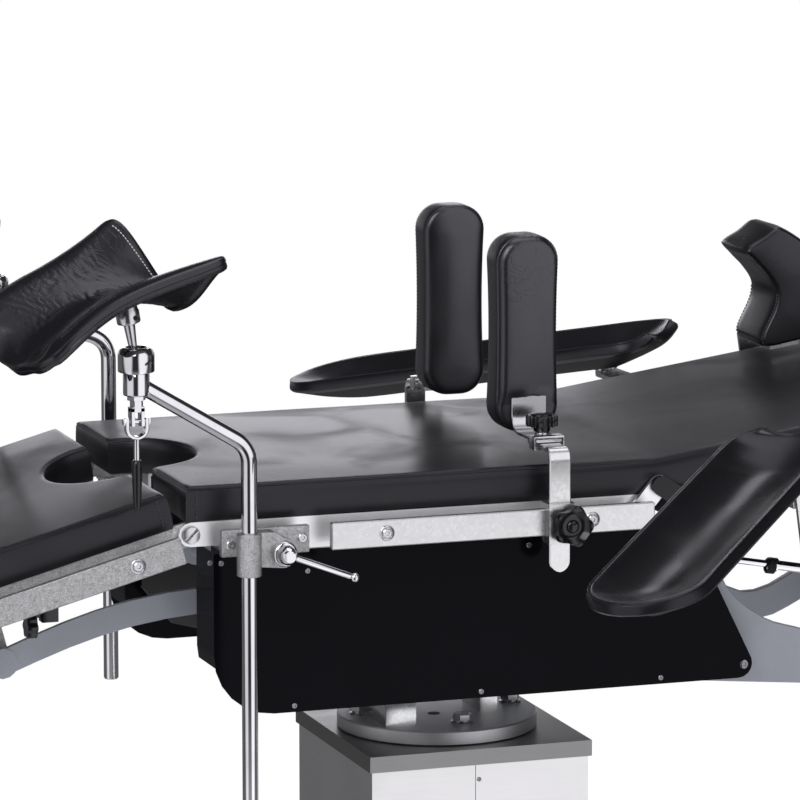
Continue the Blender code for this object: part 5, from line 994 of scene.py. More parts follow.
CRUTCH_X, CRUTCH_Y = -0.3385, 0.297
CRUTCH_CORNER = {"near": 0.8026, "far": 0.8386}
CRUTCH_ARM = {"near": math.radians(31.3), "far": math.radians(18)}
CRUTCH_ARM_LENGTH = 0.160
CRUTCH_POST_LENGTH = 0.440
CRUTCH_POST_RADIUS = 0.0095
CRUTCH_BEND, BEND_STEPS = 0.035, 12
CRUTCH_FOOT, FOOT_TAPER = 0.002, 0.84
CRUTCH_LEAN = {"near": math.radians(9), "far": math.radians(20)}
SOCKET_SIDES = 12
SOCKET_PROFILE = (
    (0, -0.014), (0.0148, -0.014), (0.0160, -0.0126), (0.0160, 0.0122), (0.0152, 0.0136), (0, 0.0136),
)
CAP_PROFILE = (
    (0, 0.0138), (0.0208, 0.0138), (0.0215, 0.0148), (0.0215, 0.0300),
    *arc_points(0.0100, 0, 72, 8, (0.0115, 0.0330)),
    (0.0132, 0.0424), (0.0118, 0.0408), (0.0108, 0.0350), (0.0108, 0.0300), (0, 0.0300),
)
NECK_PROFILE = (
    (0, -0.0142), (0.0105, -0.0142), (0.0112, -0.0155), (0.0112, -0.0195), (0.0080, -0.0205),
    (0.0080, -0.030), (0, -0.030),
)
FORK_DROP, FORK_ROUNDING = 0.0505, 0.0010
FORK_BLOCKS = (
    ((-0.0088, -0.006, 0), (-0.0030, 0.006, 0.0225)),
    ((0.0030, -0.006, 0), (0.0088, 0.006, 0.0225)),
    ((-0.0088, -0.006, 0.0165), (0.0088, 0.006, 0.0235)),
)

GUTTER_YAW = {"near": math.radians(11), "far": math.radians(169)}
GUTTER_PITCH = {"near": math.radians(22.5), "far": math.radians(25)}
GUTTER_AHEAD = {"near": 0.047, "far": -0.0925}
GUTTER_SIZE = (0.230, 0.216, 0.040)
GUTTER_MESH = (150, 60)
GUTTER_EDGE = (
    (0.0030, 0.0002), (0.0054, 0.0014), (0.0066, 0.0040), (0.0066, 0.0074), (0.0058, 0.0084),
    (0.0066, 0.0094), (0.0066, 0.0128), (0.0054, 0.0156), (0.0026, 0.0172), (-0.0020, 0.0168),
    (-0.0050, 0.0140),
)
GUTTER_RIM = 0.0066
GUTTER_DISH = 0.375
CORNER_POWER = 3.4
EAR_REACH, EAR_SPREAD, EAR_POWER = 0.20, 0.065, 1.05
HEAD_DROOP, HEAD_INNER, HEAD_OUTER = 1.125, 1.50, 0.70
TAIL_DROOP, TAIL_INNER, TAIL_OUTER = 0.45, 0.25, -0.35
INNER_WALL, OUTER_WALL = 0.80, 0.575
FOLD_HEIGHT, FOLD_SCALE, FOLD_SWIRL = 0.0008, (95, 16, 4.0), (9, 30)
CREASE_HEIGHT, CREASE_SCALE, CREASE_SWIRL = 0.00065, (300, 34, 9.0), (30, 24)
DENT_HEIGHT, DENT_MIDDLE, DENT_REACH, DENT_WAVES = 0.0016, -0.90, 0.10, 13
SMOOTH_EAR = 1.8
GUTTER_LIFT = 0.014
BALL_RISE = 0.0195
STEM_LENGTH = 0.070
STEM_PROFILE = (
    (0, -0.011), *arc_points(0.011, -80, 62, 12), (0.0045, 0.0125), (0.0048, 0.022), (0.0068, 0.050),
    (0.0132, 0.0525), (0.0140, 0.054), (0.0140, 0.066), (0.0128, 0.0685), (0.0120, 0.080), (0, 0.080),
)
KNUCKLE_RISE = 0.060
KNUCKLE_SPOT = (0.0052, 0.0129)
KNUCKLE_AIM = 0.37
KNUCKLE_HOLE = (0.0030, 0.0006, -0.002)
SHELL_MIDDLE, SHELL_HALF = -0.0055, (0.0795, 0.086)
LENS_MIDDLE, LENS_HALF = (0.094, -0.074), (0.027, 0.017)
SEAM_STEPS, SEAM_END = 48, 0.95
HEAD_THREAD, SIDE_THREAD = (0.0007, 0.0012), (0.0004, 0.0014)
HEAD_STITCH_LINE, HEAD_STITCH_LIFT = 0.965, 0.0005
HEAD_STITCH_ENDS = (-0.60, 0.86)
SIDE_SEAMS = ((-0.90, 26), (0.93, 46))

SHACKLE_DROP = 0.014 + 0.014 + 0.026 * 2 / 3
SHACKLE_HALF, SHACKLE_THICKNESS = 0.0052, 0.0040
SHACKLE_BOLT_OUT, SHACKLE_BOLT = 0.0136, (0.0046, 0.0030)
SHACKLE_PIN_START, SHACKLE_PIN = 0.0131, (0.0026, 0, 0.0262)
SHACKLE_PATH = (
    (-0.0118, 0.005), (-0.0118, -0.006), *arc_points(0.0118, 180, 360, 12, (0, -0.0075)),
    (0.0118, -0.006), (0.0118, 0.005),
)
LEVER_STEM_PROFILE = (
    (0, 0.0185), (0.0052, 0.0185), (0.0040, 0.0215), (0.0035, 0.024), (0.0035, 0.050), (0, 0.050),
)
GRIP_PROFILE = (
    (0, 0.0455), (0.0044, 0.0455), (0.0056, 0.0470), (0.0061, 0.0540), (0.0060, 0.066),
    (0.0050, 0.092), (0.0044, 0.099), (0.0036, 0.1035), (0.0022, 0.1056), (0, 0.1060),
)

HUB_X, HUB_Y, HUB_Z = -0.294, 0.2923, 0.6711
HUB_PROFILE = (
    (0, 0), (0.0138, 0), (0.0152, 0.0014), (0.0152, 0.0060), (0.0140, 0.0078), (0.0118, 0.0086),
    (0.0112, 0.0165), (0.0098, 0.0215), (0.0070, 0.0248), (0, 0.0260),
)
CROSS_LEVER_DROOP = math.radians(-21)
CROSS_LEVER_START = 0.013
CROSS_LEVER_PROFILE = (
    (0, 0), (0.0040, 0), (0.0040, 0.083), (0.0034, 0.084), *arc_points(0.0056, -60, 90, 10, (0, 0.0895)),
)
CLAMP_PLATE = ((-0.364, 0.260, 0.6662), (-0.255, 0.270, 0.6988))
PLATE_ROUNDING, CHEEK_ROUNDING = 0.0012, 0.0016
CHEEK_RADIUS = 0.0181
CHEEK_DEPTHS = (0.269, 0.2918)
CHEEK_OUTLINE = (
    (-0.3385, 0.6575), (-0.294, 0.6530), *arc_points(CHEEK_RADIUS, -90, 78, 14, (HUB_X, HUB_Z))[1:],
    (-0.3050, 0.6975), (-0.3385, 0.6975),
)
SLEEVE_FOOT, SLEEVE_SIDES = 0.6480, 48
SLEEVE_PROFILE = (
    (0.0098, 0.0), (0.0140, 0.0), (0.0148, 0.0010), (0.0148, 0.0500), (0.0140, 0.0510), (0.0098, 0.0510),
    (0.0098, 0.0),
)
CLAMP_POSTS = (-0.349, -0.266)
CLAMP_POST, CLAMP_POST_Y, CLAMP_POST_Z = (0.0070, 0, 0.022), 0.2385, 0.6825


def crutch_corner(name, side):
    """Return the corner where a crutch's post turns."""
    return Vector((CRUTCH_X, side * CRUTCH_Y, CRUTCH_CORNER[name]))


def crutch_socket(name, side):
    """Return the centre of a crutch's socket."""
    turn = CRUTCH_ARM[name]
    return crutch_corner(name, side) + Vector((-math.cos(turn), 0, math.sin(turn))) * CRUTCH_ARM_LENGTH


def gutter_point(along, across, size):
    """Return a point of the saddle-shaped gutter from two shares between -1 and 1."""
    length, width, depth = size
    outer = max(-across, 0)
    power = CORNER_POWER + (5 * max(along, 0) + 1.5 * max(-along, 0)) * outer
    power += 4 * max(along, 0) * max(across, 0)
    reach = max(abs(along), abs(across))
    spread = (abs(along) ** power + abs(across) ** power) ** (1 / power)
    share = reach / spread if spread > TINY else 1
    p, q = along * share, across * share
    if p > 0:
        droop, wall = HEAD_DROOP, HEAD_INNER if q > 0 else HEAD_OUTER
    else:
        droop, wall = TAIL_DROOP, TAIL_INNER if q > 0 else TAIL_OUTER
    rise = math.sin(min(abs(q), 1) * math.pi * 5 / 9) ** 2
    ear = max(p, 0) ** 2 * max(-q, 0) ** EAR_POWER
    raised = (INNER_WALL if q > 0 else OUTER_WALL) + wall * p ** 2
    height = depth * (GUTTER_DISH - droop * p ** 2 + rise * raised)
    return Vector((length * (p / 2 + EAR_REACH * ear), width * (q / 2 - EAR_SPREAD * ear), height))


def swirled_noise(point, side, scale, swirl):
    """Return a noise whose lines across the piece are bent by a second noise."""
    bend = swirl[0] * noise.noise(point * swirl[1])
    return noise.noise(Vector((point.x * scale[0] + bend, point.y * scale[1], side * scale[2])))


def make_gutter_pad(name, side, size, matrix):
    """Make a gutter's padded saddle, with folds in its vinyl and its shell bare below."""

    def surface(along, across):
        point = gutter_point(along, across, size)
        soft = max(1 - along ** 6, 0) * max(1 - across ** 6, 0)
        soft *= 1 - min(SMOOTH_EAR * max(along, 0) * max(-across, 0), 1)
        fold = swirled_noise(point, side, FOLD_SCALE, FOLD_SWIRL)
        crease = swirled_noise(point, side, CREASE_SCALE, CREASE_SWIRL)
        dent = math.exp(-((along - DENT_MIDDLE) / DENT_REACH) ** 2) * math.sin(across * DENT_WAVES)
        return point + Z * (soft * (FOLD_HEIGHT * fold + CREASE_HEIGHT * crease) + dent * DENT_HEIGHT)

    bm = bmesh.new()
    add_sheet(bm, *GUTTER_MESH, surface)
    close_sheet(bm, GUTTER_EDGE)
    pad = piece(f"gutter_pad_{name}", bm, "creased_vinyl", f"gutter_{name}", matrix)
    pad.data.materials.append(finish("grey_shell"))
    for face in pad.data.polygons:
        x, y = face.center.xy
        bare = abs(x - SHELL_MIDDLE) < SHELL_HALF[0] and abs(y) < SHELL_HALF[1]
        lens = math.hypot((x - LENS_MIDDLE[0]) / LENS_HALF[0], (y - LENS_MIDDLE[1]) / LENS_HALF[1]) < 1
        if face.material_index and not (bare or lens):
            face.material_index = 0
    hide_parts(f"crutch_gutter_{name}")


def make_gutter_thread(name, size, matrix):
    """Make the pale stitches at a gutter's head and the dark seams along its sides."""
    body = f"gutter_{name}"
    steps = [SEAM_END * (2 * step / SEAM_STEPS - 1) for step in range(SEAM_STEPS + 1)]
    bm = bmesh.new()
    head = [v for v in steps if HEAD_STITCH_ENDS[0] < v < HEAD_STITCH_ENDS[1]]
    line = [gutter_point(HEAD_STITCH_LINE, v, size) + Z * HEAD_STITCH_LIFT for v in head]
    add_stitches(bm, line, *HEAD_THREAD)
    piece(f"gutter_stitches_{name}", bm, "pale_thread", body, matrix)
    bm = bmesh.new()
    for v, last in SIDE_SEAMS:
        add_stitches(bm, [gutter_point(u, v, size) for u in steps[:last]], *SIDE_THREAD)
    piece(f"gutter_seams_{name}", bm, "dark_thread", body, matrix)


def make_gutter(name, side):
    """Make a knee gutter with its edge roll, its stitches and its ball stem."""
    ball = crutch_socket(name, side) + Z * BALL_RISE
    lean = CRUTCH_LEAN[name]
    up = Vector((-math.sin(lean), 0, math.cos(lean)))
    turn = Matrix.Rotation(GUTTER_YAW[name], 4, "Z") @ Matrix.Rotation(-GUTTER_PITCH[name], 4, "Y")
    matrix = Matrix.Translation(ball + up * STEM_LENGTH) @ turn
    matrix = matrix @ Matrix.Translation((-GUTTER_AHEAD[name], 0, GUTTER_LIFT))
    size = (GUTTER_SIZE[0] - 2 * GUTTER_RIM, GUTTER_SIZE[1] - 2 * GUTTER_RIM, GUTTER_SIZE[2])
    make_gutter_pad(name, side, size, matrix)
    make_gutter_thread(name, size, matrix)
    bm = bmesh.new()
    add_turned(bm, STEM_PROFILE, ball, up, settings("metal").sides)
    piece(f"gutter_stem_{name}", bm, "screw_steel", f"gutter_{name}")
    bm = bmesh.new()
    hole = ball + up * KNUCKLE_RISE + Vector((KNUCKLE_SPOT[0], side * KNUCKLE_SPOT[1], 0))
    add_turned(bm, disc(*KNUCKLE_HOLE), hole, Vector((KNUCKLE_AIM, side, 0)), PIN_SIDES)
    piece(f"gutter_knuckle_hole_{name}", bm, "dark_rubber", f"gutter_{name}")


def make_crutch_post(name, side):
    """Make a bent post with its socket, ball cap and the neck that holds the lever."""
    corner, socket = crutch_corner(name, side), crutch_socket(name, side)
    foot = corner - Z * CRUTCH_POST_LENGTH
    away = (socket - corner).normalized()
    turn = math.acos(max(min((foot - corner).normalized().dot(away), 1), -1))
    reach = CRUTCH_BEND / math.tan(turn / 2)
    start, end = corner - Z * reach, corner + away * reach
    shares = [step / BEND_STEPS for step in range(BEND_STEPS + 1)]
    bend = [start.lerp(corner, share).lerp(corner.lerp(end, share), share) for share in shares]
    sides = settings("metal").sides
    bm = bmesh.new()
    shaft = [foot, foot + Z * CRUTCH_FOOT] + bend + [socket]
    add_tube(bm, shaft, CRUTCH_POST_RADIUS, sides, taper=lambda share: FOOT_TAPER if share == 0 else 1)
    add_turned(bm, SOCKET_PROFILE, socket, Z, SOCKET_SIDES)
    add_turned(bm, CAP_PROFILE, socket, Z, sides)
    add_turned(bm, NECK_PROFILE, socket, Z, HEX_SIDES)
    for low, high in FORK_BLOCKS:
        fork = socket - Z * FORK_DROP
        add_block(bm, fork + Vector(low), fork + Vector(high), FORK_ROUNDING)
    post = piece(f"post_{name}", bm, "chrome_plate", f"crutch_{name}")
    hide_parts(f"crutch_post_{name}")


def make_ball_lever(name, side):
    """Make the lever that hangs under a socket: shackle, stem and grip."""
    pivot = crutch_socket(name, side) - Z * SHACKLE_DROP
    sides = settings("metal").sides
    bm = bmesh.new()
    strip = [pivot + X * x + Z * z for x, z in SHACKLE_PATH]
    add_strip(bm, strip, [SHACKLE_HALF] * len(strip), SHACKLE_THICKNESS, Y)
    for lean in (-1, 1):
        add_hex_bolt(bm, pivot + X * lean * SHACKLE_BOLT_OUT, X * lean, *SHACKLE_BOLT)
    add_turned(bm, disc(*SHACKLE_PIN), pivot - X * SHACKLE_PIN_START, X, PIN_SIDES)
    add_turned(bm, LEVER_STEM_PROFILE, pivot, -Z, sides)
    stem = piece(f"ball_lever_stem_{name}", bm, "chrome_plate", f"ball_lever_{name}")
    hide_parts(f"crutch_ball_lever_{name}")
    bm = bmesh.new()
    add_turned(bm, GRIP_PROFILE, pivot, -Z, sides)
    piece(f"ball_lever_grip_{name}", bm, "knob_plastic", f"ball_lever_{name}")


def make_clamp_lever(name, side):
    """Make the hub and the cross lever that tighten a crutch's clamp."""
    hub = Vector((HUB_X, side * HUB_Y, HUB_Z))
    out = Y * side
    along = Vector((math.cos(CROSS_LEVER_DROOP), 0, math.sin(CROSS_LEVER_DROOP)))
    sides = settings("metal").sides
    bm = bmesh.new()
    add_turned(bm, HUB_PROFILE, hub, out, sides)
    add_turned(bm, CROSS_LEVER_PROFILE, hub + out * CROSS_LEVER_START, along, sides)
    lever = piece(f"clamp_lever_{name}_turned", bm, "chrome_plate", f"clamp_lever_{name}")
    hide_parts(f"crutch_clamp_lever_{name}")


def make_crutch_clamp(name, side):
    """Make the rail clamp of a crutch: plate, sleeve and round cheek."""
    bm = bmesh.new()
    (left, inner, foot), (right, outer, top) = CLAMP_PLATE
    low_y, high_y = sorted((side * inner, side * outer))
    add_block(bm, (left, low_y, foot), (right, high_y, top), PLATE_ROUNDING)
    depths = sorted(-side * depth for depth in CHEEK_DEPTHS)
    add_prism(bm, CHEEK_OUTLINE, *depths, Matrix.Rotation(math.pi / 2, 4, "X"), CHEEK_ROUNDING)
    add_turned(bm, SLEEVE_PROFILE, (CRUTCH_X, side * CRUTCH_Y, SLEEVE_FOOT), Z, SLEEVE_SIDES)
    clamp = piece(f"rail_clamp_{name}", bm, "hammered_zinc", "frame")
    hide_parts(f"crutch_clamp_{name}")
    bm = bmesh.new()
    for x in CLAMP_POSTS:
        place = (x, side * CLAMP_POST_Y, CLAMP_POST_Z)
        add_turned(bm, disc(*CLAMP_POST), place, Y * side, PIN_SIDES)
    piece(f"rail_clamp_posts_{name}", bm, "screw_steel", "frame")


# Body supports

SUPPORT_X = {"near": 0.060, "far": 0.066}
PAD_MIDDLE_Y, PAD_MIDDLE_Z = 0.140, 0.895
PAD_HALF, PAD_TALL, PAD_CORNER = 0.041, 0.120, 0.033
PAD_WAIST, WAIST_STEPS, CORNER_STEPS = 1 / 14, 12, 16
SPINE_REACH = 0.079
PAD_BOW = 0.0045
PAD_POCKET, POCKET_FOOT, POCKET_SLOPE = 0.0062, -0.078, 9
SUPPORT_PROFILE = (
    (0.0, 0.0242), (0.30, 0.0242), (0.55, 0.0240), (0.72, 0.0236), (0.84, 0.0229), (0.92, 0.0216),
    (0.952, 0.0203), (0.962, 0.0194), (0.972, 0.0192), (0.985, 0.0196), (1.002, 0.0186),
    (1.012, 0.0160), (1.018, 0.0100), (1.020, 0.0),
)
WELT_SHARE, WELT_DEPTH = 0.985, 0.0186
WELT_THREAD = (0.0006, 0.0014)
CUPPED_DEPTH, OUTER_CUP = 0.014, 0.4
PAD_JOIN = 0.0002

BAR_Y = 0.2733
BAR_FOOT, BAR_TOP, BAR_BEND = 0.622, 0.770, 0.012
BAR_FOOT_STEPS, BAR_BEND_STEPS = 8, 9
BAR_HALF, BAR_THICKNESS = 0.0135, 0.006
BAR_END_HALF = 0.0016
BAR_ARM_END = 0.1985
ANGLE_LOW, ANGLE_BEND, ANGLE_TOP = 0.7758, 0.024, 0.8493
ANGLE_PLATE_Y = 0.1655
ANGLE_FOOT = ((0.2360, 0.0165), (0.2140, 0.0170))
ANGLE_HALF, ANGLE_FLARE, ANGLE_THICKNESS = 0.0225, 0.0050, 0.0036
ANGLE_DEGREES, FLARE_DEGREES = range(0, 91, 9), 30

CLIP_Y, CLIP_ROUNDING = 0.2285, 0.0009
CLIP_PLATES = (
    ((-0.0196, -0.0085, 0.7650), (-0.0176, 0.0085, 0.7812)),
    ((0.0176, -0.0085, 0.7650), (0.0196, 0.0085, 0.7812)),
    ((-0.0196, -0.0055, 0.7640), (0.0196, 0.0055, 0.7660)),
    ((-0.0196, -0.0085, 0.7792), (0.0196, 0.0085, 0.7816)),
)
THUMB_KNOB_Y = 0.2110
THUMB_NUT_Z = 0.7776
THUMB_NUT_PROFILE = (
    (0, 0), (0.0092, 0), (0.0092, 0.0050), (0.0050, 0.0054), (0.0050, 0.012), (0, 0.012),
)
THUMB_RIBS, RIB_STEPS, THUMB_RADIUS, THUMB_GROOVE = 12, 8, 0.0198, 0.0030
THUMB_HEIGHTS, THUMB_ROUNDING = (0.7900, 0.8035), 0.0014
THUMB_FOOT_PROFILE = ((0, 0.784), (0.0100, 0.784), (0.0110, 0.791), (0, 0.791))
THUMB_CROWN_PROFILE = ((0, 0.803), (0.0140, 0.803), (0.0125, 0.8052), (0.0080, 0.8060), (0, 0.8062))
LOBED_KNOB_SPOT = (0.0095, 0.2849, 0.6805)
LOBED_KNOB_RADIUS, LOBED_KNOB_STEPS = 0.0262, 120
LOBES, LOBE_DEPTH, LOBE_START, LOBE_SLOPE, LOBE_TURN = 5, 0.22, 0.76, 4.2, 0.3
LOBED_KNOB_RINGS = (
    (0.46, 0.0), (0.46, 0.0046), (0.88, 0.0050), (0.975, 0.0066), (1.0, 0.0100), (0.985, 0.0134),
    (0.94, 0.0154), (0.88, 0.0160), (0.74, 0.0150), (0.60, 0.0112), (0.46, 0.0092), (0.32, 0.0092),
    (0.27, 0.0112), (0.20, 0.0126), (0.0, 0.0132),
)
LOBED_KNOB_SHAFT = ((0, -0.007), (0.005, -0.007), (0.005, 0.001))


def support_outline():
    """Return the waisted outline of a support pad, in X and Z about its middle."""
    flat, rise = PAD_HALF - PAD_CORNER, PAD_TALL - PAD_CORNER
    outline = []
    for turn, x, z in ((0, flat, rise), (90, -flat, rise), (180, -flat, -rise), (270, flat, -rise)):
        outline += arc_points(PAD_CORNER, turn, turn + 90, CORNER_STEPS, (x, z))
        if turn in (90, 270):
            sign = 1 if turn == 90 else -1
            ups = [rise * sign * (1 - 2 * step / WAIST_STEPS) for step in range(1, WAIST_STEPS)]
            outline += [(-PAD_HALF * sign, up) for up in ups]
    return [(x * (1 - PAD_WAIST * (1 - (z / PAD_TALL) ** 2)), z) for x, z in outline]


def support_ring(middle, outline, share, depth, side):
    """Return the places of one ring of a support pad, between its spine and its outline."""
    ring = []
    outer = depth * side > 0
    for across, up in outline:
        spine = max(min(up, SPINE_REACH), -SPINE_REACH)
        z = spine + (up - spine) * share
        bow = PAD_BOW * (1 - (z / PAD_TALL) ** 2)
        pocket = PAD_POCKET if outer and z > POCKET_FOOT else 0
        cupped = math.copysign(bow, depth) * share if abs(depth) > CUPPED_DEPTH else 0
        sunk = side * pocket * min((1 - share) * POCKET_SLOPE, 1)
        y = depth + sunk - cupped * (OUTER_CUP if outer else 1)
        ring.append(middle + Vector((across * share, y, z)))
    return ring


def make_support_pad(name, side):
    """Make a support's waisted pad with its welt seams and stitches."""
    middle = Vector((SUPPORT_X[name], side * PAD_MIDDLE_Y, PAD_MIDDLE_Z))
    outline = support_outline()
    body = f"support_pad_{name}"
    profile = [(share, -depth) for share, depth in SUPPORT_PROFILE]
    profile += [(share, depth) for share, depth in reversed(SUPPORT_PROFILE[:-1])]
    bm = bmesh.new()
    rings = [support_ring(middle, outline, share, depth, side) for share, depth in profile]
    link_rings(bm, [[bm.verts.new(place) for place in ring] for ring in rings])
    pad = piece(f"support_cushion_{name}", bm, "pad_vinyl", body, join=PAD_JOIN)
    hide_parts(f"support_pad_{name}")
    bm = bmesh.new()
    for face in (-1, 1):
        line = support_ring(middle, outline, WELT_SHARE, face * WELT_DEPTH, side)
        add_stitches(bm, line, *WELT_THREAD, closed=True)
    piece(f"support_stitches_{name}", bm, "dark_thread", body)


def make_support_bar(name, side):
    """Make a support's upright bar, round at its foot, with its arm over the table."""
    x, y = SUPPORT_X[name], side * BAR_Y
    path, half = [], []
    for step in range(BAR_FOOT_STEPS + 1):
        turn = math.pi / 2 * step / BAR_FOOT_STEPS
        path.append((x, y, BAR_FOOT + BAR_HALF * (1 - math.cos(turn))))
        half.append(max(BAR_HALF * math.sin(turn), BAR_END_HALF))
    for out, up in arc_points(BAR_BEND, 0, 90, BAR_BEND_STEPS, (-BAR_BEND, BAR_TOP - BAR_BEND)):
        path.append((x, y + side * out, up))
    path.append((x, side * BAR_ARM_END, BAR_TOP))
    half += [BAR_HALF] * (len(path) - len(half))
    bm = bmesh.new()
    add_strip(bm, path, half, BAR_THICKNESS, X)
    bar = piece(f"support_upright_{name}", bm, "bracket_zinc", f"support_bar_{name}")
    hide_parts(f"support_bar_{name}")


def make_support_angle(name, side):
    """Make the angle plate that carries a support's pad."""
    x, plate = SUPPORT_X[name], side * ANGLE_PLATE_Y
    path = [(x, side * y, ANGLE_LOW) for y, half in ANGLE_FOOT]
    half = [half for y, half in ANGLE_FOOT]
    for angle in ANGLE_DEGREES:
        t = math.radians(angle)
        rise = ANGLE_LOW + ANGLE_BEND * (1 - math.cos(t))
        path.append((x, plate + side * ANGLE_BEND * (1 - math.sin(t)), rise))
        half.append(ANGLE_HALF - ANGLE_FLARE * max(1 - angle / FLARE_DEGREES, 0))
    path.append((x, plate, ANGLE_TOP))
    half.append(ANGLE_HALF)
    bm = bmesh.new()
    add_strip(bm, path, half, ANGLE_THICKNESS, X)
    bracket = piece(f"support_angle_{name}", bm, "screw_steel", f"support_pad_{name}")
    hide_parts(f"support_bracket_{name}")


def make_support_clip(name, side):
    """Make the clip that holds a support's angle plate, with its ribbed thumb knob."""
    place = Vector((SUPPORT_X[name], side * CLIP_Y, 0))
    knob = Vector((SUPPORT_X[name], side * THUMB_KNOB_Y, 0))
    bm = bmesh.new()
    for low, high in CLIP_PLATES:
        add_block(bm, Vector(low) + place, Vector(high) + place, CLIP_ROUNDING)
    add_turned(bm, THUMB_NUT_PROFILE, knob + Z * THUMB_NUT_Z, Z, SCREW_SIDES)
    piece(f"support_clip_{name}", bm, "bracket_zinc", f"support_pad_{name}")
    outline = []
    for step in range(THUMB_RIBS * RIB_STEPS):
        angle = 2 * math.pi * step / THUMB_RIBS / RIB_STEPS
        reach = THUMB_RADIUS - THUMB_GROOVE * (1 - math.cos(angle * THUMB_RIBS)) / 2
        outline.append(polar(reach, angle))
    bm = bmesh.new()
    add_prism(bm, outline, *THUMB_HEIGHTS, Matrix.Translation(knob), THUMB_ROUNDING)
    for profile in (THUMB_FOOT_PROFILE, THUMB_CROWN_PROFILE):
        add_turned(bm, profile, knob, Z, ROUND_SIDES)
    piece(f"support_thumb_knob_{name}", bm, "knob_plastic", f"support_pad_{name}")


def make_support_knob(name, side):
    """Make the lobed knob that tightens a support's clamp on the rail."""
    ahead, out, up = LOBED_KNOB_SPOT
    place = Vector((SUPPORT_X[name] + ahead, side * out, up))
    centre = facing(place, Y * side)
    bm = bmesh.new()
    rings = []
    for share, height in LOBED_KNOB_RINGS:
        ring = []
        for step in range(LOBED_KNOB_STEPS):
            angle = 2 * math.pi * step / LOBED_KNOB_STEPS + LOBE_TURN
            cut = max((share - LOBE_START) * LOBE_SLOPE, 0)
            lobe = 1 - (1 - math.cos(angle * LOBES)) / 2 * LOBE_DEPTH * cut
            spot = Vector((*polar(LOBED_KNOB_RADIUS * share * lobe, angle), height))
            ring.append(bm.verts.new(centre @ spot))
        rings.append(ring)
    link_rings(bm, rings)
    bm.faces.new(rings[0])
    add_turned(bm, LOBED_KNOB_SHAFT, place, Y * side, SCREW_SIDES)
    knob = piece(f"support_lobed_knob_{name}", bm, "knob_plastic", f"support_knob_{name}")
    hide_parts(f"support_knob_{name}")


# Arm rests

ARM_ALONG = {"near": 0.130, "far": 0.259}
ARM_HEIGHT = {"near": 0.066, "far": 0.047}
ARM_SIDE = {"near": 0.3748, "far": 0.3880}
ARM_YAW, ARM_PITCH = math.radians(47.2), math.radians(-5.4)
ARM_SIZE = (0.568, 0.140, 0.026)
ARM_MESH = (84, 24)
ARM_EDGE = (
    (0.0018, 0.0001), (0.0040, 0.0008), (0.0052, 0.0022), (0.0057, 0.0044), (0.0058, 0.0100),
    (0.0050, 0.0138), (0.0026, 0.0156), (0.0008, 0.0160),
)
ARM_RIM = 0.0058
PIPING_RING, PIPING_SIDES = 3, 8
TROUGH_RAMP, TROUGH_OPEN = 1.8, 0.35
END_SWING = math.pi / 2 * 0.90
DIMPLE_X, DIMPLE_Y, DIMPLE_DEPTH = -0.515, 0.012, 0.0030
DIMPLE_LENGTH, DIMPLE_WIDTH = 0.016, 0.012
ARM_WAVE = 0.0009
STUD_ALONG_SHARE, STUD_DROP = 0.16, 0.046
STUD_PIN = (0.0072, 0.006, 0.018)
STUD_PROFILE = (
    (0, -0.0055), (0.0070, -0.0055), (0.0070, 0.002), (0.0150, 0.002), (0.0160, 0.003),
    (0.0160, 0.0062), (0, 0.0062),
)


def arm_matrix(name, side):
    """Return the place of an arm rest at rest, in the world."""
    place = BACK_HINGE + Vector((ARM_ALONG[name], side * ARM_SIDE[name], ARM_HEIGHT[name]))
    turn = Matrix.Rotation(-side * ARM_YAW, 4, "Z") @ Matrix.Rotation(ARM_PITCH, 4, "Y")
    return BACK_MATRIX @ Matrix.Translation(place) @ turn


def arm_point(along, across, size):
    """Return a point of the long trough with a round outer end."""
    length, width, depth = size
    end_share = width / 2 / length
    if along < -0.5:
        turn = END_SWING * (-along - 0.5) * 2
        narrow, share = math.cos(turn), 1 - end_share + end_share * math.sin(turn)
    elif along > 0.5:
        turn = END_SWING * (along - 0.5) * 2
        narrow, share = (1 + math.cos(turn)) / 2, end_share * (1 - math.sin(turn)) / 2
    else:
        narrow, share = 1, end_share / 2 + (1 - end_share * 1.5) * (0.5 - along)
    rising = min((1 - share) / end_share / TROUGH_RAMP, 1)
    sunk = math.sin(math.pi / 2 * rising) * math.sqrt(min(narrow, 1))
    end_open = TROUGH_OPEN + (1 - TROUGH_OPEN) * min(share / end_share, 1)
    sag = depth * (1 - across ** 2) * sunk * end_open
    return Vector((-length * share, width / 2 * across * narrow, -sag))


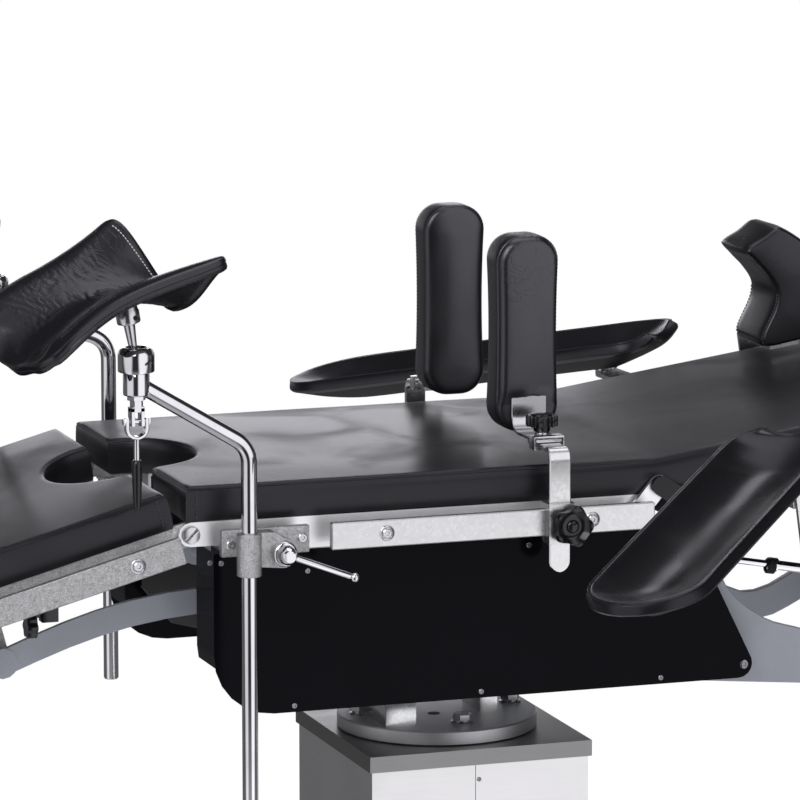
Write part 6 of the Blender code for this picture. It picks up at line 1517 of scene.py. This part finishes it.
def make_arm_rest(name, side):
    """Make an arm pad with its edge roll, its piping and its swivel stud."""
    size = (ARM_SIZE[0] - 2 * ARM_RIM, ARM_SIZE[1] - 2 * ARM_RIM, ARM_SIZE[2])
    matrix = arm_matrix(name, side) @ Matrix.Translation((-ARM_RIM, 0, 0))
    body = f"arm_pad_{name}"

    def surface(along, across):
        point = arm_point(along, across, size)
        soft = max(1 - across ** 4, 0) * max(1 - along ** 8, 0)
        wave = noise.noise(Vector((point.x * 13, point.y * 22, side * 7.0)))
        away = ((point.x - DIMPLE_X) / DIMPLE_LENGTH) ** 2
        away += ((point.y - side * DIMPLE_Y) / DIMPLE_WIDTH) ** 2
        return point + Z * soft * (ARM_WAVE * wave - DIMPLE_DEPTH * math.exp(-away))

    bm = bmesh.new()
    add_sheet(bm, *ARM_MESH, surface)
    paths = close_sheet(bm, ARM_EDGE)
    pad = piece(f"arm_cushion_{name}", bm, "smooth_vinyl", body, matrix)
    pad.data.materials.append(finish("dark_rubber"))
    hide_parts(f"arm_rest_pad_{name}")
    bm = bmesh.new()
    add_tube(bm, paths[0][PIPING_RING], settings("cushions").piping, PIPING_SIDES, closed=True)
    piece(f"arm_piping_{name}", bm, "smooth_vinyl", body, matrix)
    bm = bmesh.new()
    pivot = arm_matrix(name, side) @ Vector((-ARM_SIZE[0] * STUD_ALONG_SHARE, 0, -STUD_DROP))
    up = BACK_MATRIX.to_3x3() @ Z
    for profile in (STUD_PROFILE, disc(*STUD_PIN)):
        add_turned(bm, profile, pivot, up, ROUND_SIDES)
    piece(f"arm_stud_{name}", bm, "screw_steel", body)


# Shoulder rests

SHOULDER_OUTLINE = (
    (0.515, 0.762), (0.565, 0.762), (0.584, 0.768), (0.600, 0.800), (0.602, 0.840), (0.5976, 0.8712),
    (0.5734, 0.8998), (0.5490, 0.9155), (0.5250, 0.9070), (0.4990, 0.8945), (0.5090, 0.8770),
    (0.5221, 0.8586), (0.5331, 0.8358), (0.5290, 0.8142), (0.5084, 0.7827), (0.5060, 0.7700),
)
SHOULDER_SHIFT = 0.005
SHOULDER_HALF, SHOULDER_MIDDLE = 0.047, 0.198
SHOULDER_ROUNDING = (
    (0.0062, 0.0002), (0.0052, 0.0004), (0.0038, 0.0014), (0.0024, 0.0036), (0.0012, 0.0070),
    (0.0003, 0.0120), (0.0, 0.0200),
)
SHOULDER_WAIST_SHARE, SHOULDER_SWELL = 0.3, 0.0004
SHOULDER_STEPS, SHOULDER_JOIN, SHOULDER_WAVE = 5, 0.00002, 0.0010
SHOULDER_THREAD = (0.0007, 0.0012)
SHOULDER_SEAM_INSETS = (0.0018, 0.0038)
SHOULDER_SEAM_END = (0.54, 0.832)


def inward_ways(path):
    """Return the direction into a closed outline in X and Z at each of its points."""
    count = len(path)
    area = sum(path[k - 1].x * path[k].z - path[k].x * path[k - 1].z for k in range(count))
    ways = []
    for step in range(count):
        along = (path[(step + 1) % count] - path[step - 1]).normalized()
        ways.append(Vector((-along.z, 0, along.x)) * (1 if area > 0 else -1))
    return ways


def make_shoulder_rest(name, side):
    """Make a shoulder pad hollowed towards the shoulder, with a stitched seam."""
    path = smooth_loop([(x + SHOULDER_SHIFT, 0, z) for x, z in SHOULDER_OUTLINE], SHOULDER_STEPS)
    inward = inward_ways(path)
    middle = side * SHOULDER_MIDDLE
    rounding = [(inset, SHOULDER_HALF - drop) for inset, drop in SHOULDER_ROUNDING]
    rounding.append((-SHOULDER_SWELL, SHOULDER_HALF * SHOULDER_WAIST_SHARE))
    rounding += [(inset, -reach) for inset, reach in reversed(rounding)]
    bm = bmesh.new()
    rings = []
    for inset, reach in rounding:
        places = [point + way * inset + Y * (middle + reach) for point, way in zip(path, inward)]
        waves = [Z * SHOULDER_WAVE * noise.noise(place * 45) for place in places]
        rings.append([bm.verts.new(place + wave) for place, wave in zip(places, waves)])
    link_rings(bm, rings)
    for ring in (rings[0], rings[-1]):
        edges = [bm.edges.get((ring[k - 1], ring[k])) for k in range(len(ring))]
        bmesh.ops.triangle_fill(bm, edges=edges, use_beauty=True)
    body = f"shoulder_{name}"
    pad = piece(
        f"shoulder_cushion_{name}", bm, "creased_vinyl", body, BACK_MATRIX, SHOULDER_JOIN
    )
    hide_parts(f"shoulder_rest_{name}")
    bm = bmesh.new()
    in_plane, in_depth = SHOULDER_SEAM_INSETS
    end_x, end_z = SHOULDER_SEAM_END
    for face in (-1, 1):
        y = middle + face * (SHOULDER_HALF - in_depth)
        line = [
            point + way * in_plane + Y * y for point, way in zip(path, inward)
            if point.z < end_z and point.x < end_x + SHOULDER_SHIFT
        ]
        line.sort(key=lambda place: place.z)
        add_stitches(bm, line, *SHOULDER_THREAD)
    piece(f"shoulder_stitches_{name}", bm, "dark_thread", body, BACK_MATRIX)


# Flange on the column

FLANGE_BOLTS = ((-0.097, 0.010), (0.006, -0.077), (0.102, 0.012))
FLANGE_TOP, FLANGE_SIDES = 0.3973, 128
FLANGE_PROFILE = (
    (0, 0.3793), (0.1235, 0.3793), (0.1254, 0.3808), (0.1254, 0.3958), (0.1239, 0.3973), (0, 0.3973),
)
UPRIGHT_FOOT, UPRIGHT_SHOULDER, UPRIGHT_NECK = 0.3968, 0.424, 0.478
UPRIGHT_NECK_HALF = 0.030
EYE_RADIUS, EYE_HEIGHT = 0.026, 0.4993
UPRIGHT_ROUNDING = 0.0012
UPRIGHTS = ((-0.093, 0.041, 0.073), (0.045, 0.024, 0.034))
WASHER_PROFILE = ((0, 0), (0.0140, 0), (0.0143, 0.0014), (0.0132, 0.0020), (0, 0.002))
WASHER_SIDES, WASHER_SUNK = 40, 0.0001
COLLAR_STEP = (0.0110, 0.002, 0.0042)
BOLT_RISE, BOLT_SIZE = 0.0040, (0.0122, 0.0080)
HOLE_PLACE, HOLE_SIZE = (-0.011, -0.020, FLANGE_TOP), (0.0080, 0.0003, -0.0005)


def make_flange():
    """Make the round flange on the column with its two uprights and its bolts."""
    bm = bmesh.new()
    add_turned(bm, FLANGE_PROFILE, (0, 0, 0), Z, FLANGE_SIDES)
    flange = piece("flange_disc", bm, "flange_steel", "lift")
    bm = bmesh.new()
    standing = Matrix.Rotation(math.pi / 2, 4, "Z") @ Matrix.Rotation(math.pi / 2, 4, "X")
    for low, thickness, half in UPRIGHTS:
        right = [(half, UPRIGHT_FOOT), (half, UPRIGHT_SHOULDER), (UPRIGHT_NECK_HALF, UPRIGHT_NECK)]
        left = [(-y, z) for y, z in reversed(right)]
        outline = right + arc_points(EYE_RADIUS, 10, 170, 14, (0, EYE_HEIGHT)) + left
        add_prism(bm, outline, low, low + thickness, standing, UPRIGHT_ROUNDING)
    piece("flange_uprights", bm, "bracket_zinc", "lift")
    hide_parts("top_flange")
    bm = bmesh.new()
    for x, y in FLANGE_BOLTS:
        spot = Vector((x, y, FLANGE_TOP - WASHER_SUNK))
        for profile in (WASHER_PROFILE, disc(*COLLAR_STEP)):
            add_turned(bm, profile, spot, Z, WASHER_SIDES)
        add_hex_bolt(bm, spot + Z * BOLT_RISE, Z, *BOLT_SIZE)
    piece("flange_bolts", bm, "dark_bolt", "lift")
    bm = bmesh.new()
    add_turned(bm, disc(*HOLE_SIZE), HOLE_PLACE, Z, SCREW_SIDES)
    piece("flange_hole", bm, "dark_rubber", "lift")


# Screws and small fittings

LINK_SCREW_STEP = Vector((-0.2414, 0, -0.101))
SLOTTED_HEIGHT, SLOT_TURN, SCREW_LIFT = 0.0022, 0.75, 0.0002
OUTERMOST_REACH = 0.014
COVER_SIDE = 0.225
COVER_SCREWS = (
    (-0.3650, 0.6515), (-0.3510, 0.6500), (-0.243, 0.634), (-0.260, 0.470), (0.039, 0.647),
    (-0.022, 0.470), (0.212, 0.470),
)
CORNER_SCREW = (0.322, 0.479)
COVER_SCREW_SIZE, CORNER_SCREW_SIZE = (0.0034, 0.0014), (0.0056, 0.0020)
CLAMP_SCREW_SIZE, RAIL_SCREW_SIZE = (0.0058, 0.0026), (0.0060, 0.0024)
COLUMN_SCREW_SIZE = (0.0028, 0.0012)
COLUMN_SCREW_PLACE = (0.0046, -0.1445, 0.340)
RAIL_SIDE, RAIL_HEIGHT = 0.270, 0.6825
SEAT_RAIL_SCREWS = {-1: (-0.158, 0.104), 1: (-0.158, 0.118)}
CLAMP_SCREWS = ((-0.353, 0.681), (-0.264, 0.684))
SECTION_SCREWS = (
    ("leg_section", LEG_MATRIX, (-0.471, -0.738)),
    ("back_section", BACK_MATRIX, (0.3174, 0.6772)),
)
RAIL_SCREW_RING = ((0.0066, 0), (0.0074, 0.0008), (0.0086, 0.0010), (0.0094, 0.0004), (0.0096, 0))
STRUT_START, STRUT_END = Vector((0.600, -0.0062, 0.526)), Vector((0.448, -0.0062, 0.552))
COLLAR_PROFILE = (
    (0.0064, -0.0055), (0.0090, -0.0055), (0.0099, -0.0046), (0.0099, 0.0046), (0.0090, 0.0055),
    (0.0064, 0.0055), (0.0064, -0.0055),
)
LEG_KNOB_MIDDLE = Vector((-0.557, -0.200, 0.598))
LEG_KNOB_STEP = Vector((-0.0160, 0, -0.014))
LEG_BRACKET, LEG_BRACKET_ROUNDING = ((-0.0103, -0.008, -0.009), (0.0103, 0.008, 0.022)), 0.0012
LEG_KNOB_PIN = (0.0040, 0, 0.024)
LEG_KNOB_RADIUS, LEG_KNOB_LOBE, LEG_KNOB_LOBES, LEG_KNOB_STEPS = 0.0130, 0.0014, 6, 48
LEG_KNOB_RINGS = ((0, 0.2), (0, 0.94), (0.0015, 1.0), (0.0110, 1.0), (0.0125, 0.94), (0.0125, 0.2))


def outermost(node, place, side):
    """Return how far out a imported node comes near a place, seen from the side."""
    return max(
        vert.co.y * side for vert in frame["nodes"][node].data.vertices
        if max(abs(vert.co.x - place.x), abs(vert.co.z - place.z)) < OUTERMOST_REACH
    )


def make_hinge_screws():
    """Make the slotted screws on the hinge of the leg section and on the leg link."""
    link_spot = LEG_MATRIX @ (LEG_HINGE + LINK_SCREW_STEP)
    for name, body, place, nodes, radius in (
        ("leg_hinge_screws", "frame", LEG_HINGE, ("seat_tray", "leg_tray"), 0.0102),
        ("link_screws", "leg_section", link_spot, ("leg_tray", "leg_link"), 0.0095),
    ):
        bm = bmesh.new()
        for side in (-1, 1):
            y = max(outermost(node, place, side) for node in nodes)
            spot = Vector((place.x, side * (y + SCREW_LIFT), place.z))
            add_slotted_head(bm, spot, Y * side, radius, SLOTTED_HEIGHT, SLOT_TURN)
        piece(name, bm, "screw_steel", body)


def add_rail_screw(bm, x, side):
    """Add a countersunk rail screw with a pressed ring round it."""
    place = (x, side * RAIL_SIDE, RAIL_HEIGHT)
    add_turned(bm, RAIL_SCREW_RING, place, Y * side, ROUND_SIDES)
    add_screw(bm, place, Y * side, *RAIL_SCREW_SIZE)


def make_screws():
    """Make the screws of the covers, the rails, the clamps and the column."""
    bm = bmesh.new()
    for side in (-1, 1):
        for x, z in COVER_SCREWS:
            add_screw(bm, (x, side * COVER_SIDE, z), Y * side, *COVER_SCREW_SIZE)
        x, z = CORNER_SCREW
        add_screw(bm, (x, side * COVER_SIDE, z), Y * side, *CORNER_SCREW_SIZE)
    piece("cover_screws", bm, "dark_screw", "frame")
    bm = bmesh.new()
    for side in (-1, 1):
        for x in SEAT_RAIL_SCREWS[side]:
            add_rail_screw(bm, x, side)
        for x, z in CLAMP_SCREWS:
            add_screw(bm, (x, side * RAIL_SIDE, z), Y * side, *CLAMP_SCREW_SIZE)
    piece("seat_screws", bm, "screw_steel", "frame")
    for body, matrix, places in SECTION_SCREWS:
        bm = bmesh.new()
        for side in (-1, 1):
            for x in places:
                add_rail_screw(bm, x, side)
        piece(f"{body}_screws", bm, "screw_steel", body, matrix)
    bm = bmesh.new()
    add_screw(bm, COLUMN_SCREW_PLACE, -Y, *COLUMN_SCREW_SIZE)
    piece("column_screws", bm, "dark_screw", "base")


def make_strut_collar():
    """Make the black collar at the end of the back strut's tube."""
    bm = bmesh.new()
    add_turned(bm, COLLAR_PROFILE, STRUT_END, (STRUT_END - STRUT_START).normalized(), ROUND_SIDES)
    piece("strut_collar", bm, "dark_rubber", "strut_tube")


def make_leg_knob():
    """Make the bracket and the lobed knob that hang under the near leg rail."""
    low, high = (LEG_KNOB_MIDDLE + Vector(corner) for corner in LEG_BRACKET)
    bm = bmesh.new()
    add_block(bm, low, high, LEG_BRACKET_ROUNDING)
    add_turned(bm, disc(*LEG_KNOB_PIN), LEG_KNOB_MIDDLE, -X, PIN_SIDES)
    piece("leg_knob_bracket", bm, "knob_plastic", "leg_section")
    bm = bmesh.new()
    centre = LEG_KNOB_MIDDLE + LEG_KNOB_STEP
    rings = []
    for height, share in LEG_KNOB_RINGS:
        ring = []
        for step in range(LEG_KNOB_STEPS):
            turn = 2 * math.pi * step / LEG_KNOB_STEPS
            reach = (LEG_KNOB_RADIUS + LEG_KNOB_LOBE * math.cos(LEG_KNOB_LOBES * turn)) * share
            ring.append(bm.verts.new(centre + Vector((-height, *polar(reach, turn)))))
        rings.append(ring)
    link_rings(bm, rings)
    bm.faces.new(rings[0])
    bm.faces.new(rings[-1])
    piece("leg_knob", bm, "knob_plastic", "leg_section")


# Stage

VIEW_AHEAD = (-0.326, -0.945, 0)
VIEW_RIGHT = (0.945, -0.326, 0)
VIEW_LEFT = (-0.945, 0.326, 0)
# Way, where the step starts and ends, and strength of each bright screen
SCREENS = ((VIEW_RIGHT, 0.20, 0.46, 1.12), (VIEW_LEFT, 0.24, 0.50, 0.80))
# Heights where a belt starts, is full, gets thinner and ends, and its strength
BELTS = ((-0.02, 0.12, 0.20, 0.34, 0.42), (-0.13, -0.03, 0.06, 0.13, 0.45))
OVERHEAD = (0.72, 0.92, 0.25)
BELOW_STRENGTH, LOW_REAR_STRENGTH, EVEN_STRENGTH = 0.45, 0.10, 0.03
REFLECTED_COLOUR = (0.965, 0.958, 1.0, 1)
AROUND_COLOUR = (0.965, 0.96, 1.0, 1)
LAMP_COLOUR = (0.95, 0.94, 1.0)
# Name, place, aim, width, height if it isn't square, and share of the key light's power
LAMPS = (
    ("key_lamp", (-2.4, -2.4, 3.2), (0, 0, 0.7), 2.8, None, 2.0),
    ("top_lamp", (0.4, 0.6, 4.0), (0, 0, 0.7), 2.4, None, 0.5),
    ("back_lamp", (0.42, 2.6, 1.22), (-0.1, 0, 0.74), 1.15, 0.60, 0.092),
    ("rest_lamp", (1.28, 2.3, 2.68), (0.1, -0.6, 0.7), 0.50, 0.70, 0.058),
)
FLOOR_RADIUS, FADE_START, FADE_END = 2.0, 0.95, 1.75
FLOOR_GLOW = 0.45
SENSOR_WIDTH, CLIP_END = 36, 100


def lobe(tree, value, low, high, strength):
    """Return a soft step on one part of the direction, times a strength."""
    return times(tree, ramp(tree, value, low, high), strength)


def pointing(tree, source, way):
    """Return how far the direction points a way."""
    return worked_out(tree, "VectorMath", "DOT_PRODUCT", source, way).outputs["Value"]


def belt(tree, height, start, full, thin, end, strength):
    """Return a soft level belt, full between two of its heights, times a strength."""
    fading = less(tree, 1.0, ramp(tree, height, thin, end))
    return times(tree, times(tree, ramp(tree, height, start, full), fading), strength)


def reflected_light(tree):
    """Return the strength of the world in reflections: two screens, a far belt and a dark rest."""
    source = add_node(tree, "TexCoord").outputs["Generated"]
    height = add_node(tree, "SeparateXYZ", Vector=source).outputs["Z"]
    ahead = pointing(tree, source, VIEW_AHEAD)
    right, left = (lobe(tree, pointing(tree, source, way), *steps) for way, *steps in SCREENS)
    screens = times(tree, plus(tree, right, left), ramp(tree, ahead, 0.0, 0.35))
    high_belt, low_belt = (belt(tree, height, *steps) for steps in BELTS)
    behind = times(tree, ramp(tree, ahead, -0.60, -0.85), plus(tree, high_belt, low_belt))
    level = plus(tree, plus(tree, screens, behind), lobe(tree, height, *OVERHEAD))
    below = less(tree, 1.0, ramp(tree, height, -0.90, -0.55))
    level = plus(tree, level, times(tree, below, BELOW_STRENGTH))
    low_rear = times(tree, ramp(tree, ahead, 0.10, -0.25), less(tree, 1.0, ramp(tree, height, 0.0, 0.12)))
    return plus(tree, plus(tree, level, times(tree, low_rear, LOW_REAR_STRENGTH)), EVEN_STRENGTH)


def mix_shaders(tree, factor, first, second):
    """Return a shader that goes from the first to the second by a factor socket."""
    mix = add_node(tree, "MixShader")
    for value, socket in zip((factor, first, second), mix.inputs):
        feed(tree, value, socket)
    return mix.outputs[0]


def make_world():
    """Make a white world whose reflections show bright screens and a dark rest."""
    world = bpy.data.worlds.new("studio")
    world.use_nodes = True
    tree = world.node_tree
    tree.nodes.clear()
    rays = add_node(tree, "LightPath").outputs
    around = add_node(tree, "Background", Color=REFLECTED_COLOUR, Strength=reflected_light(tree))
    plain = add_node(tree, "Background", Color=AROUND_COLOUR, Strength=settings("stage").fill)
    white = add_node(tree, "Background", Color=(1, 1, 1, 1))
    seen = worked_out(tree, "Math", "MAXIMUM", rays["Is Camera Ray"], rays["Is Transmission Ray"])
    shiny = mix_shaders(tree, rays["Is Glossy Ray"], plain.outputs[0], around.outputs[0])
    final = mix_shaders(tree, seen.outputs[0], shiny, white.outputs[0])
    add_node(tree, "OutputWorld", Surface=final)
    bpy.context.scene.world = world


def floor_finish():
    """Make the floor's pale glow, which fades out towards its rim."""
    made = bpy.data.materials.new("pale_floor")
    made.use_nodes = True
    tree = made.node_tree
    tree.nodes.clear()
    diffuse = add_node(tree, "BsdfDiffuse", Color=(0.93, 0.93, 0.93, 1)).outputs[0]
    glow = add_node(tree, "Emission", Strength=FLOOR_GLOW).outputs[0]
    both_lights = add_node(tree, "AddShader")
    tree.links.new(diffuse, both_lights.inputs[0])
    tree.links.new(glow, both_lights.inputs[1])
    away = add_node(tree, "VectorMath", operation="LENGTH", Vector=object_place(tree)).outputs["Value"]
    clear = add_node(tree, "BsdfTransparent").outputs[0]
    faded = mix_shaders(tree, ramp(tree, away, FADE_START, FADE_END), both_lights.outputs[0], clear)
    add_node(tree, "OutputMaterial", Surface=faded)
    return made


def make_floor():
    """Make a pale floor that keeps the shadow and fades into the white."""
    bm = bmesh.new()
    bmesh.ops.create_circle(bm, cap_ends=True, segments=96, radius=FLOOR_RADIUS)
    mesh = bpy.data.meshes.new("floor")
    bm.to_mesh(mesh)
    bm.free()
    mesh.materials.append(floor_finish())
    floor = bpy.data.objects.new("floor", mesh)
    bpy.context.scene.collection.objects.link(floor)
    floor.visible_glossy = False


def add_lamp(name, place, aim, wide, tall, power):
    """Add a soft lamp that looks at a point and stays out of the picture."""
    light = bpy.data.lights.new(name, "AREA")
    light.size = wide
    if tall:
        light.shape = "RECTANGLE"
        light.size_y = tall
    light.energy = power
    light.color = LAMP_COLOUR
    lamp = bpy.data.objects.new(name, light)
    bpy.context.scene.collection.objects.link(lamp)
    lamp.location = place
    lamp.rotation_euler = (Vector(place) - Vector(aim)).to_track_quat("Z", "Y").to_euler()
    lamp.visible_camera = False


def make_camera():
    """Make the camera that sees the table from where the photograph was taken."""
    stage = settings("stage")
    turn, pitch = stage.azimuth, stage.pitch
    back = Vector((math.sin(turn) * math.cos(pitch), -math.cos(turn) * math.cos(pitch), math.sin(pitch)))
    data = bpy.data.cameras.new("view")
    data.lens = stage.focal
    data.sensor_width = SENSOR_WIDTH
    data.clip_end = CLIP_END
    camera = bpy.data.objects.new("view", data)
    bpy.context.scene.collection.objects.link(camera)
    camera.location = stage.place
    camera.rotation_euler = back.to_track_quat("Z", "Y").to_euler()
    bpy.context.scene.camera = camera


# Operators, panel and registration

class TableStep:
    """Shared options of every building step."""

    bl_options = {"REGISTER", "UNDO"}


class TABLE_OT_finishes(TableStep, bpy.types.Operator):
    """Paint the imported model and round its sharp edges"""

    bl_idname = "table.finishes"
    bl_label = "Finishes"

    def execute(self, context):
        for look, names in CAD_FINISHES.items():
            for name in names:
                dress_cad_node(name, look)
        return {"FINISHED"}


class TABLE_OT_mattress(TableStep, bpy.types.Operator):
    """Make the cushions of the table top"""

    bl_idname = "table.mattress"
    bl_label = "Mattress"

    def execute(self, context):
        make_mattress()
        return {"FINISHED"}


class TABLE_OT_crutches(TableStep, bpy.types.Operator):
    """Make the knee crutches: gutters, posts, levers and clamps"""

    bl_idname = "table.crutches"
    bl_label = "Knee crutches"

    def execute(self, context):
        for name, side in SIDES:
            make_gutter(name, side)
            make_crutch_post(name, side)
            make_ball_lever(name, side)
            make_clamp_lever(name, side)
            make_crutch_clamp(name, side)
        return {"FINISHED"}


class TABLE_OT_supports(TableStep, bpy.types.Operator):
    """Make the two body supports: pads, bars, angle plates, clips and knobs"""

    bl_idname = "table.supports"
    bl_label = "Body supports"

    def execute(self, context):
        for name, side in SIDES:
            make_support_pad(name, side)
            make_support_bar(name, side)
            make_support_angle(name, side)
            make_support_clip(name, side)
            make_support_knob(name, side)
        return {"FINISHED"}


class TABLE_OT_rests(TableStep, bpy.types.Operator):
    """Make the arm rests and the shoulder rests"""

    bl_idname = "table.rests"
    bl_label = "Arm and shoulder rests"

    def execute(self, context):
        for name, side in SIDES:
            make_arm_rest(name, side)
            make_shoulder_rest(name, side)
        return {"FINISHED"}


class TABLE_OT_fittings(TableStep, bpy.types.Operator):
    """Make the flange, the screws, the strut's collar and the leg rail's knob"""

    bl_idname = "table.fittings"
    bl_label = "Fittings"

    def execute(self, context):
        make_flange()
        make_hinge_screws()
        make_screws()
        make_strut_collar()
        make_leg_knob()
        return {"FINISHED"}


class TABLE_OT_stage(TableStep, bpy.types.Operator):
    """Make the floor, the light and the camera"""

    bl_idname = "table.stage"
    bl_label = "Stage"

    def execute(self, context):
        context.scene.view_settings.view_transform = "Standard"
        make_world()
        make_floor()
        for *lamp, share in LAMPS:
            add_lamp(*lamp, settings("stage").key * share)
        make_camera()
        return {"FINISHED"}


class TABLE_PT_steps(bpy.types.Panel):
    """List the building steps in the sidebar."""

    bl_label = "Operating table"
    bl_idname = "TABLE_PT_steps"
    bl_space_type = "VIEW_3D"
    bl_region_type = "UI"
    bl_category = "Table"

    def draw(self, context):
        for step in STEPS:
            self.layout.operator(step.bl_idname)


STEPS = (
    TABLE_OT_finishes,
    TABLE_OT_mattress,
    TABLE_OT_crutches,
    TABLE_OT_supports,
    TABLE_OT_rests,
    TABLE_OT_fittings,
    TABLE_OT_stage,
)
GROUPS = {
    "table_cushions": TableCushionSettings,
    "table_metal": TableMetalSettings,
    "table_stage": TableStageSettings,
}


def register():
    """Register the settings, the steps and the panel."""
    for kind in (*GROUPS.values(), *STEPS, TABLE_PT_steps):
        bpy.utils.register_class(kind)
    for name, kind in GROUPS.items():
        setattr(bpy.types.Scene, name, PointerProperty(type=kind))


def unregister():
    """Remove everything that register added."""
    for name in GROUPS:
        delattr(bpy.types.Scene, name)
    for kind in (TABLE_PT_steps, *reversed(STEPS), *GROUPS.values()):
        bpy.utils.unregister_class(kind)


def main():
    """Build the whole scene."""
    register()
    bpy.ops.table.finishes()
    bpy.ops.table.mattress()
    bpy.ops.table.crutches()
    bpy.ops.table.supports()
    bpy.ops.table.rests()
    bpy.ops.table.fittings()
    bpy.ops.table.stage()
    bpy.context.view_layer.update()


if __name__ == "__main__":
    main()
